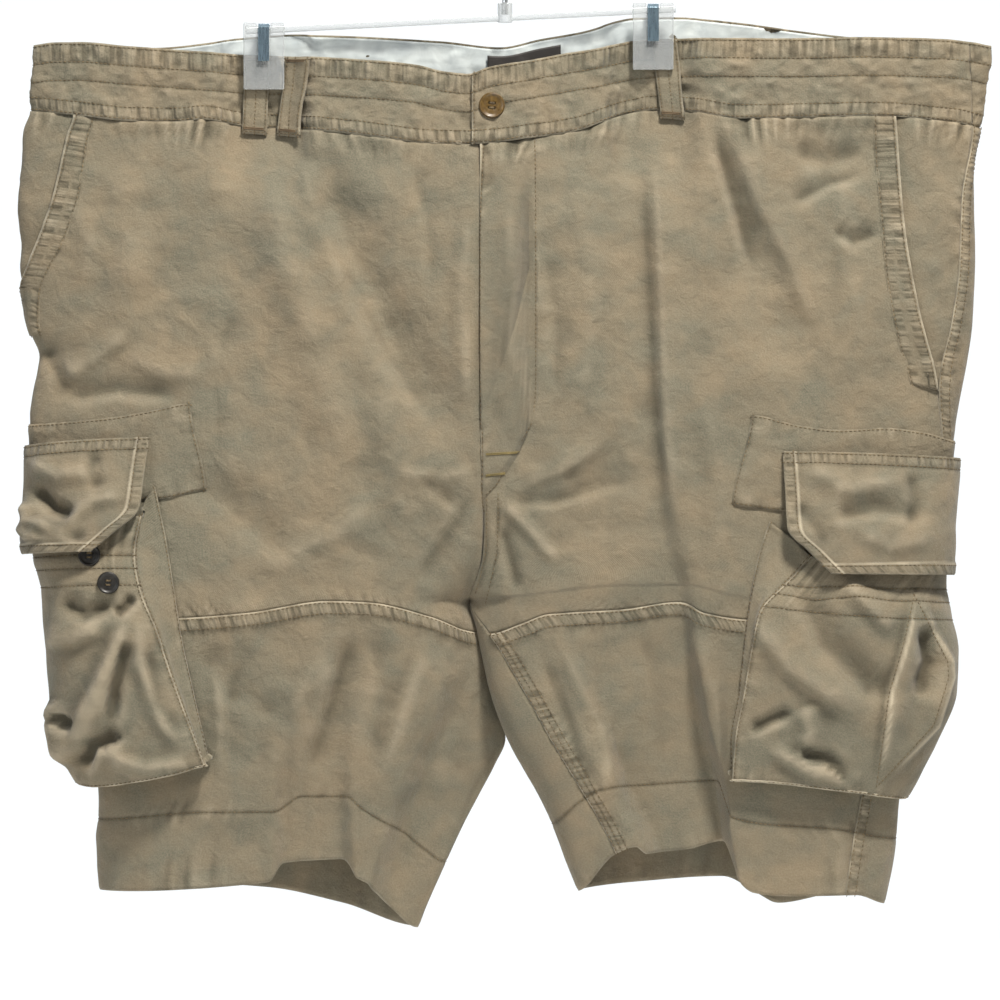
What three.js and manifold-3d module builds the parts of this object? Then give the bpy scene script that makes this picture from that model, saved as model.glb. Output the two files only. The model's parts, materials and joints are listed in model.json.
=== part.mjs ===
// Knee-length cargo shorts in washed cotton twill, gripped at the waistband by the two clips of a hanger.
// Millimetres, +Z up. The origin is where the hanger's hook bears on a rod. The front faces -Y and +X is
// the viewer's right. A height on the cloth is a drop, measured down from the waist line at WAIST_Z.
import * as THREE from 'three';
import { mergeVertices } from 'three/addons/utils/BufferGeometryUtils.js';
import Module from 'manifold-3d';

const wasm = await Module();
wasm.setup();

// Driving sizes of the cloth
const WAIST_Z = -101;
const PANEL = 1.6;
const BAND = 2.4;
const OVERLAY = 1.2;
const FLAP = 2.0;
const POUCH = 1.5;
const FACING = 0.8;
const LOOP = 1.5;
const SEAM_GAP = 0.4;
const LAY_GAP = 0.35;
const SECTION_POWER = 2.5;
const CROTCH_DROP = 377.5;
const RISE_START = 225;
const FULL_DEPTH = 36;
const CROTCH_SLACK = 0.6;
const CREASE_ROOM = 1.2;
const FOLD_EASE = { crease: 18, before: 5, past: 7, edge: 0.4 };
const RELAX = { outer: 0.7, inner: 0.6, line: 0.4, turns: 16 };
const INSEAM_DRAW = 0.28;
const PLACKET_DRAW = 1.6;

// Washed cloth, thread and hanger colours
const COLOURS = {
  twill: 0xa5947a,
  facing: 0xd7e4eb,
  label: 0x2e2a26,
  flyButton: 0x4b3a1c,
  cargoButton: 0x1e1a17,
  clear: 0xc9cfd2,
  steel: 0x4a5560,
};

// Outer edges of the shorts seen from the front, by drop
const SIDES = [
  { drop: -20, left: -320, right: 331 },
  { drop: 0, left: -321, right: 330.5 },
  { drop: 46, left: -323, right: 326.5 },
  { drop: 60, left: -326.5, right: 323 },
  { drop: 82, left: -328.5, right: 319.5 },
  { drop: 110, left: -330, right: 320 },
  { drop: 140, left: -330.5, right: 320 },
  { drop: 165, left: -328, right: 319 },
  { drop: 192, left: -323.5, right: 317.5 },
  { drop: 214, left: -316.5, right: 314 },
  { drop: 232, left: -319.5, right: 310.5 },
  { drop: 252, left: -322.5, right: 307 },
  { drop: 273, left: -321.5, right: 304.5 },
  { drop: 309, left: -316, right: 300 },
  { drop: 350, left: -307, right: 294 },
  { drop: 391, left: -298.5, right: 287 },
  { drop: 445, left: -287.5, right: 278 },
  { drop: 512, left: -276.5, right: 267.5 },
  { drop: 548, left: -277.5, right: 264 },
  { drop: 584, left: -275.5, right: 257 },
  { drop: 620, left: -274, right: 250 },
];

// Centre line down to the crotch, then the inner edge of each leg, by drop
const INNER = [
  { drop: -20, left: -20, right: -20 },
  { drop: 20, left: -20, right: -20 },
  { drop: 70, left: -17, right: -17 },
  { drop: 200, left: -17, right: -17 },
  { drop: 325, left: -14.5, right: -14.5 },
  { drop: 347, left: -15.5, right: -15.5 },
  { drop: 362, left: -19, right: -19 },
  { drop: 377.5, left: -25, right: -24.2 },
  { drop: 399, left: -20.5, right: -18.4 },
  { drop: 421, left: -15.6, right: -13.6 },
  { drop: 443, left: -10, right: -8 },
  { drop: 472, left: 0, right: 2 },
  { drop: 490, left: -7, right: 11 },
  { drop: 509, left: -17, right: 22 },
  { drop: 530, left: -28, right: 32.5 },
  { drop: 556, left: -40, right: 42 },
  { drop: 601, left: -59, right: 60 },
  { drop: 640, left: -70, right: 75 },
];

// How far the front and back stand from the middle plane, as one tube and as two legs, by drop,
// and where each leg's inner edge lies in depth
const DEPTH = [
  { drop: -20, front: 13, back: 11, leg: 13, innerLeft: 0, innerRight: 0 },
  { drop: 0, front: 14, back: 12, leg: 14, innerLeft: 0, innerRight: 0 },
  { drop: 50, front: 17, back: 16, leg: 18, innerLeft: 0, innerRight: 0 },
  { drop: 110, front: 25, back: 23, leg: 26, innerLeft: 0, innerRight: 0 },
  { drop: 200, front: 32, back: 30, leg: 32, innerLeft: 0, innerRight: 0 },
  { drop: 300, front: 36, back: 34, leg: 35, innerLeft: 0, innerRight: 0 },
  { drop: 378, front: 38, back: 36, leg: 36, innerLeft: 0, innerRight: 0 },
  { drop: 421, front: 38, back: 36, leg: 36, innerLeft: 6, innerRight: -2 },
  { drop: 472, front: 38, back: 36, leg: 35, innerLeft: 13, innerRight: -3 },
  { drop: 556, front: 38, back: 36, leg: 33, innerLeft: 15, innerRight: -3 },
  { drop: 640, front: 38, back: 36, leg: 32, innerLeft: 15, innerRight: -3 },
];

// Level lines across the front, from the waist edge to the hem edge, by x
const FRONT_LINES = {
  waist: [
    { x: -330, drop: 1 }, { x: -305, drop: -1.4 }, { x: -289, drop: -1.4 }, { x: -256, drop: 1.4 },
    { x: -222, drop: 4 }, { x: -179, drop: 6.8 }, { x: -131, drop: 8.8 }, { x: -94, drop: 11 },
    { x: -62, drop: 14 }, { x: -40, drop: 19 }, { x: -24, drop: 20.5 }, { x: -10, drop: 16 },
    { x: 16, drop: 11.6 }, { x: 37, drop: 7.5 }, { x: 65, drop: 2.7 }, { x: 89, drop: -2.7 },
    { x: 119, drop: -4 }, { x: 201, drop: -3.7 }, { x: 244, drop: -4.6 }, { x: 296, drop: -3.7 },
    { x: 318, drop: -1.4 }, { x: 332, drop: 0.7 },
  ],
  band: [
    { x: -330, drop: 45 }, { x: -292, drop: 48.3 }, { x: -256, drop: 52.4 }, { x: -222, drop: 53 },
    { x: -205, drop: 51.5 }, { x: -181, drop: 55 }, { x: -135, drop: 58.5 }, { x: -94, drop: 62.6 },
    { x: -51, drop: 68 }, { x: -20, drop: 68.6 }, { x: 21, drop: 64 }, { x: 51, drop: 59 },
    { x: 65, drop: 53.7 }, { x: 84, drop: 47 }, { x: 103, drop: 44.2 }, { x: 124, drop: 45.6 },
    { x: 160, drop: 51 }, { x: 201, drop: 50.3 }, { x: 249, drop: 49 }, { x: 305, drop: 53 },
    { x: 330, drop: 57.5 },
  ],
  patchTop: [
    { x: -330, drop: 258 }, { x: -270, drop: 254 }, { x: -239, drop: 249 }, { x: -212, drop: 244 },
    { x: -120, drop: 250 }, { x: -14, drop: 262 }, { x: 40, drop: 262 }, { x: 120, drop: 254 },
    { x: 166, drop: 252 }, { x: 199, drop: 259 }, { x: 226, drop: 262 }, { x: 256, drop: 260.5 },
    { x: 281, drop: 263 }, { x: 312, drop: 270 },
  ],
  patchBottom: [
    { x: -330, drop: 311 }, { x: -232, drop: 309 }, { x: -202, drop: 303 }, { x: -120, drop: 300 },
    { x: -14, drop: 305 }, { x: 60, drop: 305 }, { x: 153, drop: 313 }, { x: 188, drop: 317 },
    { x: 312, drop: 320 },
  ],
  crotch: [
    { x: -330, drop: 376 }, { x: -220, drop: 375 }, { x: -119, drop: 365 }, { x: -51, drop: 371 },
    { x: -24.6, drop: 377.5 }, { x: 11, drop: 373 }, { x: 80, drop: 366 }, { x: 124, drop: 366 },
    { x: 164, drop: 374 }, { x: 300, drop: 376 },
  ],
  thigh: [
    { x: -330, drop: 391 }, { x: -220, drop: 389 }, { x: -171, drop: 385 }, { x: -119, drop: 377.5 },
    { x: -92, drop: 378.5 }, { x: -51, drop: 388 }, { x: -20, drop: 399 }, { x: -11, drop: 400 },
    { x: 11, drop: 393 }, { x: 29, drop: 386.5 }, { x: 80, drop: 383.5 }, { x: 116, drop: 378.5 },
    { x: 136, drop: 386 }, { x: 164, drop: 390 }, { x: 300, drop: 391 },
  ],
  hemStitch: [
    { x: -330, drop: 527 }, { x: -276, drop: 526 }, { x: -199, drop: 520 }, { x: -155, drop: 520 },
    { x: -138, drop: 510 }, { x: -107, drop: 510 }, { x: -98, drop: 517 }, { x: -86, drop: 525 },
    { x: -71, drop: 533 }, { x: -56, drop: 546 }, { x: -40, drop: 556 }, { x: 32.5, drop: 529 },
    { x: 50, drop: 513.5 }, { x: 67, drop: 504 }, { x: 100, drop: 502 }, { x: 143, drop: 499.5 },
    { x: 152, drop: 523 }, { x: 180, drop: 528.5 }, { x: 218, drop: 531 }, { x: 270, drop: 539 },
  ],
  hem: [
    { x: -330, drop: 573 }, { x: -270, drop: 574 }, { x: -159, drop: 567.5 }, { x: -150, drop: 555 },
    { x: -111, drop: 553 }, { x: -102, drop: 564 }, { x: -90, drop: 571 }, { x: -75, drop: 589 },
    { x: -59, drop: 601 }, { x: 49, drop: 575 }, { x: 73, drop: 549.5 }, { x: 88.5, drop: 543.5 },
    { x: 97, drop: 548 }, { x: 123, drop: 546 }, { x: 147, drop: 540.5 }, { x: 157, drop: 566 },
    { x: 168, drop: 574.5 }, { x: 190, drop: 577 }, { x: 237, drop: 576.5 }, { x: 262, drop: 584 },
  ],
};

// The same level lines across the back
const BACK_LINES = {
  waist: [
    { x: -330, drop: 1 }, { x: -241, drop: 1.5 }, { x: -179, drop: -4.8 }, { x: -136, drop: -7.5 },
    { x: -44, drop: -3.4 }, { x: -3, drop: 0.7 }, { x: 24, drop: -4.8 }, { x: 51, drop: -9.5 },
    { x: 89, drop: -18.4 }, { x: 119, drop: -19 }, { x: 160, drop: -15.6 }, { x: 201, drop: -10 },
    { x: 245, drop: -5 }, { x: 332, drop: 0.7 },
  ],
  band: [
    { x: -330, drop: 45 }, { x: -241, drop: 51 }, { x: -179, drop: 45 }, { x: -136, drop: 43 },
    { x: -44, drop: 47 }, { x: -3, drop: 51 }, { x: 51, drop: 41 }, { x: 89, drop: 33 },
    { x: 119, drop: 32 }, { x: 160, drop: 36 }, { x: 201, drop: 41 }, { x: 245, drop: 46 },
    { x: 330, drop: 57.5 },
  ],
  patchTop: [
    { x: -330, drop: 258 }, { x: -200, drop: 256 }, { x: 0, drop: 252 }, { x: 200, drop: 262 },
    { x: 312, drop: 270 },
  ],
  patchBottom: [
    { x: -330, drop: 311 }, { x: -200, drop: 310 }, { x: 0, drop: 308 }, { x: 200, drop: 316 },
    { x: 312, drop: 320 },
  ],
  crotch: [
    { x: -330, drop: 376 }, { x: -24.6, drop: 377.5 }, { x: 300, drop: 376 },
  ],
  thigh: [
    { x: -330, drop: 391 }, { x: -20, drop: 399 }, { x: -11, drop: 400 }, { x: 300, drop: 391 },
  ],
  hemStitch: [
    { x: -330, drop: 527 }, { x: -200, drop: 524 }, { x: -110, drop: 536 }, { x: -40, drop: 556 },
    { x: 32.5, drop: 529 }, { x: 120, drop: 521 }, { x: 190, drop: 538 }, { x: 270, drop: 539 },
  ],
  hem: [
    { x: -330, drop: 573 }, { x: -218, drop: 571.5 }, { x: -164, drop: 574.5 }, { x: -112, drop: 585.5 },
    { x: -59, drop: 601 }, { x: 49, drop: 575 }, { x: 84, drop: 571 }, { x: 149, drop: 567 },
    { x: 173, drop: 579 }, { x: 187, drop: 585.5 }, { x: 232, drop: 578 }, { x: 262, drop: 584 },
  ],
};

const LEVELS = ['waist', 'band', 'patchTop', 'patchBottom', 'crotch', 'thigh', 'hemStitch', 'hem'];
const LEVEL = Object.fromEntries(LEVELS.map((name, index) => [name, index]));

// Long folds: lines down the cloth where a stretch between them lies back from the rest
const FOLD_LINES = {
  leftCrease: [
    { drop: 0, x: -55 }, { drop: 250, x: -45 }, { drop: 350, x: -36 }, { drop: 378, x: -32 },
    { drop: 396, x: -31 }, { drop: 421, x: -38.8 }, { drop: 456, x: -52.4 }, { drop: 492, x: -67 },
    { drop: 522, x: -79.6 }, { drop: 566, x: -90.4 }, { drop: 620, x: -100 },
  ],
  leftTuckInner: [{ drop: 0, x: -108 }, { drop: 450, x: -108 }, { drop: 620, x: -105 }],
  leftTuckOuter: [{ drop: 0, x: -150 }, { drop: 450, x: -152 }, { drop: 620, x: -154 }],
  flyStitch: [
    { drop: 0, x: 15 }, { drop: 64, x: 21.5 }, { drop: 262, x: 22.4 }, { drop: 330, x: 26 },
    { drop: 390, x: 32 }, { drop: 410, x: 38 }, { drop: 430, x: 40 }, { drop: 459, x: 45 },
    { drop: 475, x: 52 }, { drop: 500, x: 66.6 }, { drop: 520, x: 75.5 }, { drop: 543, x: 88.4 },
    { drop: 620, x: 110 },
  ],
  tuckFloor: [
    { drop: 0, x: 58 }, { drop: 350, x: 62 }, { drop: 430, x: 62 }, { drop: 475, x: 70 },
    { drop: 543, x: 100 }, { drop: 620, x: 122 },
  ],
  longFold: [
    { drop: 0, x: 101 }, { drop: 58, x: 102 }, { drop: 296, x: 109 }, { drop: 350, x: 121 },
    { drop: 394, x: 127 }, { drop: 461, x: 136 }, { drop: 498, x: 146 }, { drop: 553, x: 153.5 },
    { drop: 620, x: 165 },
  ],
};

// How deep the stretch beside each long fold lies, by drop
const FOLD_DEPTHS = [
  { drop: 50, crease: 0, hemTuck: 0, rightTuck: 0, edge: 22 },
  { drop: 120, crease: 0, hemTuck: 0, rightTuck: 3, edge: 18 },
  { drop: 300, crease: 0, hemTuck: 0, rightTuck: 6, edge: 12 },
  { drop: 378, crease: 2, hemTuck: 0, rightTuck: 9, edge: 9 },
  { drop: 420, crease: 12, hemTuck: 0, rightTuck: 14, edge: 8 },
  { drop: 470, crease: 20, hemTuck: 3, rightTuck: 18, edge: 7 },
  { drop: 520, crease: 22, hemTuck: 10, rightTuck: 22, edge: 6 },
  { drop: 584, crease: 22, hemTuck: 13, rightTuck: 24, edge: 6 },
  { drop: 640, crease: 22, hemTuck: 13, rightTuck: 24, edge: 6 },
];

// Soft creases, each along a line from one place to another; a negative rise is a trough
const CREASES = [
  { side: 'front', x0: -150, drop0: 66, x1: -109, drop1: 170, width: 9, rise: 3.2 },
  { side: 'front', x0: -118, drop0: 80, x1: -20, drop1: 292, width: 20, rise: -4 },
  { side: 'front', x0: -207, drop0: 120, x1: -264, drop1: 236, width: 15, rise: -4.5 },
  { side: 'front', x0: -238, drop0: 95, x1: -286, drop1: 190, width: 12, rise: -3 },
  { side: 'front', x0: 146, drop0: 66, x1: 196, drop1: 236, width: 15, rise: -4 },
  { side: 'front', x0: 60, drop0: 90, x1: 30, drop1: 330, width: 18, rise: 3 },
  { side: 'front', x0: 215, drop0: 90, x1: 232, drop1: 240, width: 14, rise: 3 },
  { side: 'back', x0: -190, drop0: 60, x1: -150, drop1: 560, width: 26, rise: -6 },
  { side: 'back', x0: -100, drop0: 60, x1: -92, drop1: 600, width: 20, rise: 5 },
  { side: 'back', x0: 60, drop0: 60, x1: 110, drop1: 590, width: 24, rise: -6 },
  { side: 'back', x0: 150, drop0: 60, x1: 185, drop1: 600, width: 22, rise: 5 },
  { side: 'back', x0: -60, drop0: 250, x1: -25, drop1: 372, width: 14, rise: -4 },
  { side: 'back', x0: 20, drop0: 250, x1: -18, drop1: 372, width: 14, rise: -4 },
];

// Where the two clips press the waistband together
const CLIPS = [
  { name: 'left', x: -163.5, top: -14, bandTop: 7.5, jawBottom: 31, front: -8.4, back: 6.2 },
  { name: 'right', x: 100.5, top: -27.5, bandTop: -3.2, jawBottom: 17.5, front: -7.6, back: 6.2 },
];
const PINCH = { front: 3.2, back: 4.4, reach: 28, power: 6, holds: 36, gone: 130 };

// Seam lines
const LEFT_SEAM_INSET = -2.6;
const LEFT_SLANT = [
  { drop: 40, inset: 30.5 }, { drop: 97, inset: 24.5 }, { drop: 121, inset: 18 }, { drop: 147, inset: 8 },
  { drop: 165, inset: 0 }, { drop: 196, inset: -2.6 }, { drop: 640, inset: -2.6 },
];
const LEFT_WELT = [
  { drop: 40, inset: 45 }, { drop: 91, inset: 43 }, { drop: 133, inset: 32.5 }, { drop: 169, inset: 13 },
  { drop: 196, inset: 8 }, { drop: 260, inset: 14 }, { drop: 640, inset: 20 },
];
const RIGHT_SEAM = [
  { drop: 0, x: 316 }, { drop: 57, x: 317.5 }, { drop: 104, x: 310 }, { drop: 151, x: 308 },
  { drop: 187, x: 303 }, { drop: 232, x: 294 }, { drop: 281, x: 297 }, { drop: 400, x: 268.5 },
  { drop: 513, x: 240 }, { drop: 571, x: 230.5 }, { drop: 640, x: 222 },
];
const RIGHT_SLANT = [
  { drop: 40, x: 264 }, { drop: 51, x: 265 }, { drop: 120, x: 270 }, { drop: 180, x: 280 },
  { drop: 231, x: 292.5 }, { drop: 281, x: 297 }, { drop: 400, x: 268.5 }, { drop: 513, x: 240 },
  { drop: 571, x: 230.5 }, { drop: 640, x: 222 },
];
const RIGHT_WELT = [
  { drop: 40, x: 249.5 }, { drop: 73, x: 250 }, { drop: 120, x: 254 }, { drop: 158, x: 257 },
  { drop: 200, x: 265 }, { drop: 235, x: 275 }, { drop: 281, x: 279 }, { drop: 400, x: 250 },
  { drop: 513, x: 222 }, { drop: 640, x: 200 },
];
const RIGHT_INSEAM = [
  { drop: 377.5, x: -24.2 }, { drop: 402, x: -9 }, { drop: 441, x: 14 }, { drop: 475, x: 33 },
  { drop: 503, x: 50 }, { drop: 524, x: 62.5 }, { drop: 549, x: 75 }, { drop: 640, x: 115 },
];
const PATCH_EDGE = {
  left: [{ drop: 0, x: -196 }, { drop: 244, x: -212 }, { drop: 303, x: -202 }, { drop: 640, x: -206 }],
  right: [
    { drop: 0, x: 172 }, { drop: 252, x: 166 }, { drop: 313, x: 153 }, { drop: 377, x: 165 },
    { drop: 640, x: 196 },
  ],
};
const REAR_INSET = { left: 96, right: 88 };

// Rows between the level lines, from the band seam to the hem edge
const ROWS = [
  { from: 'band', to: 'patchTop', count: 7 },
  { from: 'patchTop', to: 'patchBottom', count: 2 },
  { from: 'patchBottom', to: 'crotch', count: 3 },
  { from: 'crotch', to: 'thigh', count: 1 },
  { from: 'thigh', to: 'hemStitch', count: 5 },
  { from: 'hemStitch', to: 'hem', count: 2 },
];

// Cargo pouches: each row gives the face's front edge, where the gusset meets the leg, and the outer side
const POUCHES = {
  left: {
    rows: [
      { x: -244.8, drop: 320, baseX: -236, baseDrop: 300, sideX: -321.5, sideDrop: 322, stand: 7.5 },
      { x: -249, drop: 346, baseX: -228, baseDrop: 337, sideX: -320.5, sideDrop: 348, stand: 11 },
      { x: -244.8, drop: 370, baseX: -222.5, baseDrop: 370.5, sideX: -315, sideDrop: 371, stand: 16 },
      { x: -234, drop: 397, baseX: -217, baseDrop: 404.5, sideX: -313.5, sideDrop: 398, stand: 17 },
      { x: -223, drop: 430, baseX: -209.5, baseDrop: 438, sideX: -310.5, sideDrop: 432, stand: 17 },
      { x: -208.8, drop: 468.5, baseX: -203.5, baseDrop: 465, sideX: -304.6, sideDrop: 472, stand: 16 },
      { x: -201.5, drop: 489, baseX: -199, baseDrop: 484, sideX: -292.5, sideDrop: 498, stand: 13 },
    ],
    bottomSag: 9, rear: 84, rearStand: 11, belly: 5, bottomLift: 7,
  },
  right: {
    rows: [
      { x: 206, drop: 347, baseX: 178, baseDrop: 324, sideX: 300.3, sideDrop: 345, stand: 8 },
      { x: 187, drop: 367, baseX: 171, baseDrop: 345, sideX: 299.5, sideDrop: 365, stand: 11.5 },
      { x: 171.5, drop: 384, baseX: 164, baseDrop: 378, sideX: 302.5, sideDrop: 386, stand: 16 },
      { x: 165, drop: 411, baseX: 160, baseDrop: 410, sideX: 307.5, sideDrop: 411.5, stand: 16 },
      { x: 160.5, drop: 438, baseX: 157, baseDrop: 440, sideX: 307, sideDrop: 439, stand: 16 },
      { x: 154.5, drop: 470, baseX: 151.5, baseDrop: 470, sideX: 292.5, sideDrop: 476, stand: 14 },
      { x: 152.5, drop: 499, baseX: 152, baseDrop: 494, sideX: 273, sideDrop: 512, stand: 11 },
    ],
    bottomSag: 2, rear: 76, rearStand: 11, belly: 4, bottomLift: 7,
  },
};

// Cargo flaps: each row gives the front edge and the outer side, from the sewn top to the free end
const FLAPS = {
  left: {
    rows: [
      { x: -240, drop: 267, sideX: -326.5, sideDrop: 272.5, stand: 4.1 },
      { x: -243, drop: 291, sideX: -327.2, sideDrop: 296, stand: 9 },
      { x: -245.8, drop: 314, sideX: -328.3, sideDrop: 319, stand: 14.5 },
      { x: -261.5, drop: 330, sideX: -329, sideDrop: 334, stand: 23 },
      { x: -278, drop: 344, sideX: -326.5, sideDrop: 346, stand: 28.5 },
    ],
    rear: 82, rearStand: 16,
  },
  right: {
    rows: [
      { x: 187, drop: 276.5, sideX: 310, sideDrop: 281, stand: 4.1 },
      { x: 188.4, drop: 302, sideX: 308, sideDrop: 304, stand: 9 },
      { x: 189.7, drop: 328, sideX: 306, sideDrop: 328, stand: 14.5 },
      { x: 204, drop: 344, sideX: 306.5, sideDrop: 340, stand: 18 },
      { x: 219, drop: 359, sideX: 304, sideDrop: 360, stand: 21 },
    ],
    rear: 74, rearStand: 16,
  },
};

// Belt loops: where each crosses the top and the foot of the band
const LOOPS = [
  { name: 'front_left_outer', side: 'front', topX: -168, footX: -170, width: 17, extra: 0.3 },
  { name: 'front_left_inner', side: 'front', topX: -139.5, footX: -145.5, width: 17.5, extra: 1.2 },
  { name: 'front_right', side: 'front', topX: 108, footX: 114, width: 17.5, extra: 0.9 },
  { name: 'back_left', side: 'back', topX: -139, footX: -139, width: 16.5, extra: 1.5 },
  { name: 'back_centre', side: 'back', topX: 11, footX: 11, width: 17.5, extra: -0.5 },
  { name: 'back_right', side: 'back', topX: 160, footX: 160, width: 17.5, extra: -0.4 },
];

// Buttons sewn on: one at the waistband, two on the left cargo pouch
const FLY_BUTTON = { x: -9, level: 0.632, radius: 8.8, thickness: 2.6, holeRadius: 1.0, holeCircle: 2.3 };
const BUTTON_CLEAR = { fly: 0.45, cargo: 0.4 };
const CARGO_BUTTONS = [
  { name: 'upper', x: -279.5, drop: 346.5 },
  { name: 'lower', x: -266.5, drop: 365 },
];
const CARGO_BUTTON = { radius: 7.5, thickness: 2.6, holeRadius: 0.9, holeCircle: 2.0 };

// Hanger
const BAR = { radius: 2.2, z: -82.7, slope: 0.051, leftX: -176, rightX: 116, sides: 14 };
const HOOK = { wire: 2, bend: 20, sides: 10, steps: 34, sway: 4.5, swayUp: 8.5 };
const BOSS = { radius: 5, height: 13, foot: 0.8, bore: 2.5, sides: 18 };
const JAW = { width: 27.5, thick: 3.2, shoulder: 1.2, leverThick: 2.4, leverLean: 3.2 };
const NOTCH = { width: 9.4, depth: 3.5, above: 4, inward: 4, outward: 14 };
const SPRING = { width: 7.4, thick: 0.9, reach: 26, corner: 2.5, bend: 2.9, top: 0.4 };

// Interpolation in a table: a smooth curve through the rows that never overshoots them
function tableCurve(rows, key, name) {
  const slopes = rows.map((row, index) => {
    if (index === 0 || index === rows.length - 1) {
      return 0;
    }
    const before = rows[index - 1];
    const after = rows[index + 1];
    const left = (row[name] - before[name]) / (row[key] - before[key]);
    const right = (after[name] - row[name]) / (after[key] - row[key]);
    return left * right <= 0 ? 0 : (2 * left * right) / (left + right);
  });
  return (value) => {
    const last = rows.length - 1;
    const clamped = Math.min(Math.max(value, rows[0][key]), rows[last][key]);
    let index = 0;
    while (index < last - 1 && rows[index + 1][key] < clamped) {
      index += 1;
    }
    const start = rows[index];
    const end = rows[index + 1];
    const span = end[key] - start[key];
    const u = (clamped - start[key]) / span;
    const rise = (3 - 2 * u) * u * u;
    const easeIn = u * (1 - u) * (1 - u);
    const easeOut = u * u * (1 - u);
    return start[name] + (end[name] - start[name]) * rise
      + span * (slopes[index] * easeIn - slopes[index + 1] * easeOut);
  };
}

const mix = THREE.MathUtils.lerp;
const clamp01 = (value) => THREE.MathUtils.clamp(value, 0, 1);

// A soft step from 0 at low to 1 at high, also where high is the smaller of the two
function smooth(low, high, value) {
  const u = clamp01((value - low) / (high - low));
  return (3 - 2 * u) * u * u;
}

const sideX = { left: tableCurve(SIDES, 'drop', 'left'), right: tableCurve(SIDES, 'drop', 'right') };
const innerX = { left: tableCurve(INNER, 'drop', 'left'), right: tableCurve(INNER, 'drop', 'right') };
const depthOf = Object.fromEntries(
  ['front', 'back', 'leg', 'innerLeft', 'innerRight'].map((name) => [name, tableCurve(DEPTH, 'drop', name)]),
);
const foldDepth = Object.fromEntries(
  ['crease', 'hemTuck', 'rightTuck', 'edge'].map((name) => [name, tableCurve(FOLD_DEPTHS, 'drop', name)]),
);
const foldX = Object.fromEntries(
  Object.entries(FOLD_LINES).map(([name, rows]) => [name, tableCurve(rows, 'drop', 'x')]),
);
const frontLevels = LEVELS.map((name) => tableCurve(FRONT_LINES[name], 'x', 'drop'));
const backLevels = LEVELS.map((name) => tableCurve(BACK_LINES[name], 'x', 'drop'));

// Drop of level v at x, where v counts the level lines and may fall between two
function levelDrop(curves, v, x) {
  const index = Math.min(Math.floor(v), LEVELS.length - 2);
  return mix(curves[index](x), curves[index + 1](x), v - index);
}

// How far the crotch curve has come in from the front and back to the middle plane, 0 to 1
function legShare(drop) {
  const fall = clamp01((drop - RISE_START) / (CROTCH_DROP - RISE_START));
  return 1 - Math.sqrt(1 - fall * fall);
}

// A section's fullness: 0 at its two ends and 1 over most of its width
function fullness(t) {
  const away = Math.abs(2 * clamp01(t) - 1);
  return (1 - away ** SECTION_POWER) ** (1 / SECTION_POWER);
}

const nearSide = (x) => (x < innerX.left(0) ? 'left' : 'right');

// How strongly the clips press at this place, 0 to 1
function pinchAt(x, drop) {
  const fade = 1 - smooth(PINCH.holds, PINCH.gone, drop);
  return CLIPS.reduce((most, clip) => {
    const press = Math.exp(-((Math.abs(x - clip.x) / PINCH.reach) ** PINCH.power));
    return Math.max(most, press * fade);
  }, 0);
}

// Rise of the soft creases at a place on the front or back
function creaseRise(face, x, drop) {
  let rise = 0;
  for (const crease of CREASES) {
    if (crease.side !== face) {
      continue;
    }
    const dx = crease.x1 - crease.x0;
    const dd = crease.drop1 - crease.drop0;
    const length = Math.hypot(dx, dd);
    const along = ((x - crease.x0) * dx + (drop - crease.drop0) * dd) / (length * length);
    const across = ((x - crease.x0) * dd - (drop - crease.drop0) * dx) / length;
    const ends = smooth(-0.05, 0.25, along) * (1 - smooth(0.75, 1.05, along));
    rise += crease.rise * ends * Math.exp(-((across / crease.width) ** 2));
  }
  return rise;
}

// How far the stretches beside the long folds lie back from the front
function foldFall(side, x, drop) {
  if (side === 'left') {
    const fold = foldX.leftCrease(drop);
    const crease = foldDepth.crease(drop) * smooth(fold, fold + FOLD_EASE.crease, x);
    const inner = foldX.leftTuckInner(drop);
    const outer = foldX.leftTuckOuter(drop);
    const tuckIn = smooth(inner + FOLD_EASE.before, inner - FOLD_EASE.past, x);
    const tuckOut = smooth(outer - FOLD_EASE.before, outer + FOLD_EASE.past, x);
    return crease + foldDepth.hemTuck(drop) * tuckIn * tuckOut;
  }
  const edge = foldDepth.edge(drop);
  const rise = smooth(foldX.flyStitch(drop), foldX.tuckFloor(drop) + edge, x);
  const fold = foldX.longFold(drop);
  const ease = smooth(fold + edge * FOLD_EASE.edge, fold - edge, x);
  return foldDepth.rightTuck(drop) * rise * ease;
}

// Depth of the cloth's outer surface at a place on the front (face -1) or the back (face +1)
function clothY(face, x, drop, half = nearSide(x)) {
  const left = sideX.left(drop);
  const right = sideX.right(drop);
  const whole = fullness((x - left) / (right - left));
  const outer = sideX[half](drop);
  const inner = innerX[half](drop);
  const t = clamp01((x - inner) / (outer - inner));
  const share = legShare(drop);
  const wholeDepth = face < 0 ? depthOf.front(drop) : depthOf.back(drop);
  const pinched = face < 0 ? PINCH.front : PINCH.back;
  const pinch = pinchAt(x, drop);
  const tube = mix(wholeDepth * whole, Math.min(pinched, wholeDepth * whole), pinch);
  const legDepth = depthOf.leg(drop) * fullness(t);
  const innerDepth = half === 'left' ? depthOf.innerLeft(drop) : depthOf.innerRight(drop);
  const middle = innerDepth * (1 - t) ** 2;
  const body = mix(tube, legDepth, share);
  const wholeRoom = clamp01(whole * CREASE_ROOM);
  const legRoom = clamp01(fullness(t) * CREASE_ROOM);
  const room = mix(wholeRoom, legRoom, share) * (1 - pinch);
  const rise = creaseRise(face < 0 ? 'front' : 'back', x, drop) * room;
  const kept = face < 0 ? 1 - foldFall(half, x, drop) / Math.max(legDepth, wholeDepth, FULL_DEPTH) : 1;
  return middle + face * (body * kept + rise);
}

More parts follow.
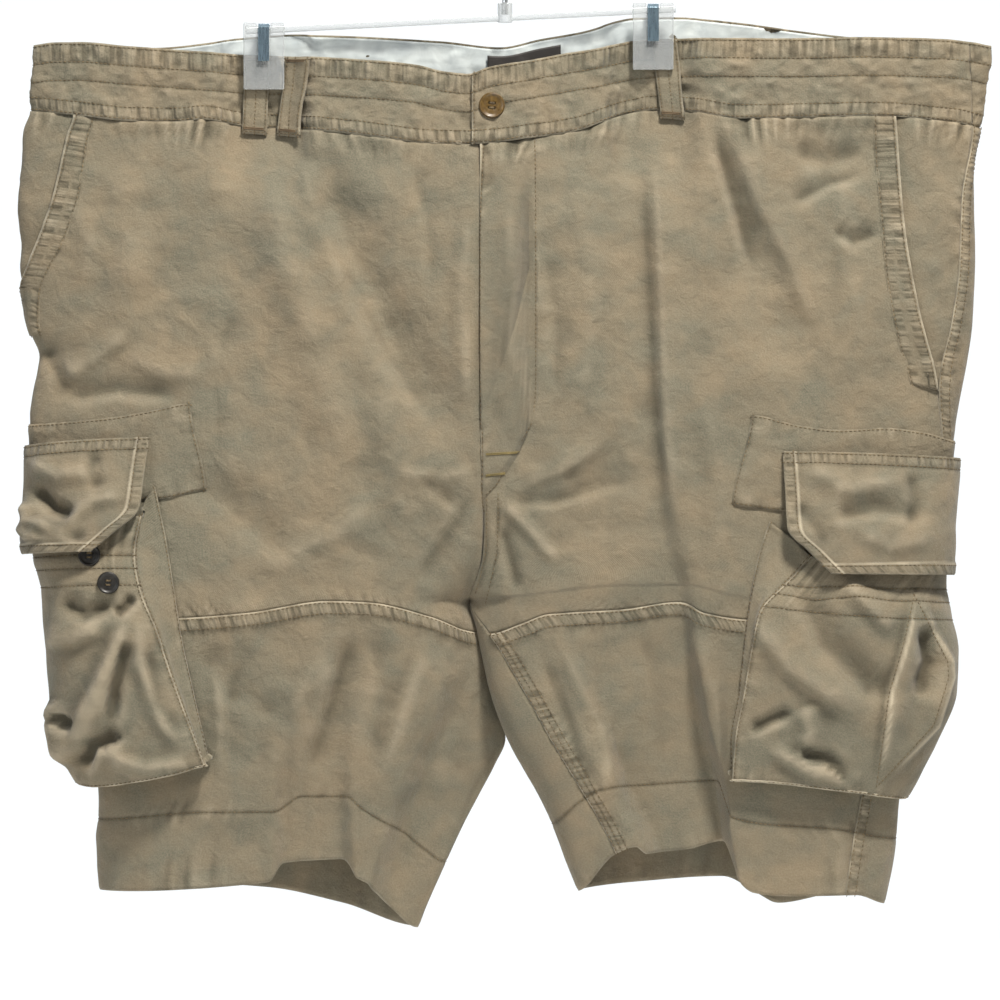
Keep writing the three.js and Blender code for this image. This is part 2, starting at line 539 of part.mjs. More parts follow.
// Inner and outer edge of one half at level v
function halfEdges(half, v) {
  let outer = sideX[half](0);
  let inner = innerX[half](0);
  for (let turn = 0; turn < RELAX.turns; turn += 1) {
    outer = mix(outer, sideX[half](levelDrop(frontLevels, v, outer)), RELAX.outer);
    inner = mix(inner, innerX[half](levelDrop(frontLevels, v, inner)), RELAX.inner);
  }
  return { outer, inner };
}

// A place on one half: q runs from 0 at the centre front, or the leg's inner edge, over 1 at the
// outer side to 2 at the centre back, and past 0 or 2 round a leg's inner edge
function place(half, q, v) {
  const { outer, inner } = halfEdges(half, v);
  const innerDrop = levelDrop(frontLevels, v, inner);
  const isLeg = innerDrop > CROTCH_DROP - CROTCH_SLACK;
  let turn = q;
  if (isLeg) {
    turn = ((q % 2) + 2) % 2;
  } else {
    turn = THREE.MathUtils.clamp(q, 0, 2);
  }
  const t = (1 - Math.cos(Math.PI * turn)) / 2;
  const x = inner + (outer - inner) * t;
  const face = turn <= 1 ? -1 : 1;
  let drop = levelDrop(face < 0 ? frontLevels : backLevels, v, x);
  if (face > 0) {
    const outerMiss = levelDrop(frontLevels, v, outer) - levelDrop(backLevels, v, outer);
    const innerMiss = innerDrop - levelDrop(backLevels, v, inner);
    drop += outerMiss * t ** 4 + innerMiss * (1 - t) ** 4 * legShare(innerDrop);
  }
  return new THREE.Vector3(x, clothY(face, x, drop, half), WAIST_Z - drop);
}

// Outward normal of the cloth at a place
function placeNormal(half, q, v) {
  const stepQ = 0.012;
  const stepV = 0.03;
  const low = Math.max(v - stepV, 0);
  const high = Math.min(v + stepV, LEVELS.length - 1);
  const around = place(half, q + stepQ, v).sub(place(half, q - stepQ, v));
  const down = place(half, q, high).sub(place(half, q, low));
  const normal = new THREE.Vector3().crossVectors(around, down).normalize();
  return half === 'left' ? normal : normal.negate();
}

// q of the place where level v crosses a line given by x
function lineQ(half, v, line) {
  const { outer, inner } = halfEdges(half, v);
  let drop = levelDrop(frontLevels, v, mix(inner, outer, 0.5));
  for (let turn = 0; turn < RELAX.turns; turn += 1) {
    drop = mix(drop, levelDrop(frontLevels, v, line(drop)), RELAX.line);
  }
  const t = clamp01((line(drop) - inner) / (outer - inner));
  return Math.acos(1 - 2 * t) / Math.PI;
}

// q of a place set in from the outer side; a negative inset lies on the back
function insetQ(half, v, inset) {
  const { outer, inner } = halfEdges(half, v);
  const t = 1 - Math.abs(inset) / Math.abs(outer - inner);
  const q = Math.acos(1 - 2 * t) / Math.PI;
  return inset >= 0 ? q : 2 - q;
}

function insetLineQ(half, v, line) {
  const drop = levelDrop(frontLevels, v, halfEdges(half, v).outer);
  return insetQ(half, v, line(drop));
}

// A grid of points on the cloth with their normals; rows are levels and columns spread between guides
class ClothGrid {
  constructor(half, levels, guides, counts) {
    this.stops = [0];
    for (const count of counts) {
      this.stops.push(this.stops[this.stops.length - 1] + count);
    }
    this.turns = [];
    this.points = [];
    this.normals = [];
    for (const v of levels) {
      const marks = guides.map((guide) => guide(v));
      const qs = [];
      counts.forEach((count, span) => {
        for (let step = 0; step < count; step += 1) {
          qs.push(mix(marks[span], marks[span + 1], step / count));
        }
      });
      qs.push(marks[marks.length - 1]);
      this.turns.push(qs);
      this.points.push(qs.map((q) => place(half, q, v)));
      this.normals.push(qs.map((q) => placeNormal(half, q, v)));
    }
  }

  // The part of the grid between two rows and two columns, ends included
  cut(row0, row1, col0, col1) {
    return {
      points: this.points.slice(row0, row1 + 1).map((row) => row.slice(col0, col1 + 1)),
      normals: this.normals.slice(row0, row1 + 1).map((row) => row.slice(col0, col1 + 1)),
    };
  }
}

// Joins grids side by side where the last column of one is the first of the next
function joinGrids(...grids) {
  const rows = grids[0].points.length;
  const join = (key) => Array.from({ length: rows }, (_, row) => (
    grids.flatMap((grid, index) => grid[key][row].slice(index === 0 ? 0 : 1))
  ));
  return { points: join('points'), normals: join('normals') };
}

// Draws a grid's border in by a gap, so that it stops short of the next piece
function drawIn(grid, gap, sides = 'tblr') {
  const points = grid.points.map((row) => row.map((point) => point.clone()));
  const lastRow = points.length - 1;
  const lastCol = points[0].length - 1;
  const pull = (row, col, nextRow, nextCol) => {
    const toward = grid.points[nextRow][nextCol].clone().sub(grid.points[row][col]);
    if (toward.length() > gap * 2) {
      points[row][col].addScaledVector(toward.normalize(), gap);
    }
  };
  for (let col = 0; col <= lastCol; col += 1) {
    if (sides.includes('t')) {
      pull(0, col, 1, col);
    }
    if (sides.includes('b')) {
      pull(lastRow, col, lastRow - 1, col);
    }
  }
  for (let row = 0; row <= lastRow; row += 1) {
    if (sides.includes('l')) {
      pull(row, 0, row, 1);
    }
    if (sides.includes('r')) {
      pull(row, lastCol, row, lastCol - 1);
    }
  }
  return { points, normals: grid.normals };
}

// Two triangles for each cell of a grid, or those that keep picks
function gridTriangles(rows, cols, keep = () => 'all', flip = false) {
  const triangles = [];
  for (let row = 0; row < rows - 1; row += 1) {
    for (let col = 0; col < cols - 1; col += 1) {
      const a = row * cols + col;
      const b = a + 1;
      const c = a + cols;
      const d = c + 1;
      const kind = keep(row, col);
      if (kind === 'all') {
        triangles.push([a, c, b], [b, c, d]);
      } else if (kind === 'corner') {
        triangles.push([a, c, b]);
      } else if (kind === 'noFoot') {
        triangles.push([a, d, b]);
      }
    }
  }
  return flip ? triangles.map(([a, b, c]) => [a, c, b]) : triangles;
}

// A closed wall of cloth over some triangles: outer points, inner points and the border between them
function wall(outer, inner, triangles) {
  const edges = new Map();
  for (const [a, b, c] of triangles) {
    for (const [from, to] of [[a, b], [b, c], [c, a]]) {
      edges.set(`${from},${to}`, [from, to]);
    }
  }
  const positions = [];
  const put = (...points) => points.forEach((point) => positions.push(point.x, point.y, point.z));
  for (const [a, b, c] of triangles) {
    put(outer[a], outer[b], outer[c]);
    put(inner[a], inner[c], inner[b]);
  }
  for (const [from, to] of edges.values()) {
    if (!edges.has(`${to},${from}`)) {
      put(outer[from], inner[from], inner[to]);
      put(outer[from], inner[to], outer[to]);
    }
  }
  const geometry = new THREE.BufferGeometry();
  geometry.setAttribute('position', new THREE.Float32BufferAttribute(positions, 3));
  const welded = mergeVertices(geometry, 1e-4);
  welded.computeVertexNormals();
  return welded;
}

// A grid made a wall: its outer side stands out by lift, and it is thick towards the inside
function clothWall(grid, thick, lift = 0, keep = () => 'all', mirrored = false) {
  const rows = grid.points.length;
  const cols = grid.points[0].length;
  const outer = [];
  const inner = [];
  for (let row = 0; row < rows; row += 1) {
    for (let col = 0; col < cols; col += 1) {
      const point = grid.points[row][col];
      const normal = grid.normals[row][col];
      outer.push(point.clone().addScaledVector(normal, lift));
      inner.push(point.clone().addScaledVector(normal, lift - thick));
    }
  }
  return wall(outer, inner, gridTriangles(rows, cols, keep, !mirrored));
}

const materialOf = (colour, roughness, metalness = 0, opacity = 1) => new THREE.MeshStandardMaterial({
  color: colour, roughness, metalness, opacity, transparent: opacity < 1, side: THREE.DoubleSide,
});
const MATERIALS = {
  twill: () => materialOf(COLOURS.twill, 0.9),
  facing: () => materialOf(COLOURS.facing, 0.85),
  label: () => materialOf(COLOURS.label, 0.8),
  flyButton: () => materialOf(COLOURS.flyButton, 0.35),
  cargoButton: () => materialOf(COLOURS.cargoButton, 0.4),
  clear: () => materialOf(COLOURS.clear, 0.15, 0, 0.45),
  steel: () => materialOf(COLOURS.steel, 0.3, 0.9),
};

const shorts = new THREE.Group();

function addPiece(name, geometry, material) {
  const mesh = new THREE.Mesh(geometry, MATERIALS[material]());
  mesh.name = name;
  shorts.add(mesh);
  return mesh;
}

// Levels of every row from the band seam to the hem edge, and where the named levels fall among them
const rowLevels = [LEVEL.band];
const rowAt = { band: 0 };
for (const span of ROWS) {
  for (let step = 1; step <= span.count; step += 1) {
    rowLevels.push(mix(LEVEL[span.from], LEVEL[span.to], step / span.count));
  }
  rowAt[span.to] = rowLevels.length - 1;
}

// The front of each leg, its seams and folds as guides
const leftSlant = tableCurve(LEFT_SLANT, 'drop', 'inset');
const leftWelt = tableCurve(LEFT_WELT, 'drop', 'inset');
const rightSlant = tableCurve(RIGHT_SLANT, 'drop', 'x');
const rightWelt = tableCurve(RIGHT_WELT, 'drop', 'x');
const rightSeam = tableCurve(RIGHT_SEAM, 'drop', 'x');
const rightInseam = tableCurve(RIGHT_INSEAM, 'drop', 'x');
const patchEdge = {
  left: tableCurve(PATCH_EDGE.left, 'drop', 'x'),
  right: tableCurve(PATCH_EDGE.right, 'drop', 'x'),
};
const SLANT_END = { left: 5, right: 6 };

const leftSlantQ = (v) => insetLineQ('left', v, leftSlant);
const rightSlantQ = (v) => lineQ('right', v, rightSlant);
const rightSeamQ = (v) => lineQ('right', v, rightSeam);
const rightInseamQ = (v) => (v <= LEVEL.crotch ? 0 : lineQ('right', v, rightInseam));
const leftSeamQ = (v) => insetQ('left', v, LEFT_SEAM_INSET);

const LEFT_FRONT_COUNTS = [3, 3, 4, 3, 4, 2];
const leftFront = new ClothGrid('left', rowLevels, [
  () => 0,
  (v) => lineQ('left', v, foldX.leftCrease),
  (v) => lineQ('left', v, foldX.leftTuckInner),
  (v) => lineQ('left', v, foldX.leftTuckOuter),
  (v) => lineQ('left', v, patchEdge.left),
  (v) => insetLineQ('left', v, leftWelt),
  leftSlantQ,
], LEFT_FRONT_COUNTS);

const RIGHT_FRONT_COUNTS = [2, 2, 2, 3, 4, 4, 2];
const rightFront = new ClothGrid('right', rowLevels, [
  rightInseamQ,
  (v) => lineQ('right', v, foldX.flyStitch),
  (v) => lineQ('right', v, foldX.tuckFloor),
  (v) => lineQ('right', v, (drop) => foldX.longFold(drop) - foldDepth.edge(drop)),
  (v) => lineQ('right', v, (drop) => foldX.longFold(drop) + foldDepth.edge(drop) * FOLD_EASE.edge),
  (v) => lineQ('right', v, patchEdge.right),
  (v) => lineQ('right', v, rightWelt),
  rightSlantQ,
], RIGHT_FRONT_COUNTS);

const fronts = { left: leftFront, right: rightFront };
for (const half of ['left', 'right']) {
  const grid = fronts[half];
  const lastCol = grid.stops[grid.stops.length - 1];
  const mirrored = half === 'right';
  const inseamClear = drawIn(grid.cut(0, rowAt.thigh, 0, lastCol), INSEAM_DRAW, 'lb');
  const upper = drawIn(inseamClear, SEAM_GAP / 2);
  const lower = drawIn(grid.cut(rowAt.thigh, rowAt.hem, 0, lastCol), SEAM_GAP / 2, 'tlr');
  addPiece(`front_upper_${half}`, clothWall(upper, PANEL, 0, undefined, mirrored), 'twill');
  addPiece(`front_lower_${half}`, clothWall(lower, PANEL, 0, undefined, mirrored), 'twill');
}

// The back of each leg, in one piece from the band seam to the hem edge
const rearQ = (half) => (v) => insetQ(half, v, -REAR_INSET[half]);
const clipQ = (half, away) => (v) => {
  const clip = CLIPS.find((one) => one.name === half);
  return 2 - lineQ(half, v, () => clip.x + away);
};
const backs = {
  left: new ClothGrid('left', rowLevels, [
    leftSeamQ, rearQ('left'), clipQ('left', -PINCH.reach), clipQ('left', PINCH.reach), () => 2,
  ], [5, 2, 3, 4]),
  right: new ClothGrid('right', rowLevels, [
    rightSeamQ, () => 1, rearQ('right'), clipQ('right', PINCH.reach), clipQ('right', -PINCH.reach),
    (v) => 2 + rightInseamQ(v),
  ], [2, 4, 3, 3, 3]),
};
for (const half of ['left', 'right']) {
  const grid = backs[half];
  const lastCol = grid.stops[grid.stops.length - 1];
  const piece = drawIn(grid.cut(0, rowAt.hem, 0, lastCol), SEAM_GAP / 2, 'tlr');
  addPiece(`back_${half}`, clothWall(piece, PANEL, 0, undefined, half === 'right'), 'twill');
}

// The cloth seen inside each slanted pocket, and the welt along the pocket's edge
const slantFacings = {
  left: new ClothGrid('left', rowLevels.slice(0, SLANT_END.left + 1), [leftSlantQ, leftSeamQ], [3]),
  right: new ClothGrid('right', rowLevels.slice(0, SLANT_END.right + 1), [rightSlantQ, rightSeamQ], [2]),
};
for (const half of ['left', 'right']) {
  const grid = slantFacings[half];
  const facing = drawIn(grid.cut(0, SLANT_END[half], 0, grid.stops[1]), SEAM_GAP / 2);
  addPiece(`slant_facing_${half}`, clothWall(facing, PANEL, 0, undefined, half === 'right'), 'twill');
  const front = fronts[half];
  const weltStart = front.stops[front.stops.length - 2];
  const weltEnd = front.stops[front.stops.length - 1];
  const welt = drawIn(front.cut(0, SLANT_END[half], weltStart, weltEnd), SEAM_GAP / 2);
  const weltWall = clothWall(welt, OVERLAY, LAY_GAP + OVERLAY, undefined, half === 'right');
  addPiece(`slant_welt_${half}`, weltWall, 'twill');
}

// The fly placket, straight down beside the centre line and curved in at its foot
const placketRows = rowAt.patchBottom;
const placket = rightFront.cut(0, placketRows, 0, rightFront.stops[1]);
const placketKeep = (row, col) => {
  const fromFoot = placketRows - 1 - row;
  if (fromFoot > 1) {
    return 'all';
  }
  if (fromFoot === 1) {
    return col === 0 ? 'all' : 'corner';
  }
  return col === 0 ? 'corner' : 'none';
};
const placketDrawn = drawIn(placket, PLACKET_DRAW, 'tl');
addPiece('fly_placket', clothWall(placketDrawn, OVERLAY, LAY_GAP + OVERLAY, placketKeep, true), 'twill');

// The reinforcing patches under the cargo flaps, round each side from front to back
for (const half of ['left', 'right']) {
  const front = fronts[half];
  const back = backs[half];
  const edgeCol = front.stops[front.stops.length - 3];
  const lastCol = front.stops[front.stops.length - 1];
  const rearCol = back.stops[half === 'left' ? 1 : 2];
  const patch = joinGrids(
    front.cut(rowAt.patchTop, rowAt.patchBottom, edgeCol, lastCol),
    back.cut(rowAt.patchTop, rowAt.patchBottom, 0, rearCol),
  );
  const patchWall = clothWall(patch, OVERLAY, LAY_GAP + OVERLAY, undefined, half === 'right');
  addPiece(`cargo_patch_${half}`, patchWall, 'twill');
}

// The waistband: rows from its top edge to its seam
const bandLevels = [0, 1 / 3, 2 / 3, 1].map((share) => mix(LEVEL.waist, LEVEL.band, share));

// A place on the front or back given by x, with the normal there
function clothAt(face, x, v, lift = 0) {
  const curves = face < 0 ? frontLevels : backLevels;
  const spot = (px, pv) => {
    const drop = levelDrop(curves, pv, px);
    return new THREE.Vector3(px, clothY(face, px, drop), WAIST_Z - drop);
  };
  const across = spot(x + 2, v).sub(spot(x - 2, v));
  const down = spot(x, Math.min(v + 0.05, LEVELS.length - 1)).sub(spot(x, Math.max(v - 0.05, 0)));
  const normal = new THREE.Vector3().crossVectors(across, down).normalize().multiplyScalar(face);
  return { point: spot(x, v).addScaledVector(normal, lift), normal };
}

// A grid across the front or back through the places given by x, each lifted off the cloth
function stripGrid(face, levels, columns) {
  const cells = levels.map((v) => columns.map((column) => clothAt(face, column.x, v, column.lift)));
  return {
    points: cells.map((row) => row.map((cell) => cell.point)),
    normals: cells.map((row) => row.map((cell) => cell.normal)),
  };
}

// Where the button tab laps over the other end of the waistband
const TAB = { edge: -22.5, underlap: [-4, -12, -17], lift: BAND + 0.5, flat: 0, settled: 50 };
const TAB_COLUMNS = 4;
const tabXs = [TAB.edge, ...rightFront.points[0].slice(0, TAB_COLUMNS + 1).map((point) => point.x)];
const tabColumns = tabXs.map((x) => ({ x, lift: TAB.lift * (1 - smooth(TAB.flat, TAB.settled, x)) }));

// A waistband grid over the same turns as the top of the panels it is sewn to
function bandSpan(half, turns) {
  return {
    points: bandLevels.map((v) => turns.map((q) => place(half, q, v))),
    normals: bandLevels.map((v) => turns.map((q) => placeNormal(half, q, v))),
  };
}
const rightTurns = [...rightFront.turns[0].slice(TAB_COLUMNS), ...slantFacings.right.turns[0].slice(1)];
const leftTurns = [...leftFront.turns[0], ...slantFacings.left.turns[0].slice(1)];
const rightBand = bandSpan('right', rightTurns);
const leftBand = bandSpan('left', leftTurns);
const reversed = (grid) => ({
  points: grid.points.map((row) => [...row].reverse()),
  normals: grid.normals.map((row) => [...row].reverse()),
});
const underlap = stripGrid(-1, bandLevels, TAB.underlap.map((x) => ({ x, lift: 0 })));
underlap.points.forEach((row, index) => row[TAB.underlap.length - 1].copy(leftBand.points[index][0]));
const leftFrontBand = joinGrids(underlap, leftBand);
const rightFrontBand = joinGrids(stripGrid(-1, bandLevels, tabColumns), rightBand);
const backBand = joinGrids(
  bandSpan('left', backs.left.turns[0]),
  reversed(bandSpan('right', backs.right.turns[0])),
);
addPiece('waistband_left', clothWall(drawIn(leftFrontBand, SEAM_GAP / 2), BAND), 'twill');
const rightBandWall = clothWall(drawIn(rightFrontBand, SEAM_GAP / 2), BAND, 0, undefined, true);
addPiece('waistband_right', rightBandWall, 'twill');
addPiece('waistband_back', clothWall(drawIn(backBand, SEAM_GAP / 2), BAND), 'twill');

// The pale facing inside the back of the waistband, and a bare label sewn on it
const FACING_TRIM = { left: 3, right: 4 };
const facingCols = backBand.points[0].length - FACING_TRIM.right;
const facingRows = backBand.points.length - 1;
const backFacing = {
  points: backBand.points.slice(0, facingRows).map((row) => row.slice(FACING_TRIM.left, facingCols)),
  normals: backBand.normals.slice(0, facingRows).map((row) => row.slice(FACING_TRIM.left, facingCols)),
};
addPiece('waist_facing', clothWall(backFacing, FACING, -BAND - LAY_GAP), 'facing');
const LABEL = { left: -12, right: 38, thick: 0.6, levels: [0.12, 0.42, 0.72], lift: -BAND - FACING - 2 };
const LABEL_SHARES = [0, 0.25, 0.5, 0.75, 1];
const labelColumns = LABEL_SHARES.map((share) => ({ x: mix(LABEL.left, LABEL.right, share), lift: 0 }));
const labelGrid = stripGrid(1, LABEL.levels, labelColumns);
addPiece('label_blank', clothWall(labelGrid, LABEL.thick, LABEL.lift), 'label');

// Belt loops over the band, folded at both ends
const LOOP_ROWS = [
  { v: 0.02, lift: 0.9 }, { v: 0.2, lift: 0.9 }, { v: 0.45, lift: 1.1 }, { v: 0.65, lift: 2.6 },
  { v: 0.85, lift: 2.6 }, { v: 1.0, lift: 1.8 }, { v: 1.03, lift: 1.6 },
];
for (const loop of LOOPS) {
  const face = loop.side === 'front' ? -1 : 1;
  const cells = LOOP_ROWS.map((row) => [-0.5, 0, 0.5].map((share) => (
    clothAt(face, mix(loop.topX, loop.footX, row.v) + share * loop.width, row.v, row.lift + loop.extra)
  )));
  const grid = {
    points: cells.map((row) => row.map((cell) => cell.point)),
    normals: cells.map((row) => row.map((cell) => cell.normal)),
  };
  addPiece(`belt_loop_${loop.name}`, clothWall(grid, LOOP, LOOP, undefined, face < 0), 'twill');
}

// Normals of a free grid of points, each the mean of the cells about it
function gridNormals(points, mirrored) {
  const rows = points.length;
  const cols = points[0].length;
  const normals = points.map((row) => row.map(() => new THREE.Vector3()));
  for (let row = 0; row < rows - 1; row += 1) {
    for (let col = 0; col < cols - 1; col += 1) {
      const across = points[row + 1][col + 1].clone().sub(points[row][col]);
      const down = points[row + 1][col].clone().sub(points[row][col + 1]);
      const normal = new THREE.Vector3().crossVectors(across, down).normalize();
      normal.multiplyScalar(mirrored ? -1 : 1);
      for (const [r, c] of [[row, col], [row + 1, col], [row, col + 1], [row + 1, col + 1]]) {
        normals[r][c].add(normal);
      }
    }
  }
  normals.forEach((row) => row.forEach((normal) => normal.normalize()));
  return normals;
}

// Places round one side of a leg, from a front edge over the outer side to a rear edge
const SIDE_ROUNDS = { front: 7, rear: 5, power: 3, rearSag: 0.4 };
function aroundSide(half, row, rear, rearStand, belly, sag) {
  const outward = half === 'left' ? -1 : 1;
  const legSide = sideX[half](row.sideDrop);
  const rearX = legSide - outward * rear;
  const frontY = clothY(-1, row.x, row.drop, half) - row.stand;
  const rearY = clothY(1, rearX, row.sideDrop, half) + rearStand;
  const spots = [];
  for (let step = 0; step <= SIDE_ROUNDS.front; step += 1) {
    const c = step / SIDE_ROUNDS.front;
    const s = Math.sin((c * Math.PI) / 2);
    const full = (1 - Math.min(s, 1) ** SIDE_ROUNDS.power) ** (1 / SIDE_ROUNDS.power);
    const drop = mix(row.drop, row.sideDrop, smooth(0, 1, c)) + sag * Math.sin(Math.PI * c);
    const y = frontY * full - belly * Math.sin(Math.PI * c);
    spots.push({ c, face: -1, x: mix(row.x, row.sideX, s), y, drop });
  }
  for (let step = SIDE_ROUNDS.rear - 1; step >= 0; step -= 1) {
    const c = step / SIDE_ROUNDS.rear;
    const s = Math.sin((c * Math.PI) / 2);
    const full = (1 - s ** SIDE_ROUNDS.power) ** (1 / SIDE_ROUNDS.power);
    const drop = row.sideDrop + sag * SIDE_ROUNDS.rearSag * Math.sin(Math.PI * c);
    spots.push({ c, face: 1, x: mix(rearX, row.sideX, s), y: rearY * full, drop });
  }
  return spots;
}

const spotPoint = (spot) => new THREE.Vector3(spot.x, spot.y, WAIST_Z - spot.drop);

// A pouch's whole surface: gusset, face and gusset again from front to rear, with the gusset's foot last
const GUSSET = { clear: 2, patchClear: 3.4, patchFoot: 326, rear: 7, hemPower: 4 };
function pouchGrid(half, pouch) {
  const outward = half === 'left' ? -1 : 1;
  const rows = pouch.rows.map((row, index) => {
    const share = index / (pouch.rows.length - 1);
    const belly = pouch.belly * Math.sin(Math.PI * (0.25 + share * 0.65));
    const rearStand = (pouch.rearStand * row.stand) / pouch.rows[3].stand;
    const spots = aroundSide(half, row, pouch.rear, rearStand, belly, pouch.bottomSag * share ** 2);
    const clear = row.baseDrop < GUSSET.patchFoot ? GUSSET.patchClear : GUSSET.clear;
    const baseY = clothY(-1, row.baseX, row.baseDrop, half) - clear;
    const rearX = spots[spots.length - 1].x - outward * GUSSET.rear;
    const rearY = clothY(1, rearX, row.sideDrop, half) + clear;
    return [
      new THREE.Vector3(row.baseX, baseY, WAIST_Z - row.baseDrop),
      ...spots.map(spotPoint),
      new THREE.Vector3(rearX, rearY, WAIST_Z - row.sideDrop),
    ];
  });
  const foot = pouch.rows[pouch.rows.length - 1];
  const footRear = pouch.rear + GUSSET.rear;
  const footSpots = aroundSide(half, foot, footRear, pouch.rearStand, 0, pouch.bottomSag);
  const footRow = footSpots.map((spot) => {
    const drop = spot.drop - pouch.bottomLift;
    const legSide = sideX[half](drop);
    const start = spot.face < 0 ? foot.baseX : legSide - outward * footRear;
    const s = Math.sin((spot.c * Math.PI) / 2);
    const legX = mix(start, legSide, s);
    const sideways = spot.c ** GUSSET.hemPower;
    const y = clothY(spot.face, legX, drop, half) + spot.face * GUSSET.clear * (1 - sideways);
    return new THREE.Vector3(legX + outward * GUSSET.clear * sideways, y, WAIST_Z - drop);
  });
  const last = rows[rows.length - 1];
  rows.push([last[0].clone(), ...footRow, last[last.length - 1].clone()]);
  return { points: rows, normals: gridNormals(rows, half === 'right') };
}

// The pouch's face is drawn in from its folded edge, and its gusset stops just behind that edge
function addPouch(half) {
  const grid = pouchGrid(half, POUCHES[half]);
  const mirrored = half === 'right';
  const rows = grid.points.length;
  const cols = grid.points[0].length;
  const face = {
    points: grid.points.slice(0, rows - 1).map((row) => row.slice(1, cols - 1)),
    normals: grid.normals.slice(0, rows - 1).map((row) => row.slice(1, cols - 1)),
  };
  const faceWall = clothWall(drawIn(face, SEAM_GAP, 'blr'), POUCH, 0, undefined, mirrored);
  addPiece(`cargo_face_${half}`, faceWall, 'twill');
  const points = grid.points.map((row) => row.map((point) => point.clone()));
  const pull = (row, col, nextRow, nextCol) => {
    const toward = grid.points[nextRow][nextCol].clone().sub(grid.points[row][col]).normalize();
    points[row][col].addScaledVector(toward, SEAM_GAP);
  };
  for (let row = 0; row < rows - 1; row += 1) {
    pull(row, 1, row, 0);
    pull(row, cols - 2, row, cols - 1);
  }
  for (let col = 2; col < cols - 2; col += 1) {
    pull(rows - 2, col, rows - 1, col);
  }
  const keep = (row, col) => {
    if (row === rows - 2) {
      if (col === 0) {
        return 'noFoot';
      }
      return col === cols - 2 ? 'corner' : 'all';
    }
    return col === 0 || col === cols - 2 ? 'all' : 'none';
  };
  const gussetWall = clothWall({ points, normals: grid.normals }, POUCH, 0, keep, mirrored);
  addPiece(`cargo_gusset_${half}`, gussetWall, 'twill');
  return face;
}
const pouchFaces = { left: addPouch('left'), right: addPouch('right') };

// The flaps over the pouches' mouths
const FLAP_BELLY = 1.5;
for (const half of ['left', 'right']) {
  const flap = FLAPS[half];
  const most = flap.rows[flap.rows.length - 1].stand;
  const points = flap.rows.map((row) => {
    const rearStand = Math.max((flap.rearStand * row.stand) / most, flap.rows[0].stand);
    return aroundSide(half, row, flap.rear, rearStand, FLAP_BELLY, 0).map(spotPoint);
  });
  const grid = { points, normals: gridNormals(points, half === 'right') };
  addPiece(`cargo_flap_${half}`, clothWall(grid, FLAP, 0, undefined, half === 'right'), 'twill');
}

// Solids for cutting, from closed three.js geometries and back
function toSolid(geometry) {
  const plain = new THREE.BufferGeometry();
  plain.setAttribute('position', geometry.getAttribute('position').clone());
  if (geometry.index) {
    plain.setIndex(geometry.index.clone());
  }
  const merged = mergeVertices(plain, 1e-4);
  return new wasm.Manifold(new wasm.Mesh({
    numProp: 3,
    vertProperties: new Float32Array(merged.getAttribute('position').array),
    triVerts: new Uint32Array(merged.index.array),
  }));
}

function fromSolid(solid) {
  const mesh = solid.getMesh();
  const geometry = new THREE.BufferGeometry();
  geometry.setAttribute('position', new THREE.BufferAttribute(new Float32Array(mesh.vertProperties), 3));
  geometry.setIndex(new THREE.BufferAttribute(new Uint32Array(mesh.triVerts), 1));
  geometry.computeVertexNormals();
  return geometry;
}

// A round button with a raised rim and four holes, facing -Y
const BUTTON_SIDES = 24;
function buttonGeometry({ radius, thickness, holeRadius, holeCircle }) {
  const rim = radius * 0.78;
  const dish = thickness * 0.68;
  const profile = [
    [0, 0], [radius * 0.9, 0], [radius, thickness * 0.35], [radius * 0.96, thickness * 0.85],
    [radius * 0.88, thickness], [rim, dish], [0, dish * 0.94],
  ].map(([x, y]) => new THREE.Vector2(x, y));
  let body = toSolid(new THREE.LatheGeometry(profile, BUTTON_SIDES));
  for (let hole = 0; hole < 4; hole += 1) {
    const angle = Math.PI / 4 + (hole * Math.PI) / 2;
    const drill = new THREE.CylinderGeometry(holeRadius, holeRadius, thickness * 4, 10);
    drill.translate(Math.cos(angle) * holeCircle, 0, Math.sin(angle) * holeCircle);
    body = body.subtract(toSolid(drill));
  }
  return fromSolid(body).rotateX(Math.PI);
}

// Where a line straight back from the viewer meets a grid of cloth, with the cloth's lean there
function meetGrid(grid, x, z) {
  let best = null;
  grid.points.forEach((row, r) => row.forEach((point, c) => {
    const away = Math.hypot(point.x - x, point.z - z);
    if (point.y < 0 && (!best || away < best.away)) {
      best = { away, point, normal: grid.normals[r][c] };
    }
  }));
  const { point, normal } = best;
  const y = point.y - ((x - point.x) * normal.x + (z - point.z) * normal.z) / normal.y;
  return { point: new THREE.Vector3(x, y, z), normal };
}

function addButton(name, size, at, clear, material) {
  const mesh = addPiece(name, buttonGeometry(size), material);
  mesh.quaternion.setFromUnitVectors(new THREE.Vector3(0, 1, 0), at.normal.clone().negate());
  mesh.position.copy(at.point).addScaledVector(at.normal, clear);
}
const flyAt = clothAt(-1, FLY_BUTTON.x, FLY_BUTTON.level, TAB.lift);
addButton('fly_button', FLY_BUTTON, flyAt, BUTTON_CLEAR.fly, 'flyButton');
for (const button of CARGO_BUTTONS) {
  const at = meetGrid(pouchFaces.left, button.x, WAIST_Z - button.drop);
  addButton(`cargo_button_${button.name}`, CARGO_BUTTON, at, BUTTON_CLEAR.cargo, 'cargoButton');
}

// A closed solid pushed out along X from an outline in Y and Z
function slab(outline, width) {
  const shape = new THREE.Shape(outline.map(([y, z]) => new THREE.Vector2(y, z)));
  const geometry = new THREE.ExtrudeGeometry(shape, { depth: width, bevelEnabled: false });
  geometry.translate(0, 0, -width / 2);
  geometry.rotateY(Math.PI / 2);
  geometry.rotateX(Math.PI / 2);
  return geometry;
}

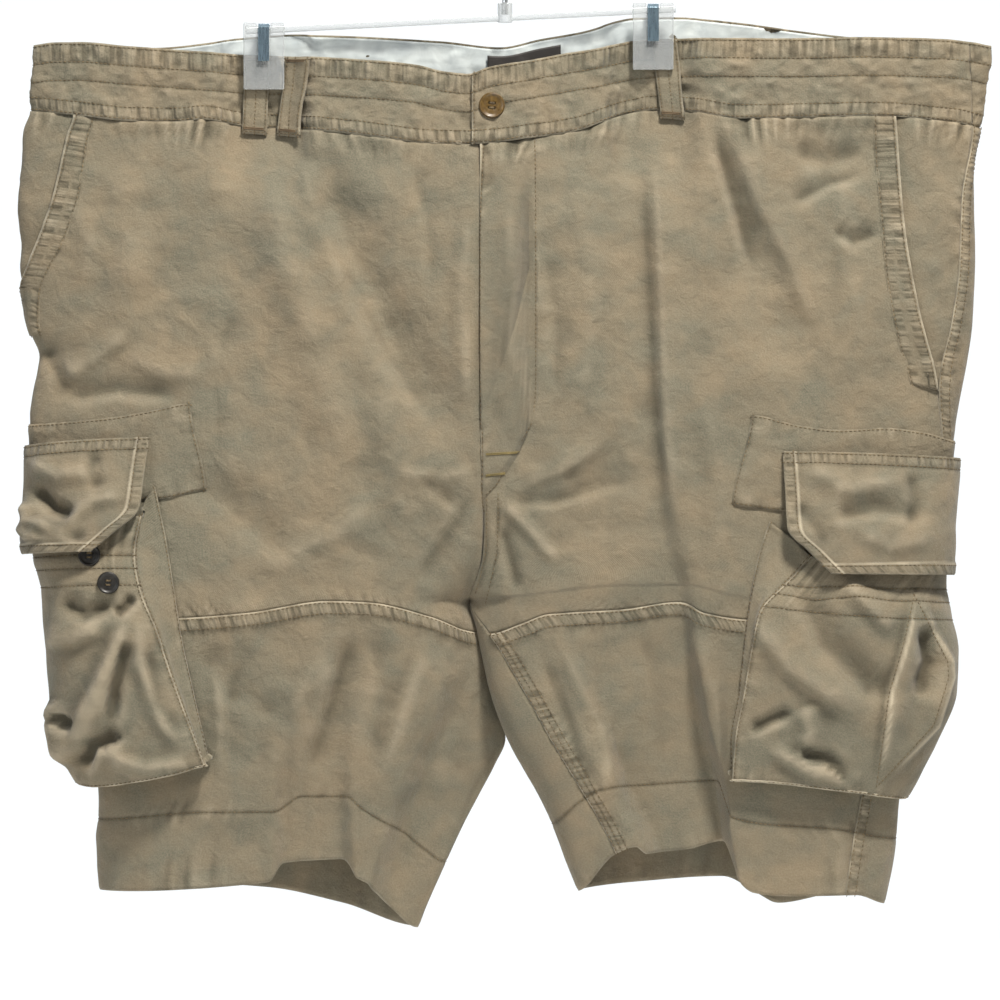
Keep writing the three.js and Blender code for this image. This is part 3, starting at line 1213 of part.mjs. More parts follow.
// Each clip: two clear jaws with levers above the cloth, notched for the steel spring that bends over them
for (const clip of CLIPS) {
  const group = new THREE.Group();
  group.position.set(clip.x, 0, WAIST_Z);
  shorts.add(group);
  const topZ = -clip.top;
  const footZ = -clip.jawBottom;
  const bandZ = -clip.bandTop;
  const springFoot = topZ - SPRING.reach;
  for (const [side, face] of [['front', -1], ['back', 1]]) {
    const grip = clip[side];
    const leverIn = grip + face * JAW.leverLean;
    const outline = [
      [grip, footZ], [grip, bandZ], [leverIn, topZ], [leverIn + face * JAW.leverThick, topZ],
      [grip + face * (JAW.thick + JAW.shoulder), bandZ], [grip + face * JAW.thick, footZ],
    ];
    const notchIn = grip - face * NOTCH.inward;
    const notchOut = grip + face * NOTCH.outward;
    const notch = slab([
      [notchIn, topZ - NOTCH.depth], [notchIn, topZ + NOTCH.above],
      [notchOut, topZ + NOTCH.above], [notchOut, topZ - NOTCH.depth],
    ], NOTCH.width);
    const jaw = fromSolid(toSolid(slab(outline, JAW.width)).subtract(toSolid(notch)));
    const mesh = addPiece(`clip_${clip.name}_jaw_${side}`, jaw, 'clear');
    group.add(mesh);
  }
  const out = JAW.leverLean + JAW.leverThick + LAY_GAP;
  const frontOut = clip.front - out;
  const backOut = clip.back + out;
  const top = topZ - SPRING.top;
  const under = top - SPRING.thick;
  const { corner, bend, thick } = SPRING;
  const spring = [
    [frontOut - thick, springFoot], [frontOut - thick, top - corner], [frontOut + corner, top],
    [backOut - corner, top], [backOut + thick, top - corner], [backOut + thick, springFoot],
    [backOut, springFoot], [backOut, top - bend], [backOut - bend, under],
    [frontOut + bend, under], [frontOut, top - bend], [frontOut, springFoot],
  ];
  group.add(addPiece(`clip_${clip.name}_spring`, slab(spring, SPRING.width), 'steel'));
}

// The bar between the clips, with a boss at its middle that is bored for the hook's shank
const barLength = BAR.rightX - BAR.leftX;
const barTilt = Math.atan(BAR.slope);
const rod = new THREE.CylinderGeometry(BAR.radius, BAR.radius, barLength / Math.cos(barTilt), BAR.sides);
rod.rotateZ(Math.PI / 2);
rod.translate((BAR.leftX + BAR.rightX) / 2, 0, 0);
rod.rotateY(-barTilt);
rod.translate(0, 0, BAR.z);
const upright = (radius, height, low) => {
  const cylinder = new THREE.CylinderGeometry(radius, radius, height, BOSS.sides);
  cylinder.rotateX(Math.PI / 2);
  return cylinder.translate(0, 0, low + height / 2);
};
const bossLow = BAR.z - BAR.radius - BOSS.foot;
const boreLow = BAR.z + BAR.radius;
const barSolid = toSolid(rod)
  .add(toSolid(upright(BOSS.radius, BOSS.height, bossLow)))
  .subtract(toSolid(upright(BOSS.bore, BOSS.height, boreLow)));
addPiece('hanger_bar', fromSolid(barSolid), 'clear');

// The wire hook: up from the boss, out to one side, over the rod and down to its tip
const bendRadius = HOOK.bend + HOOK.wire;
const onBend = (angle) => new THREE.Vector3(
  Math.cos(angle) * bendRadius, 0, Math.sin(angle) * bendRadius - HOOK.bend,
);
const BEND = { start: -0.7, end: Math.PI + 0.35, spots: 11, shankTop: -49 };
const hookSpots = [
  new THREE.Vector3(0, 0, boreLow + LAY_GAP),
  new THREE.Vector3(0, 0, (boreLow + BEND.shankTop) / 2),
  new THREE.Vector3(0, 0, BEND.shankTop),
  new THREE.Vector3(HOOK.sway, 0, BEND.shankTop + HOOK.swayUp),
  ...Array.from({ length: BEND.spots }, (_, index) => (
    onBend(mix(BEND.start, BEND.end, index / (BEND.spots - 1)))
  )),
];
const wireSection = new THREE.Shape(Array.from({ length: HOOK.sides }, (_, index) => {
  const angle = (index / HOOK.sides) * Math.PI * 2;
  return new THREE.Vector2(Math.cos(angle) * HOOK.wire, Math.sin(angle) * HOOK.wire);
}));
addPiece('hanger_hook', new THREE.ExtrudeGeometry(wireSection, {
  steps: HOOK.steps, bevelEnabled: false, extrudePath: new THREE.CatmullRomCurve3(hookSpots),
}), 'steel');

export default shorts;
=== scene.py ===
"""Washed khaki cargo shorts hung from two clips, dressed in cloth, thread, plastic and steel.

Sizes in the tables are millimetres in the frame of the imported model: x to the viewer's right, y away
from the viewer, and a drop measured down from the waist line. Meshes are made in metres.
"""

import json
import logging
import math
from dataclasses import dataclass, field
from enum import Enum
from typing import Callable, Sequence

import bmesh
import bpy
import numpy as np
from mathutils import Matrix, Vector
from mathutils.bvhtree import BVHTree

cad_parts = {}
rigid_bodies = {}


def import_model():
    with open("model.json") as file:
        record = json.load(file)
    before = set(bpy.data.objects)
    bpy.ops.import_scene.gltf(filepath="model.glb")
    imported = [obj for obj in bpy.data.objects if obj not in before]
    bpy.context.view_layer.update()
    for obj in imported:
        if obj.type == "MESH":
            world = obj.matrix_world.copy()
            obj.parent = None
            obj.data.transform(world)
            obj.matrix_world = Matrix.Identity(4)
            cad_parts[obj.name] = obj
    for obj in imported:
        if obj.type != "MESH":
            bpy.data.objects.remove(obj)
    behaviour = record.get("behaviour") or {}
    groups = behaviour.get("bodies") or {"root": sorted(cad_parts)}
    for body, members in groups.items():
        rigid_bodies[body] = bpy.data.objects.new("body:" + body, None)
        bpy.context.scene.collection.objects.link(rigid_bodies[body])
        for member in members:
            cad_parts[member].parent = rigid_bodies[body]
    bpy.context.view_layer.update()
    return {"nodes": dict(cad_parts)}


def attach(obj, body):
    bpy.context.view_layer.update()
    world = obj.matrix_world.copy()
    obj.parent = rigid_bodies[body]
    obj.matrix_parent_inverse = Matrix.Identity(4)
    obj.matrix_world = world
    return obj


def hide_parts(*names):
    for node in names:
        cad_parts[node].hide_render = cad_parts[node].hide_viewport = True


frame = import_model()

LOG = logging.getLogger("shorts")
Array = np.ndarray
Line = Callable[[Array], Array]

WAIST_Z = -101.0
PIXEL = 0.68
PHOTO_CENTRE = (505.0, 45.0)
METRES = 0.001
FAR = 300.0
PANEL, BAND, OVERLAY, FLAP, POUCH, FACING, LOOP = 1.6, 2.4, 1.2, 2.0, 1.5, 0.8, 1.5
LAY_GAP = 0.35
THREAD_LIFT = 0.15
LAY_REACH = 12.0
GROOVE_DEPTH, GROOVE_SHADE = 0.38, 0.55
SECTION_POWER = 2.5
CROTCH_DROP = 377.5
RISE_START = 225.0
FULL_DEPTH = 36.0
FINE, PLAIN = 2.3, 3.4
FRONT, BACK = -1, 1
CREASE_GAIN = 2.1
CREASE_FADE = (0.22, 0.72)
CREASE_LEAST = 0.12
SEEK_ROUNDS = 16
INNER_ZONE = (0.02, 0.22)
ROOM_GAIN = 1.2
CROTCH_SLACK = 0.6
LINE_STEPS, AREA_STEPS = 512, 64


def spot(px: float, py: float) -> tuple[float, float]:
    """A place seen at a pixel of the front view, as its x and drop."""
    return (px - PHOTO_CENTRE[0]) * PIXEL, (py - PHOTO_CENTRE[1]) * PIXEL


def smooth(low: Array, high: Array, value: Array) -> Array:
    """A soft step from 0 at low to 1 at high."""
    u = np.clip((value - low) / (high - low), 0.0, 1.0)
    return (3.0 - 2.0 * u) * u * u


def mix(a: Array, b: Array, share: Array) -> Array:
    """The value that lies at a share of the way from a to b."""
    return a + (b - a) * share


def arc_lengths(line: Array) -> Array:
    """Length of a line up to each of its points."""
    return np.concatenate([[0], np.cumsum(np.linalg.norm(np.diff(line, axis=0), axis=1))])


def longest(rows: Sequence[Array]) -> float:
    """Length of the longest of some rows of points."""
    return max(np.linalg.norm(np.diff(row, axis=0), axis=-1).sum() for row in rows)


class Table:
    """Rows of numbers under column names, read as smooth curves over the first column."""

    def __init__(self, names: str, *rows: Sequence[float]) -> None:
        """Keeps the rows.

        Args:
            names: the columns' names, parted by blanks.
            rows: one row of numbers for each place along the first column.
        """
        self.names = names.split()
        self.rows = np.array(rows, float)

    def curve(self, name: str) -> Line:
        """A curve through one column that never overshoots its rows.

        Args:
            name: the column that the curve reads.

        Returns:
            A function from the first column's value to this column's.
        """
        x, y = self.rows[:, 0], self.rows[:, self.names.index(name)]
        slopes = np.zeros_like(y)
        rate = np.diff(y) / np.diff(x)
        left, right = rate[:-1], rate[1:]
        rising = left * right > 0
        slopes[1:-1][rising] = 2 * left[rising] * right[rising] / (left + right)[rising]

        def read(value: Array) -> Array:
            """The column's value at a place."""
            place = np.clip(value, x[0], x[-1])
            index = np.clip(np.searchsorted(x, place) - 1, 0, len(x) - 2)
            span = x[index + 1] - x[index]
            u = (place - x[index]) / span
            rise = (3 - 2 * u) * u * u
            ease = slopes[index] * u * (1 - u) ** 2 - slopes[index + 1] * u * u * (1 - u)
            return y[index] + (y[index + 1] - y[index]) * rise + span * ease

        return read


# Outer edges of the shorts seen from the front
SIDES = Table(
    "drop left right",
    (-20, -320, 331), (0, -321, 330.5), (46, -323, 326.5), (60, -326.5, 323), (82, -328.5, 319.5),
    (110, -330, 320), (140, -330.5, 320), (165, -328, 319), (192, -323.5, 317.5), (214, -316.5, 314),
    (232, -319.5, 310.5), (252, -322.5, 307), (273, -321.5, 304.5), (309, -316, 300),
    (350, -307, 294), (391, -298.5, 287), (445, -287.5, 278), (512, -276.5, 267.5),
    (548, -277.5, 264), (584, -275.5, 257), (620, -274, 250),
)
# Centre line down to the crotch, then the inner edge of each leg
INNER = Table(
    "drop left right",
    (-20, -20, -20), (20, -20, -20), (70, -17, -17), (200, -17, -17), (325, -14.5, -14.5),
    (347, -15.5, -15.5), (362, -18.6, -19.4), (377.5, -23.6, -24.8), (399, -17.2, -19.2),
    (421, -12.2, -14.4), (443, -6.8, -8.8), (462, -1.4, -2.2), (472, 0.4, 2), (490, -7, 11), (509, -17, 22),
    (530, -28, 32.5), (556, -40, 42), (601, -59, 60), (640, -70, 75),
)
# Depth of front and back from the middle plane, of each leg, and of each leg's inner edge
DEPTH = Table(
    "drop front back leg inner_left inner_right",
    (-20, 13, 11, 13, 0, 0), (0, 14, 12, 14, 0, 0), (50, 17, 16, 18, 0, 0), (110, 25, 23, 26, 0, 0),
    (200, 32, 30, 32, 0, 0), (300, 36, 34, 35, 0, 0), (378, 38, 36, 36, 0, 0),
    (421, 38, 36, 36, 6, -2), (472, 38, 36, 35, 13, -3), (556, 38, 36, 33, 15, -3),
    (640, 38, 36, 32, 15, -3),
)
LEVELS = ("waist", "band", "patch_top", "patch_bottom", "crotch", "thigh", "hem_stitch", "hem")
WAIST, BAND_SEAM, PATCH_TOP, PATCH_BOTTOM, CROTCH, THIGH, HEM_STITCH, HEM = range(8)
FRONT_LEVELS = (
    Table("x drop", (-330, 1), (-305, -1.4), (-289, -1.4), (-256, 1.4), (-222, 4), (-179, 6.8),
          (-131, 8.8), (-94, 11), (-62, 14), (-40, 19), (-24, 20.5), (-10, 16), (16, 11.6),
          (37, 7.5), (65, 2.7), (89, -2.7), (119, -4), (201, -3.7), (244, -4.6), (296, -3.7),
          (318, -1.4), (332, 0.7)),
    Table("x drop", (-330, 45), (-292, 48.3), (-256, 52.4), (-222, 53), (-205, 51.5), (-181, 55),
          (-135, 58.5), (-94, 62.6), (-51, 68), (-20, 68.6), (21, 64), (51, 59), (65, 53.7),
          (84, 47), (103, 44.2), (124, 45.6), (160, 51), (201, 50.3), (249, 49), (305, 53),
          (330, 57.5)),
    Table("x drop", (-330, 258), (-270, 254), (-239, 249), (-212, 244), (-120, 250), (-14, 262),
          (40, 262), (120, 254), (166, 252), (199, 259), (226, 262), (256, 260.5), (281, 263),
          (312, 270)),
    Table("x drop", (-330, 311), (-232, 309), (-202, 303), (-120, 300), (-14, 305), (60, 305),
          (153, 313), (188, 317), (312, 320)),
    Table("x drop", (-330, 376), (-220, 375), (-119, 365), (-51, 371), (-24.6, 377.5), (11, 373),
          (80, 366), (124, 366), (164, 374), (300, 376)),
    Table("x drop", (-330, 391), (-220, 389), (-171, 385), (-119, 377.5), (-92, 378.5), (-51, 388),
          (-20, 399), (-11, 400), (11, 393), (29, 386.5), (80, 383.5), (116, 378.5), (136, 386),
          (164, 390), (300, 391)),
    Table("x drop", (-330, 527), (-276, 526), (-199, 520), (-155, 520), (-138, 510), (-107, 510),
          (-98, 517), (-86, 525), (-71, 533), (-56, 546), (-40, 556), (32.5, 529), (50, 513.5),
          (67, 504), (100, 502), (143, 499.5), (152, 523), (180, 528.5), (218, 531), (270, 539)),
    Table("x drop", (-330, 573), (-270, 574), (-159, 567.5), (-150, 555), (-111, 553), (-102, 564),
          (-90, 571), (-75, 589), (-59, 601), (49, 575), (73, 549.5), (88.5, 543.5), (97, 548),
          (123, 546), (147, 540.5), (157, 566), (168, 574.5), (190, 577), (237, 576.5),
          (262, 584)),
)
BACK_LEVELS = (
    Table("x drop", (-330, 1), (-241, 1.5), (-179, -4.8), (-136, -7.5), (-44, -3.4), (-3, 0.7),
          (24, -4.8), (51, -9.5), (89, -18.4), (119, -19), (160, -15.6), (201, -10), (245, -5),
          (332, 0.7)),
    Table("x drop", (-330, 45), (-241, 51), (-179, 45), (-136, 43), (-44, 47), (-3, 51), (51, 41),
          (89, 33), (119, 32), (160, 36), (201, 41), (245, 46), (330, 57.5)),
    Table("x drop", (-330, 258), (-200, 256), (0, 252), (200, 262), (312, 270)),
    Table("x drop", (-330, 311), (-200, 310), (0, 308), (200, 316), (312, 320)),
    Table("x drop", (-330, 376), (-24.6, 377.5), (300, 376)),
    Table("x drop", (-330, 391), (-20, 399), (-11, 400), (300, 391)),
    Table("x drop", (-330, 527), (-200, 524), (-110, 536), (-40, 556), (32.5, 529), (120, 521),
          (190, 538), (270, 539)),
    Table("x drop", (-330, 573), (-218, 571.5), (-164, 574.5), (-112, 585.5), (-59, 601), (49, 575),
          (84, 571), (149, 567), (173, 579), (187, 585.5), (232, 578), (262, 584)),
)
# Lines of the long folds, and how deep the cloth beside each lies back
FOLD_LINES = {
    "left_crease": Table("drop x", (0, -55), (250, -45), (350, -36), (378, -32), (396, -31),
                         (421, -38.8), (456, -52.4), (492, -67), (522, -79.6), (566, -90.4),
                         (620, -100)),
    "left_tuck_inner": Table("drop x", (0, -108), (450, -108), (620, -105)),
    "left_tuck_outer": Table("drop x", (0, -150), (450, -152), (620, -154)),
    "fly_stitch": Table("drop x", (0, 15), (64, 21.5), (262, 22.4), (330, 26), (390, 32), (410, 38),
                        (430, 40), (459, 45), (475, 52), (500, 66.6), (520, 75.5), (543, 88.4),
                        (620, 110)),
    "tuck_floor": Table("drop x", (0, 58), (350, 62), (430, 62), (475, 70), (543, 100), (620, 122)),
    "long_fold": Table("drop x", (0, 101), (58, 102), (296, 109), (350, 121), (394, 127),
                       (461, 136), (498, 146), (553, 153.5), (620, 165)),
}
FOLD_DEPTHS = Table(
    "drop crease hem_tuck right_tuck edge",
    (50, 0, 0, 0, 22), (120, 0, 0, 3, 18), (300, 0, 0, 6, 12), (378, 2, 0, 9, 9), (420, 12, 0, 14, 8),
    (470, 20, 3, 18, 7), (520, 22, 10, 22, 6), (584, 22, 13, 24, 6), (640, 22, 13, 24, 6),
)
FOLD_EASE = {"crease": 18.0, "before": 5.0, "past": 7.0, "edge": 0.4}
# Soft creases that the plain solid has too: face, x and drop at both ends, width, rise
SOFT_CREASES = (
    (FRONT, -150, 66, -109, 170, 9, 3.2), (FRONT, -118, 80, -20, 292, 20, -4),
    (FRONT, -207, 120, -264, 236, 15, -4.5), (FRONT, -238, 95, -286, 190, 12, -3),
    (FRONT, 146, 66, 196, 236, 15, -4), (FRONT, 60, 90, 30, 330, 18, 3),
    (FRONT, 215, 90, 232, 240, 14, 3), (BACK, -190, 60, -150, 560, 26, -6),
    (BACK, -100, 60, -92, 600, 20, 5), (BACK, 60, 60, 110, 590, 24, -6),
    (BACK, 150, 60, 185, 600, 22, 5), (BACK, -60, 250, -25, 372, 14, -4),
    (BACK, 20, 250, -18, 372, 14, -4),
)
CLIP_X = {"left": -163.5, "right": 100.5}
PINCH = {"front": 3.2, "back": 4.4, "reach": 28.0, "power": 6, "holds": 36.0, "gone": 130.0}

LEFT_SEAM_INSET = -2.6
LEFT_SLANT = Table("drop inset", (40, 30.5), (97, 24.5), (121, 18), (147, 8), (165, 0), (196, -2.6),
                   (640, -2.6)).curve("inset")
LEFT_WELT = Table("drop inset", (40, 45), (91, 43), (133, 32.5), (169, 13), (196, 8), (260, 14),
                  (640, 20)).curve("inset")
RIGHT_SEAM = Table("drop x", (0, 316), (57, 317.5), (104, 310), (151, 308), (187, 303), (232, 294),
                   (281, 297), (400, 268.5), (513, 240), (571, 230.5), (640, 222)).curve("x")
RIGHT_SLANT = Table("drop x", (40, 264), (51, 265), (120, 270), (180, 280), (231, 292.5),
                    (281, 297), (400, 268.5), (513, 240), (571, 230.5), (640, 222)).curve("x")
RIGHT_WELT = Table("drop x", (40, 249.5), (73, 250), (120, 254), (158, 257), (200, 265),
                   (235, 275), (281, 279), (400, 250), (513, 222), (640, 200)).curve("x")
RIGHT_INSEAM = Table("drop x", (377.5, -24.2), (402, -9), (441, 14), (475, 33), (503, 50),
                     (524, 62.5), (549, 75), (640, 115)).curve("x")
PATCH_EDGE = {
    "left": Table("drop x", (0, -196), (244, -212), (303, -202), (640, -206)).curve("x"),
    "right": Table("drop x", (0, 172), (252, 166), (313, 153), (377, 165), (640, 196)).curve("x"),
}
REAR_INSET = {"left": 96.0, "right": 88.0}
SLANT_END = {"left": PATCH_TOP - 2 / 7, "right": PATCH_TOP - 1 / 7}


class Form:
    """The master surface that every piece of the shorts is cut from."""

    def __init__(self) -> None:
        """Reads the tables as curves."""
        self.side = {name: SIDES.curve(name) for name in ("left", "right")}
        self.inner = {name: INNER.curve(name) for name in ("left", "right")}
        self.depth = {name: DEPTH.curve(name) for name in DEPTH.names[1:]}
        self.fold = {name: table.curve("x") for name, table in FOLD_LINES.items()}
        self.fold_depth = {name: FOLD_DEPTHS.curve(name) for name in FOLD_DEPTHS.names[1:]}
        self.levels = {
            FRONT: [table.curve("drop") for table in FRONT_LEVELS],
            BACK: [table.curve("drop") for table in BACK_LEVELS],
        }

    def drop(self, face: int, v: Array, x: Array) -> Array:
        """Drop of level v at x on one face; v may fall between two level lines."""
        v, x = np.broadcast_arrays(np.asarray(v, float), np.asarray(x, float))
        index = np.clip(np.floor(v).astype(int), 0, len(LEVELS) - 2)
        drops = np.array([curve(x) for curve in self.levels[face]])
        low = np.take_along_axis(drops, index[None], 0)[0]
        high = np.take_along_axis(drops, index[None] + 1, 0)[0]
        return mix(low, high, v - index)

    @staticmethod
    def leg_share(drop: Array) -> Array:
        """How far the crotch curve has come in to the middle plane, 0 to 1."""
        fall = np.clip((drop - RISE_START) / (CROTCH_DROP - RISE_START), 0, 1)
        return 1 - np.sqrt(1 - fall * fall)

    @staticmethod
    def fullness(t: Array) -> Array:
        """A section's fullness, 0 at its two ends and 1 over most of its width."""
        away = np.abs(2 * np.clip(t, 0, 1) - 1)
        return (1 - away**SECTION_POWER) ** (1 / SECTION_POWER)

    @staticmethod
    def pinch(x: Array, drop: Array) -> Array:
        """How strongly the clips press at a place, 0 to 1."""
        fade = 1 - smooth(PINCH["holds"], PINCH["gone"], drop)
        press = [np.exp(-((np.abs(x - at) / PINCH["reach"]) ** PINCH["power"])) for at in CLIP_X.values()]
        return np.maximum(*press) * fade

    @staticmethod
    def soft_rise(face: int, x: Array, drop: Array) -> Array:
        """Rise of the soft creases on one face."""
        rise = np.zeros_like(x)
        for side, x0, drop0, x1, drop1, width, height in SOFT_CREASES:
            if side != face:
                continue
            dx, dd = x1 - x0, drop1 - drop0
            length = math.hypot(dx, dd)
            along = ((x - x0) * dx + (drop - drop0) * dd) / length**2
            across = ((x - x0) * dd - (drop - drop0) * dx) / length
            ends = smooth(-0.05, 0.25, along) * (1 - smooth(0.75, 1.05, along))
            rise = rise + height * ends * np.exp(-((across / width) ** 2))
        return rise

    def fold_fall(self, half: str, x: Array, drop: Array) -> Array:
        """How far the stretches beside the long folds lie back from the front."""
        depth = self.fold_depth
        if half == "left":
            line = self.fold["left_crease"](drop)
            crease = depth["crease"](drop) * smooth(line, line + FOLD_EASE["crease"], x)
            inner, outer = self.fold["left_tuck_inner"](drop), self.fold["left_tuck_outer"](drop)
            tuck_in = smooth(inner + FOLD_EASE["before"], inner - FOLD_EASE["past"], x)
            tuck_out = smooth(outer - FOLD_EASE["before"], outer + FOLD_EASE["past"], x)
            return crease + depth["hem_tuck"](drop) * tuck_in * tuck_out
        edge = depth["edge"](drop)
        rise = smooth(self.fold["fly_stitch"](drop), self.fold["tuck_floor"](drop) + edge, x)
        line = self.fold["long_fold"](drop)
        return depth["right_tuck"](drop) * rise * smooth(line + edge * FOLD_EASE["edge"], line - edge, x)

    def depth_at(self, face: int, x: Array, drop: Array, half: str) -> Array:
        """Depth y of the cloth's outer surface on one face of one half."""
        x, drop = np.broadcast_arrays(np.asarray(x, float), np.asarray(drop, float))
        left, right = self.side["left"](drop), self.side["right"](drop)
        whole = self.fullness((x - left) / (right - left))
        outer, inner = self.side[half](drop), self.inner[half](drop)
        t = np.clip((x - inner) / (outer - inner), 0, 1)
        share = mix(self.leg_share(drop), smooth(RISE_START, CROTCH_DROP, drop), smooth(*INNER_ZONE, t))
        whole_depth = self.depth["front" if face < 0 else "back"](drop)
        pinched = PINCH["front" if face < 0 else "back"]
        pinch = self.pinch(x, drop)
        tube = mix(whole_depth * whole, np.minimum(pinched, whole_depth * whole), pinch)
        leg_depth = self.depth["leg"](drop) * self.fullness(t)
        middle = self.depth[f"inner_{half}"](drop) * (1 - t) ** 2
        body = mix(tube, leg_depth, share)
        whole_room, leg_room = (np.clip(full * ROOM_GAIN, 0, 1) for full in (whole, self.fullness(t)))
        room = mix(whole_room, leg_room, share) * (1 - pinch)
        rise = self.soft_rise(face, x, drop) * room
        if face < 0:
            full = np.maximum(np.maximum(leg_depth, whole_depth), FULL_DEPTH)
            body = body * (1 - self.fold_fall(half, x, drop) / full)
        return middle + face * (body + rise)

    def edges(self, half: str, v: Array) -> tuple[Array, Array]:
        """Outer and inner edge of one half at level v."""
        v = np.asarray(v, float)
        outer = np.full(v.shape, float(self.side[half](0.0)))
        inner = np.full(v.shape, float(self.inner[half](0.0)))
        for _ in range(SEEK_ROUNDS):
            outer = mix(outer, self.side[half](self.drop(FRONT, v, outer)), 0.7)
            inner = mix(inner, self.inner[half](self.drop(FRONT, v, inner)), 0.6)
        return outer, inner

    def place(self, half: str, q: Array, v: Array) -> Array:
        """A place on one half.

        Args:
            half: left or right, as the viewer sees it.
            q: 0 at the centre front or a leg's inner edge, 1 at the outer side, 2 at the centre back.
            v: level, counted in level lines from the waist.

        Returns:
            Points with their x, y and z in the last axis.
        """
        level = np.asarray(v, float)
        outer, inner = self.edges(half, level)
        inner_drop = self.drop(FRONT, level, inner)
        outer_miss = self.drop(FRONT, level, outer) - self.drop(BACK, level, outer)
        inner_miss = inner_drop - self.drop(BACK, level, inner)
        q, v = np.broadcast_arrays(np.asarray(q, float), level)
        turn = np.where(inner_drop > CROTCH_DROP - CROTCH_SLACK, np.mod(q, 2.0), np.clip(q, 0, 2))
        t = (1 - np.cos(np.pi * turn)) / 2
        x = inner + (outer - inner) * t
        front = turn <= 1
        back_drop = self.drop(BACK, v, x)
        back_drop = back_drop + outer_miss * t**4 + inner_miss * (1 - t) ** 4 * self.leg_share(inner_drop)
        drop = np.where(front, self.drop(FRONT, v, x), back_drop)
        y = np.where(front, self.depth_at(FRONT, x, drop, half), self.depth_at(BACK, x, drop, half))
        return np.stack([x, y, WAIST_Z - drop], -1)

    def line_q(self, half: str, v: Array, line: Line) -> Array:
        """q where level v crosses a line given by x over drop."""
        outer, inner = self.edges(half, v)
        drop = self.drop(FRONT, v, mix(inner, outer, 0.5))
        for _ in range(SEEK_ROUNDS):
            drop = mix(drop, self.drop(FRONT, v, line(drop)), 0.4)
        t = np.clip((line(drop) - inner) / (outer - inner), 0, 1)
        return np.arccos(1 - 2 * t) / np.pi

    def inset_q(self, half: str, v: Array, inset: Array) -> Array:
        """q of a place set in from the outer side; a negative inset lies on the back."""
        outer, inner = self.edges(half, v)
        t = 1 - np.abs(inset) / np.abs(outer - inner)
        q = np.arccos(1 - 2 * t) / np.pi
        return np.where(np.asarray(inset) >= 0, q, 2 - q)

    def inset_line_q(self, half: str, v: Array, line: Line) -> Array:
        """q of a line given by its inset from the outer side over drop."""
        outer, _ = self.edges(half, v)
        return self.inset_q(half, v, line(self.drop(FRONT, v, outer)))

    def across(self, face: int, x: Array, v: Array) -> Array:
        """Points on one face, from x and level, both arrays of one shape."""
        x, v = np.broadcast_arrays(np.asarray(x, float), np.asarray(v, float))
        drop = self.drop(face, v, x)
        left = self.depth_at(face, x, drop, "left")
        right = self.depth_at(face, x, drop, "right")
        y = np.where(x < float(self.inner["left"](0.0)), left, right)
        return np.stack([x, y, WAIST_Z - drop], -1)


def unit(vectors: Array) -> Array:
    """Vectors brought to length 1."""
    return vectors / np.maximum(np.linalg.norm(vectors, axis=-1, keepdims=True), 1e-9)


class Noise:
    """Smooth random wandering along a line or over an area, the same on each run."""

    def __init__(self, seed: int) -> None:
        """Draws the lattice from a seed."""
        draw = np.random.default_rng(seed)
        self.row = draw.uniform(-1, 1, LINE_STEPS)
        self.lattice = draw.uniform(-1, 1, (AREA_STEPS, AREA_STEPS))

    def line(self, s: Array) -> Array:
        """Noise along a line whose lattice step is 1."""
        base = np.floor(s).astype(int)
        u = s - base
        u = u * u * (3 - 2 * u)
        return mix(self.row[base % LINE_STEPS], self.row[(base + 1) % LINE_STEPS], u)

    def area(self, x: Array, y: Array) -> Array:
        """Noise over an area whose lattice step is 1."""
        i, j = np.floor(x).astype(int), np.floor(y).astype(int)
        u, w = x - i, y - j
        u, w = u * u * (3 - 2 * u), w * w * (3 - 2 * w)
        (i0, i1), (j0, j1) = ((step % AREA_STEPS, (step + 1) % AREA_STEPS) for step in (i, j))
        near = mix(self.lattice[i0, j0], self.lattice[i1, j0], u)
        return mix(near, mix(self.lattice[i0, j1], self.lattice[i1, j1], u), w)


@dataclass(frozen=True)
class Edge:
    """How one border of a piece is finished; lengths in millimetres.

    Attributes:
        rows: distances of the stitch rows from the border.
        lift: how far the doubled border strip stands proud.
        width: width of that strip.
        pucker: height of the short puckers that the stitching draws up.
        pitch: their usual spacing.
        reach: how far they run in from the border.
        worn: how pale the folded border has worn, 0 to 1.
        lip: how pale the strip's inner fold has worn, 0 to 1.
        ribs: strength of the gathered ribs between two stitch rows, and where they start and end.
    """

    rows: tuple[float, ...] = ()
    lift: float = 0.0
    width: float = 9.0
    pucker: float = 0.0
    pitch: float = 7.0
    reach: float = 9.0
    worn: float = 0.0
    lip: float = 0.0
    ribs: tuple[float, float, float] = (0.0, 0.0, 1.0)


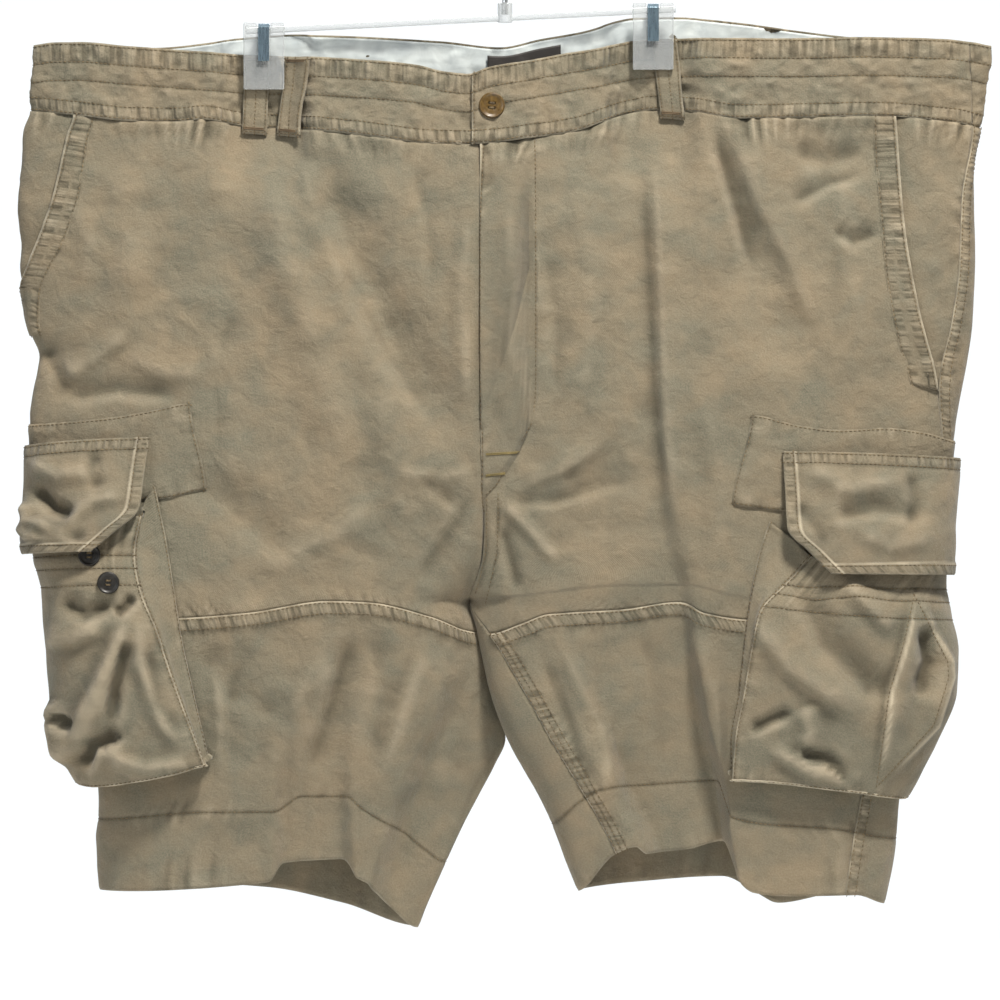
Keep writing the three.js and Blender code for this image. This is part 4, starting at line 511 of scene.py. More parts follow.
@dataclass(frozen=True)
class Crease:
    """A listed rise or hollow.

    Attributes:
        path: places seen at pixels of the front view, or x and drop where plain is set.
        width: half width in millimetres on the path's left and right.
        rise: height in millimetres, negative for a hollow.
        plain: whether the path is in x and drop already.
    """

    path: tuple[tuple[float, float], ...]
    width: tuple[float, float]
    rise: float
    plain: bool = False

    def height(self, x: Array, drop: Array) -> Array:
        """Height of the crease over places given by x and drop."""
        points = np.array([point if self.plain else spot(*point) for point in self.path], float)
        steps, starts = np.diff(points, axis=0), arc_lengths(points)
        lengths = np.diff(starts)
        best = np.full(x.shape, 1e9)
        along = np.zeros(x.shape)
        side = np.zeros(x.shape)
        for start, (dx, dd), length, before in zip(points[:-1], steps, lengths, starts):
            u = np.clip(((x - start[0]) * dx + (drop - start[1]) * dd) / length**2, 0, 1)
            gap = np.hypot(x - start[0] - u * dx, drop - start[1] - u * dd)
            nearer = gap < best
            best = np.where(nearer, gap, best)
            along = np.where(nearer, before + u * length, along)
            turn = (x - start[0]) * dd - (drop - start[1]) * dx
            side = np.where(nearer, turn, side)
        width = np.where(side > 0, self.width[1], self.width[0])
        share = along / starts[-1]
        rising, falling = CREASE_FADE
        ends = smooth(0.0, rising, share) * (1 - smooth(falling, 1.0, share))
        return CREASE_GAIN * self.rise * mix(CREASE_LEAST, 1, ends) * np.exp(-((best / width) ** 2))


def drop_of(points: Array) -> Array:
    """Drop of points."""
    return WAIST_Z - points[..., 2]


def around(values: Array) -> Array:
    """Sum of each value of a grid and its eight neighbours."""
    edged = np.pad(values, 1)
    rows, cols = values.shape
    return sum(edged[1 + i:rows + 1 + i, 1 + j:cols + 1 + j] for i in (-1, 0, 1) for j in (-1, 0, 1))


class Sheet:
    """A fine grid of cloth: its points, its raised and sunk heights and the mesh made of them."""

    def __init__(self, points: Array, thick: float, lift: float = 0.0,
                 mirrored: bool = False, seed: int = 1) -> None:
        """Keeps the grid.

        Args:
            points: rows by columns of places on the master surface.
            thick: thickness of the cloth towards the inside.
            lift: how far the outer side stands off the master surface.
            mirrored: whether the columns run against the left half's way round.
            seed: seed of the random unevenness.
        """
        outward = np.cross(np.gradient(points, axis=1), np.gradient(points, axis=0))
        self.base, self.normals = points, unit(outward) * (-1 if mirrored else 1)
        self.thick, self.lift, self.mirrored = thick, lift, mirrored
        self.noise = Noise(seed)
        across = np.linalg.norm(np.diff(points, axis=1), axis=-1)
        down = np.linalg.norm(np.diff(points, axis=0), axis=-1)
        self.u = np.pad(np.cumsum(across, axis=1), ((0, 0), (1, 0)))
        self.v = np.pad(np.cumsum(down, axis=0), ((1, 0), (0, 0)))
        self.height = np.zeros(points.shape[:2])
        self.worn = np.zeros(points.shape[:2])
        self.shade = np.zeros(points.shape[:2])
        self.fine = np.zeros(points.shape[:2])
        self.ribs = {key: np.zeros(points.shape[:2]) for key in ("ribs_across", "ribs_down")}
        self.rows: list[Array] = []
        self.sewn: list[int] = []
        self.pending: list[tuple[str, float]] = []

    def from_border(self, name: str) -> tuple[Array, Array]:
        """Distance from a border and the place along it, at each point of the grid."""
        return {
            "left": (self.u, self.v),
            "right": (self.u[:, -1:] - self.u, self.v),
            "top": (self.v, self.u),
            "bottom": (self.v[-1:] - self.v, self.u),
        }[name]

    def finish_edge(self, name: str, edge: Edge) -> "Sheet":
        """Gives one border its strip, puckers, stitch grooves and wear."""
        away, along = self.from_border(name)
        self.work(away, along, edge)
        key = "ribs_across" if name in ("top", "bottom") else "ribs_down"
        strength, start, end = edge.ribs
        zone = strength * smooth(start - 0.6, start + 0.8, away) * (1 - smooth(end - 0.8, end + 0.8, away))
        self.ribs[key] = np.maximum(self.ribs[key], zone)
        self.pending += [(name, row) for row in edge.rows]
        return self

    def finish_row(self, index: int, edge: Edge) -> "Sheet":
        """Sews along one row of the grid, with puckers on both sides."""
        self.work(np.abs(self.v - self.v[index:index + 1]), self.u, edge)
        self.sewn.append(index)
        return self

    def work(self, away: Array, along: Array, edge: Edge) -> None:
        """Works an edge's finish into the cloth's height, painted groove shade and wear, from distances away
        from it and along it.
        """
        slant = self.noise.line(along / 40 + 7) * 0.5
        wave = self.noise.line((along + away * slant) / edge.pitch * 2)
        wave = wave + 0.5 * self.noise.line(along / edge.pitch * 4.3 + 31)
        size = 0.55 + 0.45 * self.noise.line(along / 33 + 3)
        if edge.lift:
            self.height += edge.lift * (1 - smooth(edge.width - 0.4, edge.width + 1.2, away))
        if edge.pucker:
            inside = np.exp(-((np.maximum(away - edge.width * 0.6, 0) / edge.reach) ** 2))
            self.height += edge.pucker * wave * size * inside
            self.fine += edge.pucker * wave * size * inside
        for row in edge.rows:
            self.height -= GROOVE_DEPTH * np.exp(-(((away - row) / 1.1) ** 2))
            self.shade -= GROOVE_SHADE * np.exp(-((away - row) ** 2))
        if edge.worn:
            rub = edge.worn * (0.75 + 0.35 * self.noise.line(along / 9 + 13))
            self.worn = np.maximum(self.worn, rub * (1 - smooth(0.5, 2.4, away)))
            self.height -= 0.5 * (1 - smooth(0.0, 1.3, away))
        if edge.lip:
            rub = edge.lip * (0.75 + 0.35 * self.noise.line(along / 9 + 21))
            self.worn = np.maximum(self.worn, rub * np.exp(-(((away - edge.width) / 1.1) ** 2)))

    def add_creases(self, creases: Sequence[Crease], face: int = FRONT) -> "Sheet":
        """Lays the listed creases on the points that face one way."""
        x, drop = self.base[..., 0], drop_of(self.base)
        seen = smooth(0.05, 0.35, self.normals[..., 1] * face)
        for crease in creases:
            self.height += crease.height(x, drop) * seen
        return self

    def add_unrest(self, height: float, size: float, stretch: float = 1.0,
                   share: Array | float = 1.0) -> "Sheet":
        """Adds low uneven swells, as washed cloth has; they run on from piece to piece of one seed."""
        across = self.base[..., 0] + 0.6 * self.base[..., 1]
        x, y = across / size + 40, drop_of(self.base) / (size * stretch) + 12
        lean = x + 0.25 * self.noise.area(y * 0.7, x * 0.7)
        swell = self.noise.area(lean, y) + 0.5 * self.noise.area(lean * 2.1 + 9, y * 2.1 + 4)
        self.height += height * share * swell
        return self

    def pin(self, reach: float, *borders: str) -> "Sheet":
        """Holds the cloth's borders down on the master surface, where two pieces meet."""
        for border in borders:
            self.height *= smooth(0.0, reach, self.from_border(border)[0])
        return self

    def outer(self) -> Array:
        """Points of the outer side."""
        return self.base + self.normals * (self.lift + self.height)[..., None]

    def path(self, border: str, inset: float, start: float = 0.0, end: float = 1.0,
             lift: float = THREAD_LIFT) -> Array:
        """A line on the cloth at a distance from a border.

        Args:
            border: left, right, top or bottom.
            inset: distance from that border.
            start: share of the border where the line starts.
            end: share of the border where it ends.
            lift: height over the cloth.

        Returns:
            Points of the line.
        """
        away, _ = self.from_border(border)
        outer = self.outer() + self.normals * lift
        if border in ("top", "bottom"):
            away, outer = away.T, outer.transpose(1, 0, 2)
        if border in ("bottom", "right"):
            away, outer = away[:, ::-1], outer[:, ::-1]
        count = len(outer)
        line = []
        for index in range(int(start * (count - 1)), int(end * (count - 1)) + 1):
            reach = away[index]
            if reach[-1] < inset:
                continue
            cell = min(int(np.searchsorted(reach, inset)), len(reach) - 1)
            before = max(cell - 1, 0)
            span = reach[cell] - reach[before]
            share = (inset - reach[before]) / span if span > 1e-6 else 0.0
            line.append(mix(outer[index, before], outer[index, cell], share))
        return np.array(line)

    def stitched(self) -> list[Array]:
        """Every stitch row that the borders' finishes ask for."""
        rows = [self.path(name, inset) for name, inset in self.pending]
        rows += [(self.outer() + self.normals * THREAD_LIFT)[index] for index in self.sewn]
        return [row for row in rows + self.rows if len(row) > 2]

    def painted_relief_shading(self) -> Array:
        """How far each point stands over the cloth close about it, plus the grooves' painted shade, -1 to 1;
        the colour turns it into painted shade and highlights.
        """
        soft = self.height.copy()
        for _ in range(4):
            edged = np.pad(soft, 1, mode="edge")
            soft = (edged[:-2, 1:-1] + edged[2:, 1:-1] + edged[1:-1, :-2] + edged[1:-1, 2:]) / 4
        bend = np.pad(np.abs(np.diff(self.base, 2, axis=0)).max(-1), ((1, 1), (0, 0)))
        padded = np.pad(bend, ((2, 2), (0, 0)))
        bend = np.max([padded[step:step + len(bend)] for step in range(5)], axis=0)
        local = (self.height - soft) / 1.1 * (1 - smooth(0.5, 1.4, bend))
        return np.clip(self.fine / 0.75 + local + self.shade, -1, 1)

    def lay_on(self, *under: "Sheet") -> "Sheet":
        """Lets the cloth follow the outer side of the cloth that it is sewn on."""
        trees = [sheet.tree() for sheet in under]
        rise = np.zeros(self.height.shape)
        found = np.zeros(self.height.shape)
        for index in np.ndindex(self.height.shape):
            normal = Vector(self.normals[index])
            start = Vector(self.base[index]) + normal * LAY_REACH
            hits = [tree.ray_cast(start, -normal, 2 * LAY_REACH) for tree in trees]
            spans = [hit[3] for hit in hits if hit[0]]
            if spans:
                rise[index], found[index] = LAY_REACH - min(spans), 1.0
        for _ in range(3):
            total, count = around(rise * found), around(found)
            rise = np.where(count > 0, total / np.maximum(count, 1), rise)
            found = np.where(count > 0, 1.0, found)
        self.height += rise
        return self

    def tree(self) -> BVHTree:
        """A search tree over the outer side."""
        outer = self.outer()
        rows, cols = outer.shape[:2]
        points = [tuple(point) for point in outer.reshape(-1, 3)]
        return BVHTree.FromPolygons(points, grid_quads(rows, cols).tolist())

    def drape_line(self, places: Sequence[tuple[float, float]], face: int = FRONT, step: float = 1.6,
                   lift: float = 0.2, plain: bool = False) -> Array:
        """A line through places seen from one side, laid on the cloth."""
        points = np.array([place if plain else spot(*place) for place in places], float)
        lengths = arc_lengths(points)
        marks = np.linspace(0, lengths[-1], max(int(lengths[-1] / step), 2))
        xs, drops = (np.interp(marks, lengths, column) for column in points.T)
        tree = self.tree()
        line = []
        for x, drop in zip(xs, drops):
            start = Vector((x, face * FAR, WAIST_Z - drop))
            hit, normal, _, _ = tree.ray_cast(start, Vector((0, -face, 0)))
            if hit is not None:
                out = normal if normal.y * face > 0 else -normal
                line.append(np.array(hit + out * lift))
        return np.array(line)

    def groove(self, places: Sequence[tuple[float, float]], depth: float = 0.4, width: float = 1.1) -> None:
        """Draws the cloth down along a stitch line through places of the front view."""
        crease = Crease(tuple(places), (width, width), 1.0)
        mark = crease.height(self.base[..., 0], drop_of(self.base)) / CREASE_GAIN
        self.height -= depth * mark
        self.shade -= 0.5 * mark

    def rub(self, places: Sequence[tuple[float, float]], strength: float, width: float = 1.3) -> None:
        """Wears the cloth pale along a fold through places of the front view."""
        mark = Crease(tuple(places), (width, width), 1.0).height(self.base[..., 0], drop_of(self.base))
        self.worn = np.maximum(self.worn, np.clip(strength * mark / CREASE_GAIN, 0, 1))

    def measure(self) -> tuple[float, float, float]:
        """Greatest width and length, and the area, in metres."""
        outer = self.outer()
        across = np.diff(outer, axis=1)[:-1]
        down = np.diff(outer, axis=0)[:, :-1]
        area = np.linalg.norm(np.cross(across, down), axis=-1).sum()
        wide, long = longest(outer), longest(outer.transpose(1, 0, 2))
        return wide * METRES, long * METRES, area * METRES**2

    def build(self, name: str, finish: "Finish") -> bpy.types.Object:
        """Makes the closed wall of cloth as an object.

        Args:
            name: the object's name.
            finish: its material.

        Returns:
            The object, at the origin, in metres.
        """
        outer = self.outer()
        inner = outer - self.normals * self.thick
        rows, cols = outer.shape[:2]
        count = rows * cols
        quads = grid_quads(rows, cols)
        if self.mirrored:
            quads = quads[:, ::-1]
        edges = np.concatenate([quads[:, [i, (i + 1) % 4]] for i in range(4)])
        forward = edges[:, 0] * count + edges[:, 1]
        border = edges[~np.isin(forward, edges[:, 1] * count + edges[:, 0])]
        rim = np.stack([border[:, 1], border[:, 0], border[:, 0] + count, border[:, 1] + count], 1)
        faces = np.concatenate([quads, quads[:, ::-1] + count, rim])
        points = np.concatenate([outer.reshape(-1, 3), inner.reshape(-1, 3)])
        # The first mark becomes painted shade in hollows and painted highlights on ridges in the cloth's
        # colour.
        marks = {"painted_relief_shading": self.painted_relief_shading(), "worn": self.worn, **self.ribs}
        extras = {key: np.tile(value.reshape(-1), 2) for key, value in marks.items()}
        flat = np.tile(np.stack([self.u, -self.v], -1).reshape(-1, 2), (2, 1)) * METRES
        return put(name, make_mesh(name, points, faces, extras, flat), finish)


def grid_quads(rows: int, cols: int) -> Array:
    """Four-sided faces of a grid, a row of indices each."""
    a = (np.arange(rows - 1)[:, None] * cols + np.arange(cols - 1)[None]).reshape(-1)
    return np.stack([a, a + 1, a + cols + 1, a + cols], 1)


def make_mesh(name: str, points: Array, faces: Array, extras: dict[str, Array],
              flat: Array) -> bpy.types.Mesh:
    """Makes a smooth mesh from millimetre points, with point attributes and a UV map."""
    mesh = bpy.data.meshes.new(name)
    mesh.vertices.add(len(points))
    mesh.vertices.foreach_set("co", (np.asarray(points, np.float32) * METRES).ravel())
    mesh.loops.add(faces.size)
    mesh.loops.foreach_set("vertex_index", faces.ravel().astype(np.int32))
    mesh.polygons.add(len(faces))
    mesh.polygons.foreach_set("loop_start", np.arange(0, faces.size, faces.shape[1], dtype=np.int32))
    mesh.update(calc_edges=True)
    for key, values in extras.items():
        attribute = mesh.attributes.new(key, "FLOAT", "POINT")
        attribute.data.foreach_set("value", np.asarray(values, np.float32))
    layer = mesh.uv_layers.new(name="cloth")
    layer.data.foreach_set("uv", np.asarray(flat[faces.ravel()], np.float32).ravel())
    mesh.polygons.foreach_set("use_smooth", np.ones(len(faces), bool))
    mesh.validate()
    return mesh


def link(name: str, data: bpy.types.ID) -> bpy.types.Object:
    """Puts a mesh, light or camera into the scene as an object."""
    thing = bpy.data.objects.new(name, data)
    bpy.context.scene.collection.objects.link(thing)
    return thing


def put(name: str, mesh: bpy.types.Mesh, finish: "Finish") -> bpy.types.Object:
    """Puts a mesh into the scene as an object that wears a finish."""
    mesh.materials.clear()
    mesh.materials.append(finish.material())
    return link(name, mesh)


def settle(thing: bpy.types.Object, nodes: Sequence[str] = ()) -> bpy.types.Object:
    """Rides a piece on the one body and the nodes that it stands for."""
    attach(thing, "root")
    if nodes:
        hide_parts(*nodes)
    LOG.info("%s: %d faces", thing.name, len(thing.data.polygons))
    return thing


CREASES = {
    "left": (
        Crease(((300, 150), (322, 215), (352, 300)), (6, 9), 1.6),
        Crease(((330, 160), (352, 230), (398, 330), (425, 400)), (7, 12), -1.6),
        Crease(((215, 330), (232, 420), (238, 500)), (9, 12), 1.3),
        Crease(((372, 380), (400, 470), (410, 560)), (10, 14), 1.6),
        Crease(((470, 505), (446, 540), (416, 584)), (6, 11), -1.7),
        Crease(((478, 470), (440, 478), (395, 470)), (5, 8), 1.2),
        Crease(((330, 640), (300, 700), (270, 790)), (8, 12), 1.6),
        Crease(((250, 630), (235, 700), (225, 780)), (7, 10), -1.2),
        Crease(((372, 620), (388, 690), (372, 770)), (8, 10), -1.6),
        Crease(((215, 650), (225, 720), (222, 790)), (5, 7), 1.0),
        Crease(((428, 640), (402, 720), (380, 790)), (6, 9), 1.4),
        Crease(((120, 350), (165, 372), (215, 378)), (7, 10), 1.2),
        Crease(((60, 380), (95, 360), (135, 330)), (6, 9), 1.5),
        Crease(((42, 345), (60, 372), (66, 402)), (5, 7), -1.4),
        Crease(((232, 300), (222, 390), (226, 470)), (6, 10), -1.0),
        Crease(((470, 200), (462, 300), (468, 400)), (6, 12), 1.2),
        Crease(((412, 160), (430, 220), (436, 300)), (5, 8), -0.9),
        Crease(((70, 200), (92, 240), (88, 300)), (6, 8), 0.9),
        Crease(((300, 560), (350, 545), (400, 560)), (6, 6), -0.7),
        Crease(((300, 136), (336, 240), (392, 350), (462, 455)), (9, 17), -3.4),
        Crease(((262, 150), (292, 280), (330, 390), (352, 500)), (17, 15), 3.0),
        Crease(((170, 470), (230, 500), (300, 560)), (10, 14), -1.8),
        Crease(((380, 500), (330, 540), (250, 575)), (9, 14), 1.8),
        Crease(((120, 160), (134, 240), (120, 320)), (16, 20), 1.8),
        Crease(((60, 398), (120, 388), (190, 396)), (5, 8), -2.0),
        Crease(((420, 474), (452, 500), (478, 516)), (5, 9), -1.4),
        Crease(((356, 630), (338, 700), (308, 785)), (8, 14), -3.2),
        Crease(((200, 640), (236, 690), (300, 720)), (8, 12), -1.8),
    ),
    "right": (
        Crease(((500, 150), (514, 300), (506, 430)), (4, 9), 1.2),
        Crease(((520, 170), (524, 260), (520, 340)), (4, 6), -1.0),
        Crease(((500, 500), (530, 530), (562, 566)), (4, 6), 1.6),
        Crease(((516, 486), (560, 470), (612, 440)), (5, 9), 1.2),
        Crease(((512, 500), (556, 500), (600, 488)), (4, 6), -1.4),
        Crease(((500, 520), (512, 560), (520, 600)), (4, 6), -1.6),
        Crease(((545, 240), (560, 330), (556, 420)), (6, 10), -1.4),
        Crease(((580, 160), (592, 300), (584, 440)), (9, 14), 1.3),
        Crease(((655, 140), (662, 300), (668, 430), (680, 560)), (5, 16), 1.5),
        Crease(((640, 150), (646, 300), (652, 430), (664, 560)), (12, 5), -1.5),
        Crease(((714, 128), (726, 170), (740, 215), (758, 280)), (5, 7), -2.8),
        Crease(((738, 136), (762, 205), (790, 262), (824, 350)), (8, 14), 2.4),
        Crease(((790, 148), (826, 160), (866, 148)), (7, 9), -2.0),
        Crease(((786, 204), (826, 182), (868, 172)), (4, 7), -1.6),
        Crease(((830, 228), (852, 240), (880, 232)), (4, 7), -1.8),
        Crease(((556, 474), (592, 486), (640, 478)), (6, 10), -1.2),
        Crease(((840, 160), (846, 260), (870, 380)), (7, 10), 1.2),
        Crease(((700, 380), (720, 480), (716, 580)), (8, 10), 1.2),
        Crease(((690, 620), (716, 700), (726, 780)), (6, 9), 1.4),
        Crease(((560, 640), (596, 720), (610, 800)), (5, 9), 1.8),
        Crease(((536, 640), (572, 730), (594, 800)), (5, 6), -1.4),
        Crease(((640, 620), (660, 700), (664, 780)), (8, 10), -1.3),
        Crease(((760, 640), (758, 720), (760, 800)), (4, 5), -0.8),
        Crease(((926, 320), (944, 380), (940, 430)), (4, 6), 1.0),
    ),
}
BACK_CREASES = {
    "left": (
        Crease(((-60, 90), (-120, 200), (-150, 320)), (10, 14), 2.0, True),
        Crease(((-24, 300), (-70, 350), (-140, 380)), (7, 11), 1.8, True),
        Crease(((-24, 330), (-60, 390), (-110, 430)), (7, 10), -1.6, True),
        Crease(((-220, 120), (-200, 260), (-214, 400)), (10, 13), 1.8, True),
        Crease(((-180, 420), (-170, 480), (-180, 540)), (9, 12), 1.6, True),
        Crease(((-90, 430), (-80, 500), (-86, 570)), (8, 12), -1.5, True),
        Crease(((-150, 60), (-146, 130), (-160, 200)), (7, 9), -1.4, True),
    ),
    "right": (
        Crease(((10, 90), (70, 200), (96, 330)), (10, 14), 1.8, True),
        Crease(((-14, 300), (40, 350), (100, 372)), (7, 11), 1.8, True),
        Crease(((-14, 334), (30, 392), (76, 432)), (7, 10), -1.6, True),
        Crease(((200, 130), (180, 260), (196, 400)), (10, 13), 1.8, True),
        Crease(((150, 420), (146, 480), (160, 545)), (9, 12), 1.6, True),
        Crease(((90, 430), (84, 500), (92, 560)), (8, 12), -1.5, True),
        Crease(((116, 60), (112, 130), (130, 200)), (7, 9), -1.4, True),
    ),
}
POUCH_CREASES = {
    "left": (
        Crease(((134, 608), (122, 650), (98, 700), (74, 748)), (7, 9), 4.0),
        Crease(((143, 604), (146, 660), (170, 720), (198, 754)), (7, 9), 3.2),
        Crease(((132, 634), (118, 684), (114, 726)), (3.5, 6), -4.0),
        Crease(((86, 770), (97, 746), (130, 732)), (3, 8), -4.6),
        Crease(((58, 711), (68, 722), (79, 720)), (3, 4), -4.6),
        Crease(((52, 696), (58, 738), (72, 768)), (7, 8), 4.0),
        Crease(((106, 750), (150, 764), (202, 758)), (8, 6), 3.2),
        Crease(((60, 600), (90, 613), (126, 600)), (5, 8), -3.2),
        Crease(((46, 640), (80, 636), (112, 622)), (6, 9), 2.4),
        Crease(((120, 614), (131, 605), (141, 594)), (3, 4), -3.0),
        Crease(((150, 640), (164, 700), (190, 742)), (5, 6), -2.2),
    ),
    "right": (
        Crease(((912, 594), (902, 638), (886, 695), (875, 783)), (3, 10), 2.4),
        Crease(((912, 594), (946, 660), (947, 676), (932, 723), (878, 781)), (9, 3), 2.0),
        Crease(((920, 620), (928, 660), (916, 700)), (7, 7), -5.0),
        Crease(((796, 575), (823, 640), (866, 682), (908, 690)), (9, 12), -4.4),
        Crease(((837, 582), (866, 606), (893, 634)), (6, 9), 2.8),
        Crease(((746, 612), (786, 664), (822, 690), (860, 712)), (8, 11), 3.2),
        Crease(((746, 730), (768, 718), (792, 708)), (3, 6), -2.4),
        Crease(((794, 752), (822, 758), (850, 782)), (3, 7), -3.0),
        Crease(((800, 700), (806, 728), (800, 748)), (6, 8), 2.2),
        Crease(((762, 742), (812, 770), (864, 774)), (6, 6), 2.0),
    ),
}
POUCH_FOLDS = {
    "left": (),
    "right": (
        ((912, 594), (902, 638), (886, 695), (875, 783)),
        ((912, 594), (946, 660), (947, 676), (932, 723), (878, 781)),
    ),
}
FLAP_CREASES = {
    "left": (
        Crease(((34, 486), (56, 506), (84, 517)), (5, 6), -4.2),
        Crease(((30, 462), (62, 476), (106, 470)), (6, 7), 2.2),
        Crease(((66, 528), (98, 502), (132, 494)), (5, 7), 2.6),
        Crease(((36, 534), (66, 540), (98, 532)), (4, 5), -2.2),
        Crease(((26, 500), (34, 522), (62, 530)), (4, 5), 2.8),
        Crease(((100, 448), (96, 470), (104, 492)), (5, 6), -1.6),
        Crease(((18, 522), (34, 537), (88, 541)), (3, 6), 3.0),
    ),
    "right": (
        Crease(((798, 466), (850, 488), (904, 480)), (7, 8), 2.0),
        Crease(((820, 518), (870, 506), (932, 514)), (6, 8), -2.2),
        Crease(((850, 532), (884, 547), (934, 540)), (5, 6), 2.0),
        Crease(((790, 500), (812, 526), (826, 550)), (5, 6), -1.8),
        Crease(((905, 468), (914, 500), (906, 534)), (5, 6), -1.8),
        Crease(((838, 480), (832, 510), (842, 536)), (6, 7), 1.5),
    ),
}


def add_node(tree: bpy.types.NodeTree, kind: str, inputs: dict | None = None,
             **settings: object) -> bpy.types.Node:
    """Adds a node to a tree.

    Args:
        tree: the tree.
        kind: the node's type.
        inputs: a value, or a socket to link, for each input by name or number.
        settings: the node's own properties.

    Returns:
        The node.
    """
    node = tree.nodes.new(kind)
    for key, value in settings.items():
        setattr(node, key, value)
    for key, value in (inputs or {}).items():
        if isinstance(value, bpy.types.NodeSocket):
            tree.links.new(value, node.inputs[key])
        else:
            node.inputs[key].default_value = value
    return node


class Board:
    """A material's node tree, with short ways to add and join nodes."""

    def __init__(self, name: str) -> None:
        """Makes an empty material of that name."""
        self.material = bpy.data.materials.new(name)
        self.material.use_nodes = True
        self.tree = self.material.node_tree
        self.tree.nodes.clear()

    def node(self, kind: str, inputs: dict | None = None, **settings: object) -> bpy.types.Node:
        """Adds a node."""
        return add_node(self.tree, kind, inputs, **settings)

    def place(self) -> bpy.types.NodeSocket:
        """The place on the object, in metres."""
        return self.node("ShaderNodeTexCoord").outputs["Object"]

    def flat(self) -> bpy.types.NodeSocket:
        """The place on the cloth laid flat, in metres."""
        return self.node("ShaderNodeUVMap", uv_map="cloth").outputs["UV"]

    def mark(self, name: str) -> bpy.types.NodeSocket:
        """One of the cloth's point attributes."""
        return self.node("ShaderNodeAttribute", attribute_name=name).outputs["Fac"]

    def math(self, operation: str, a: bpy.types.NodeSocket, b: bpy.types.NodeSocket) -> bpy.types.NodeSocket:
        """Two values joined by a sum, a product or the like."""
        return self.node("ShaderNodeMath", {0: a, 1: b}, operation=operation).outputs[0]

    def noise(self, vector: bpy.types.NodeSocket, scale: float, detail: float = 3.0, distortion: float = 0.0):
        """A noise texture's factor."""
        inputs = {"Vector": vector, "Scale": scale, "Detail": detail, "Distortion": distortion}
        return self.node("ShaderNodeTexNoise", inputs).outputs["Fac"]

    def wave(self, direction: str, inputs: dict) -> bpy.types.NodeSocket:
        """A band texture's factor."""
        return self.node("ShaderNodeTexWave", inputs, bands_direction=direction).outputs["Fac"]

    def ramp(self, factor: bpy.types.NodeSocket, *stops: tuple[float, tuple[float, float, float]]):
        """A colour ramp through (place, colour) stops."""
        node = self.node("ShaderNodeValToRGB", {"Fac": factor})
        elements = node.color_ramp.elements
        while len(elements) < len(stops):
            elements.new(0.5)
        for element, (place, colour) in zip(elements, stops):
            element.position = place
            element.color = (*colour, 1.0)
        return node.outputs["Color"]

    def fit(self, value: bpy.types.NodeSocket, low: float, high: float, to_low: float, to_high: float):
        """A value mapped from one range to another, and clamped."""
        inputs = {"Value": value, "From Min": low, "From Max": high, "To Min": to_low, "To Max": to_high}
        return self.node("ShaderNodeMapRange", inputs).outputs["Result"]

    def blend(self, factor: object, a: object, b: object, kind: str = "MIX"):
        """Two colours mixed."""
        node = self.node("ShaderNodeMix", data_type="RGBA", blend_type=kind)
        for index, value in ((0, factor), (6, a), (7, b)):
            if isinstance(value, bpy.types.NodeSocket):
                self.tree.links.new(value, node.inputs[index])
            elif index == 0:
                node.inputs[index].default_value = value
            else:
                node.inputs[index].default_value = (*value, 1.0)
        return node.outputs[2]

    def bump(self, height: bpy.types.NodeSocket, distance: float, normal: bpy.types.NodeSocket | None = None):
        """A bump of a given depth in metres over an earlier one."""
        inputs = {"Height": height, "Distance": distance, "Strength": 1.0}
        if normal is not None:
            inputs["Normal"] = normal
        return self.node("ShaderNodeBump", inputs).outputs["Normal"]

    def shade(self, inputs: dict) -> bpy.types.Material:
        """Ends the tree in the main shader and gives back the material."""
        shader = self.node("ShaderNodeBsdfPrincipled", inputs)
        self.node("ShaderNodeOutputMaterial", {"Surface": shader.outputs[0]})
        return self.material


def linear(red: int, green: int, blue: int) -> tuple[float, float, float]:
    """A colour given as it looks on a screen, 0 to 255, in linear light."""
    return tuple((value / 255) ** 2.2 for value in (red, green, blue))


class Finish:
    """A finish that makes its material once."""

    name = "finish"
    made: dict[str, bpy.types.Material] = {}

    def material(self) -> bpy.types.Material:
        """The finish's material, made when it is first asked for."""
        if self.name not in self.made:
            self.made[self.name] = self.draw(Board(self.name))
        return self.made[self.name]

    def draw(self, board: Board) -> bpy.types.Material:
        """Builds the node tree."""
        raise NotImplementedError


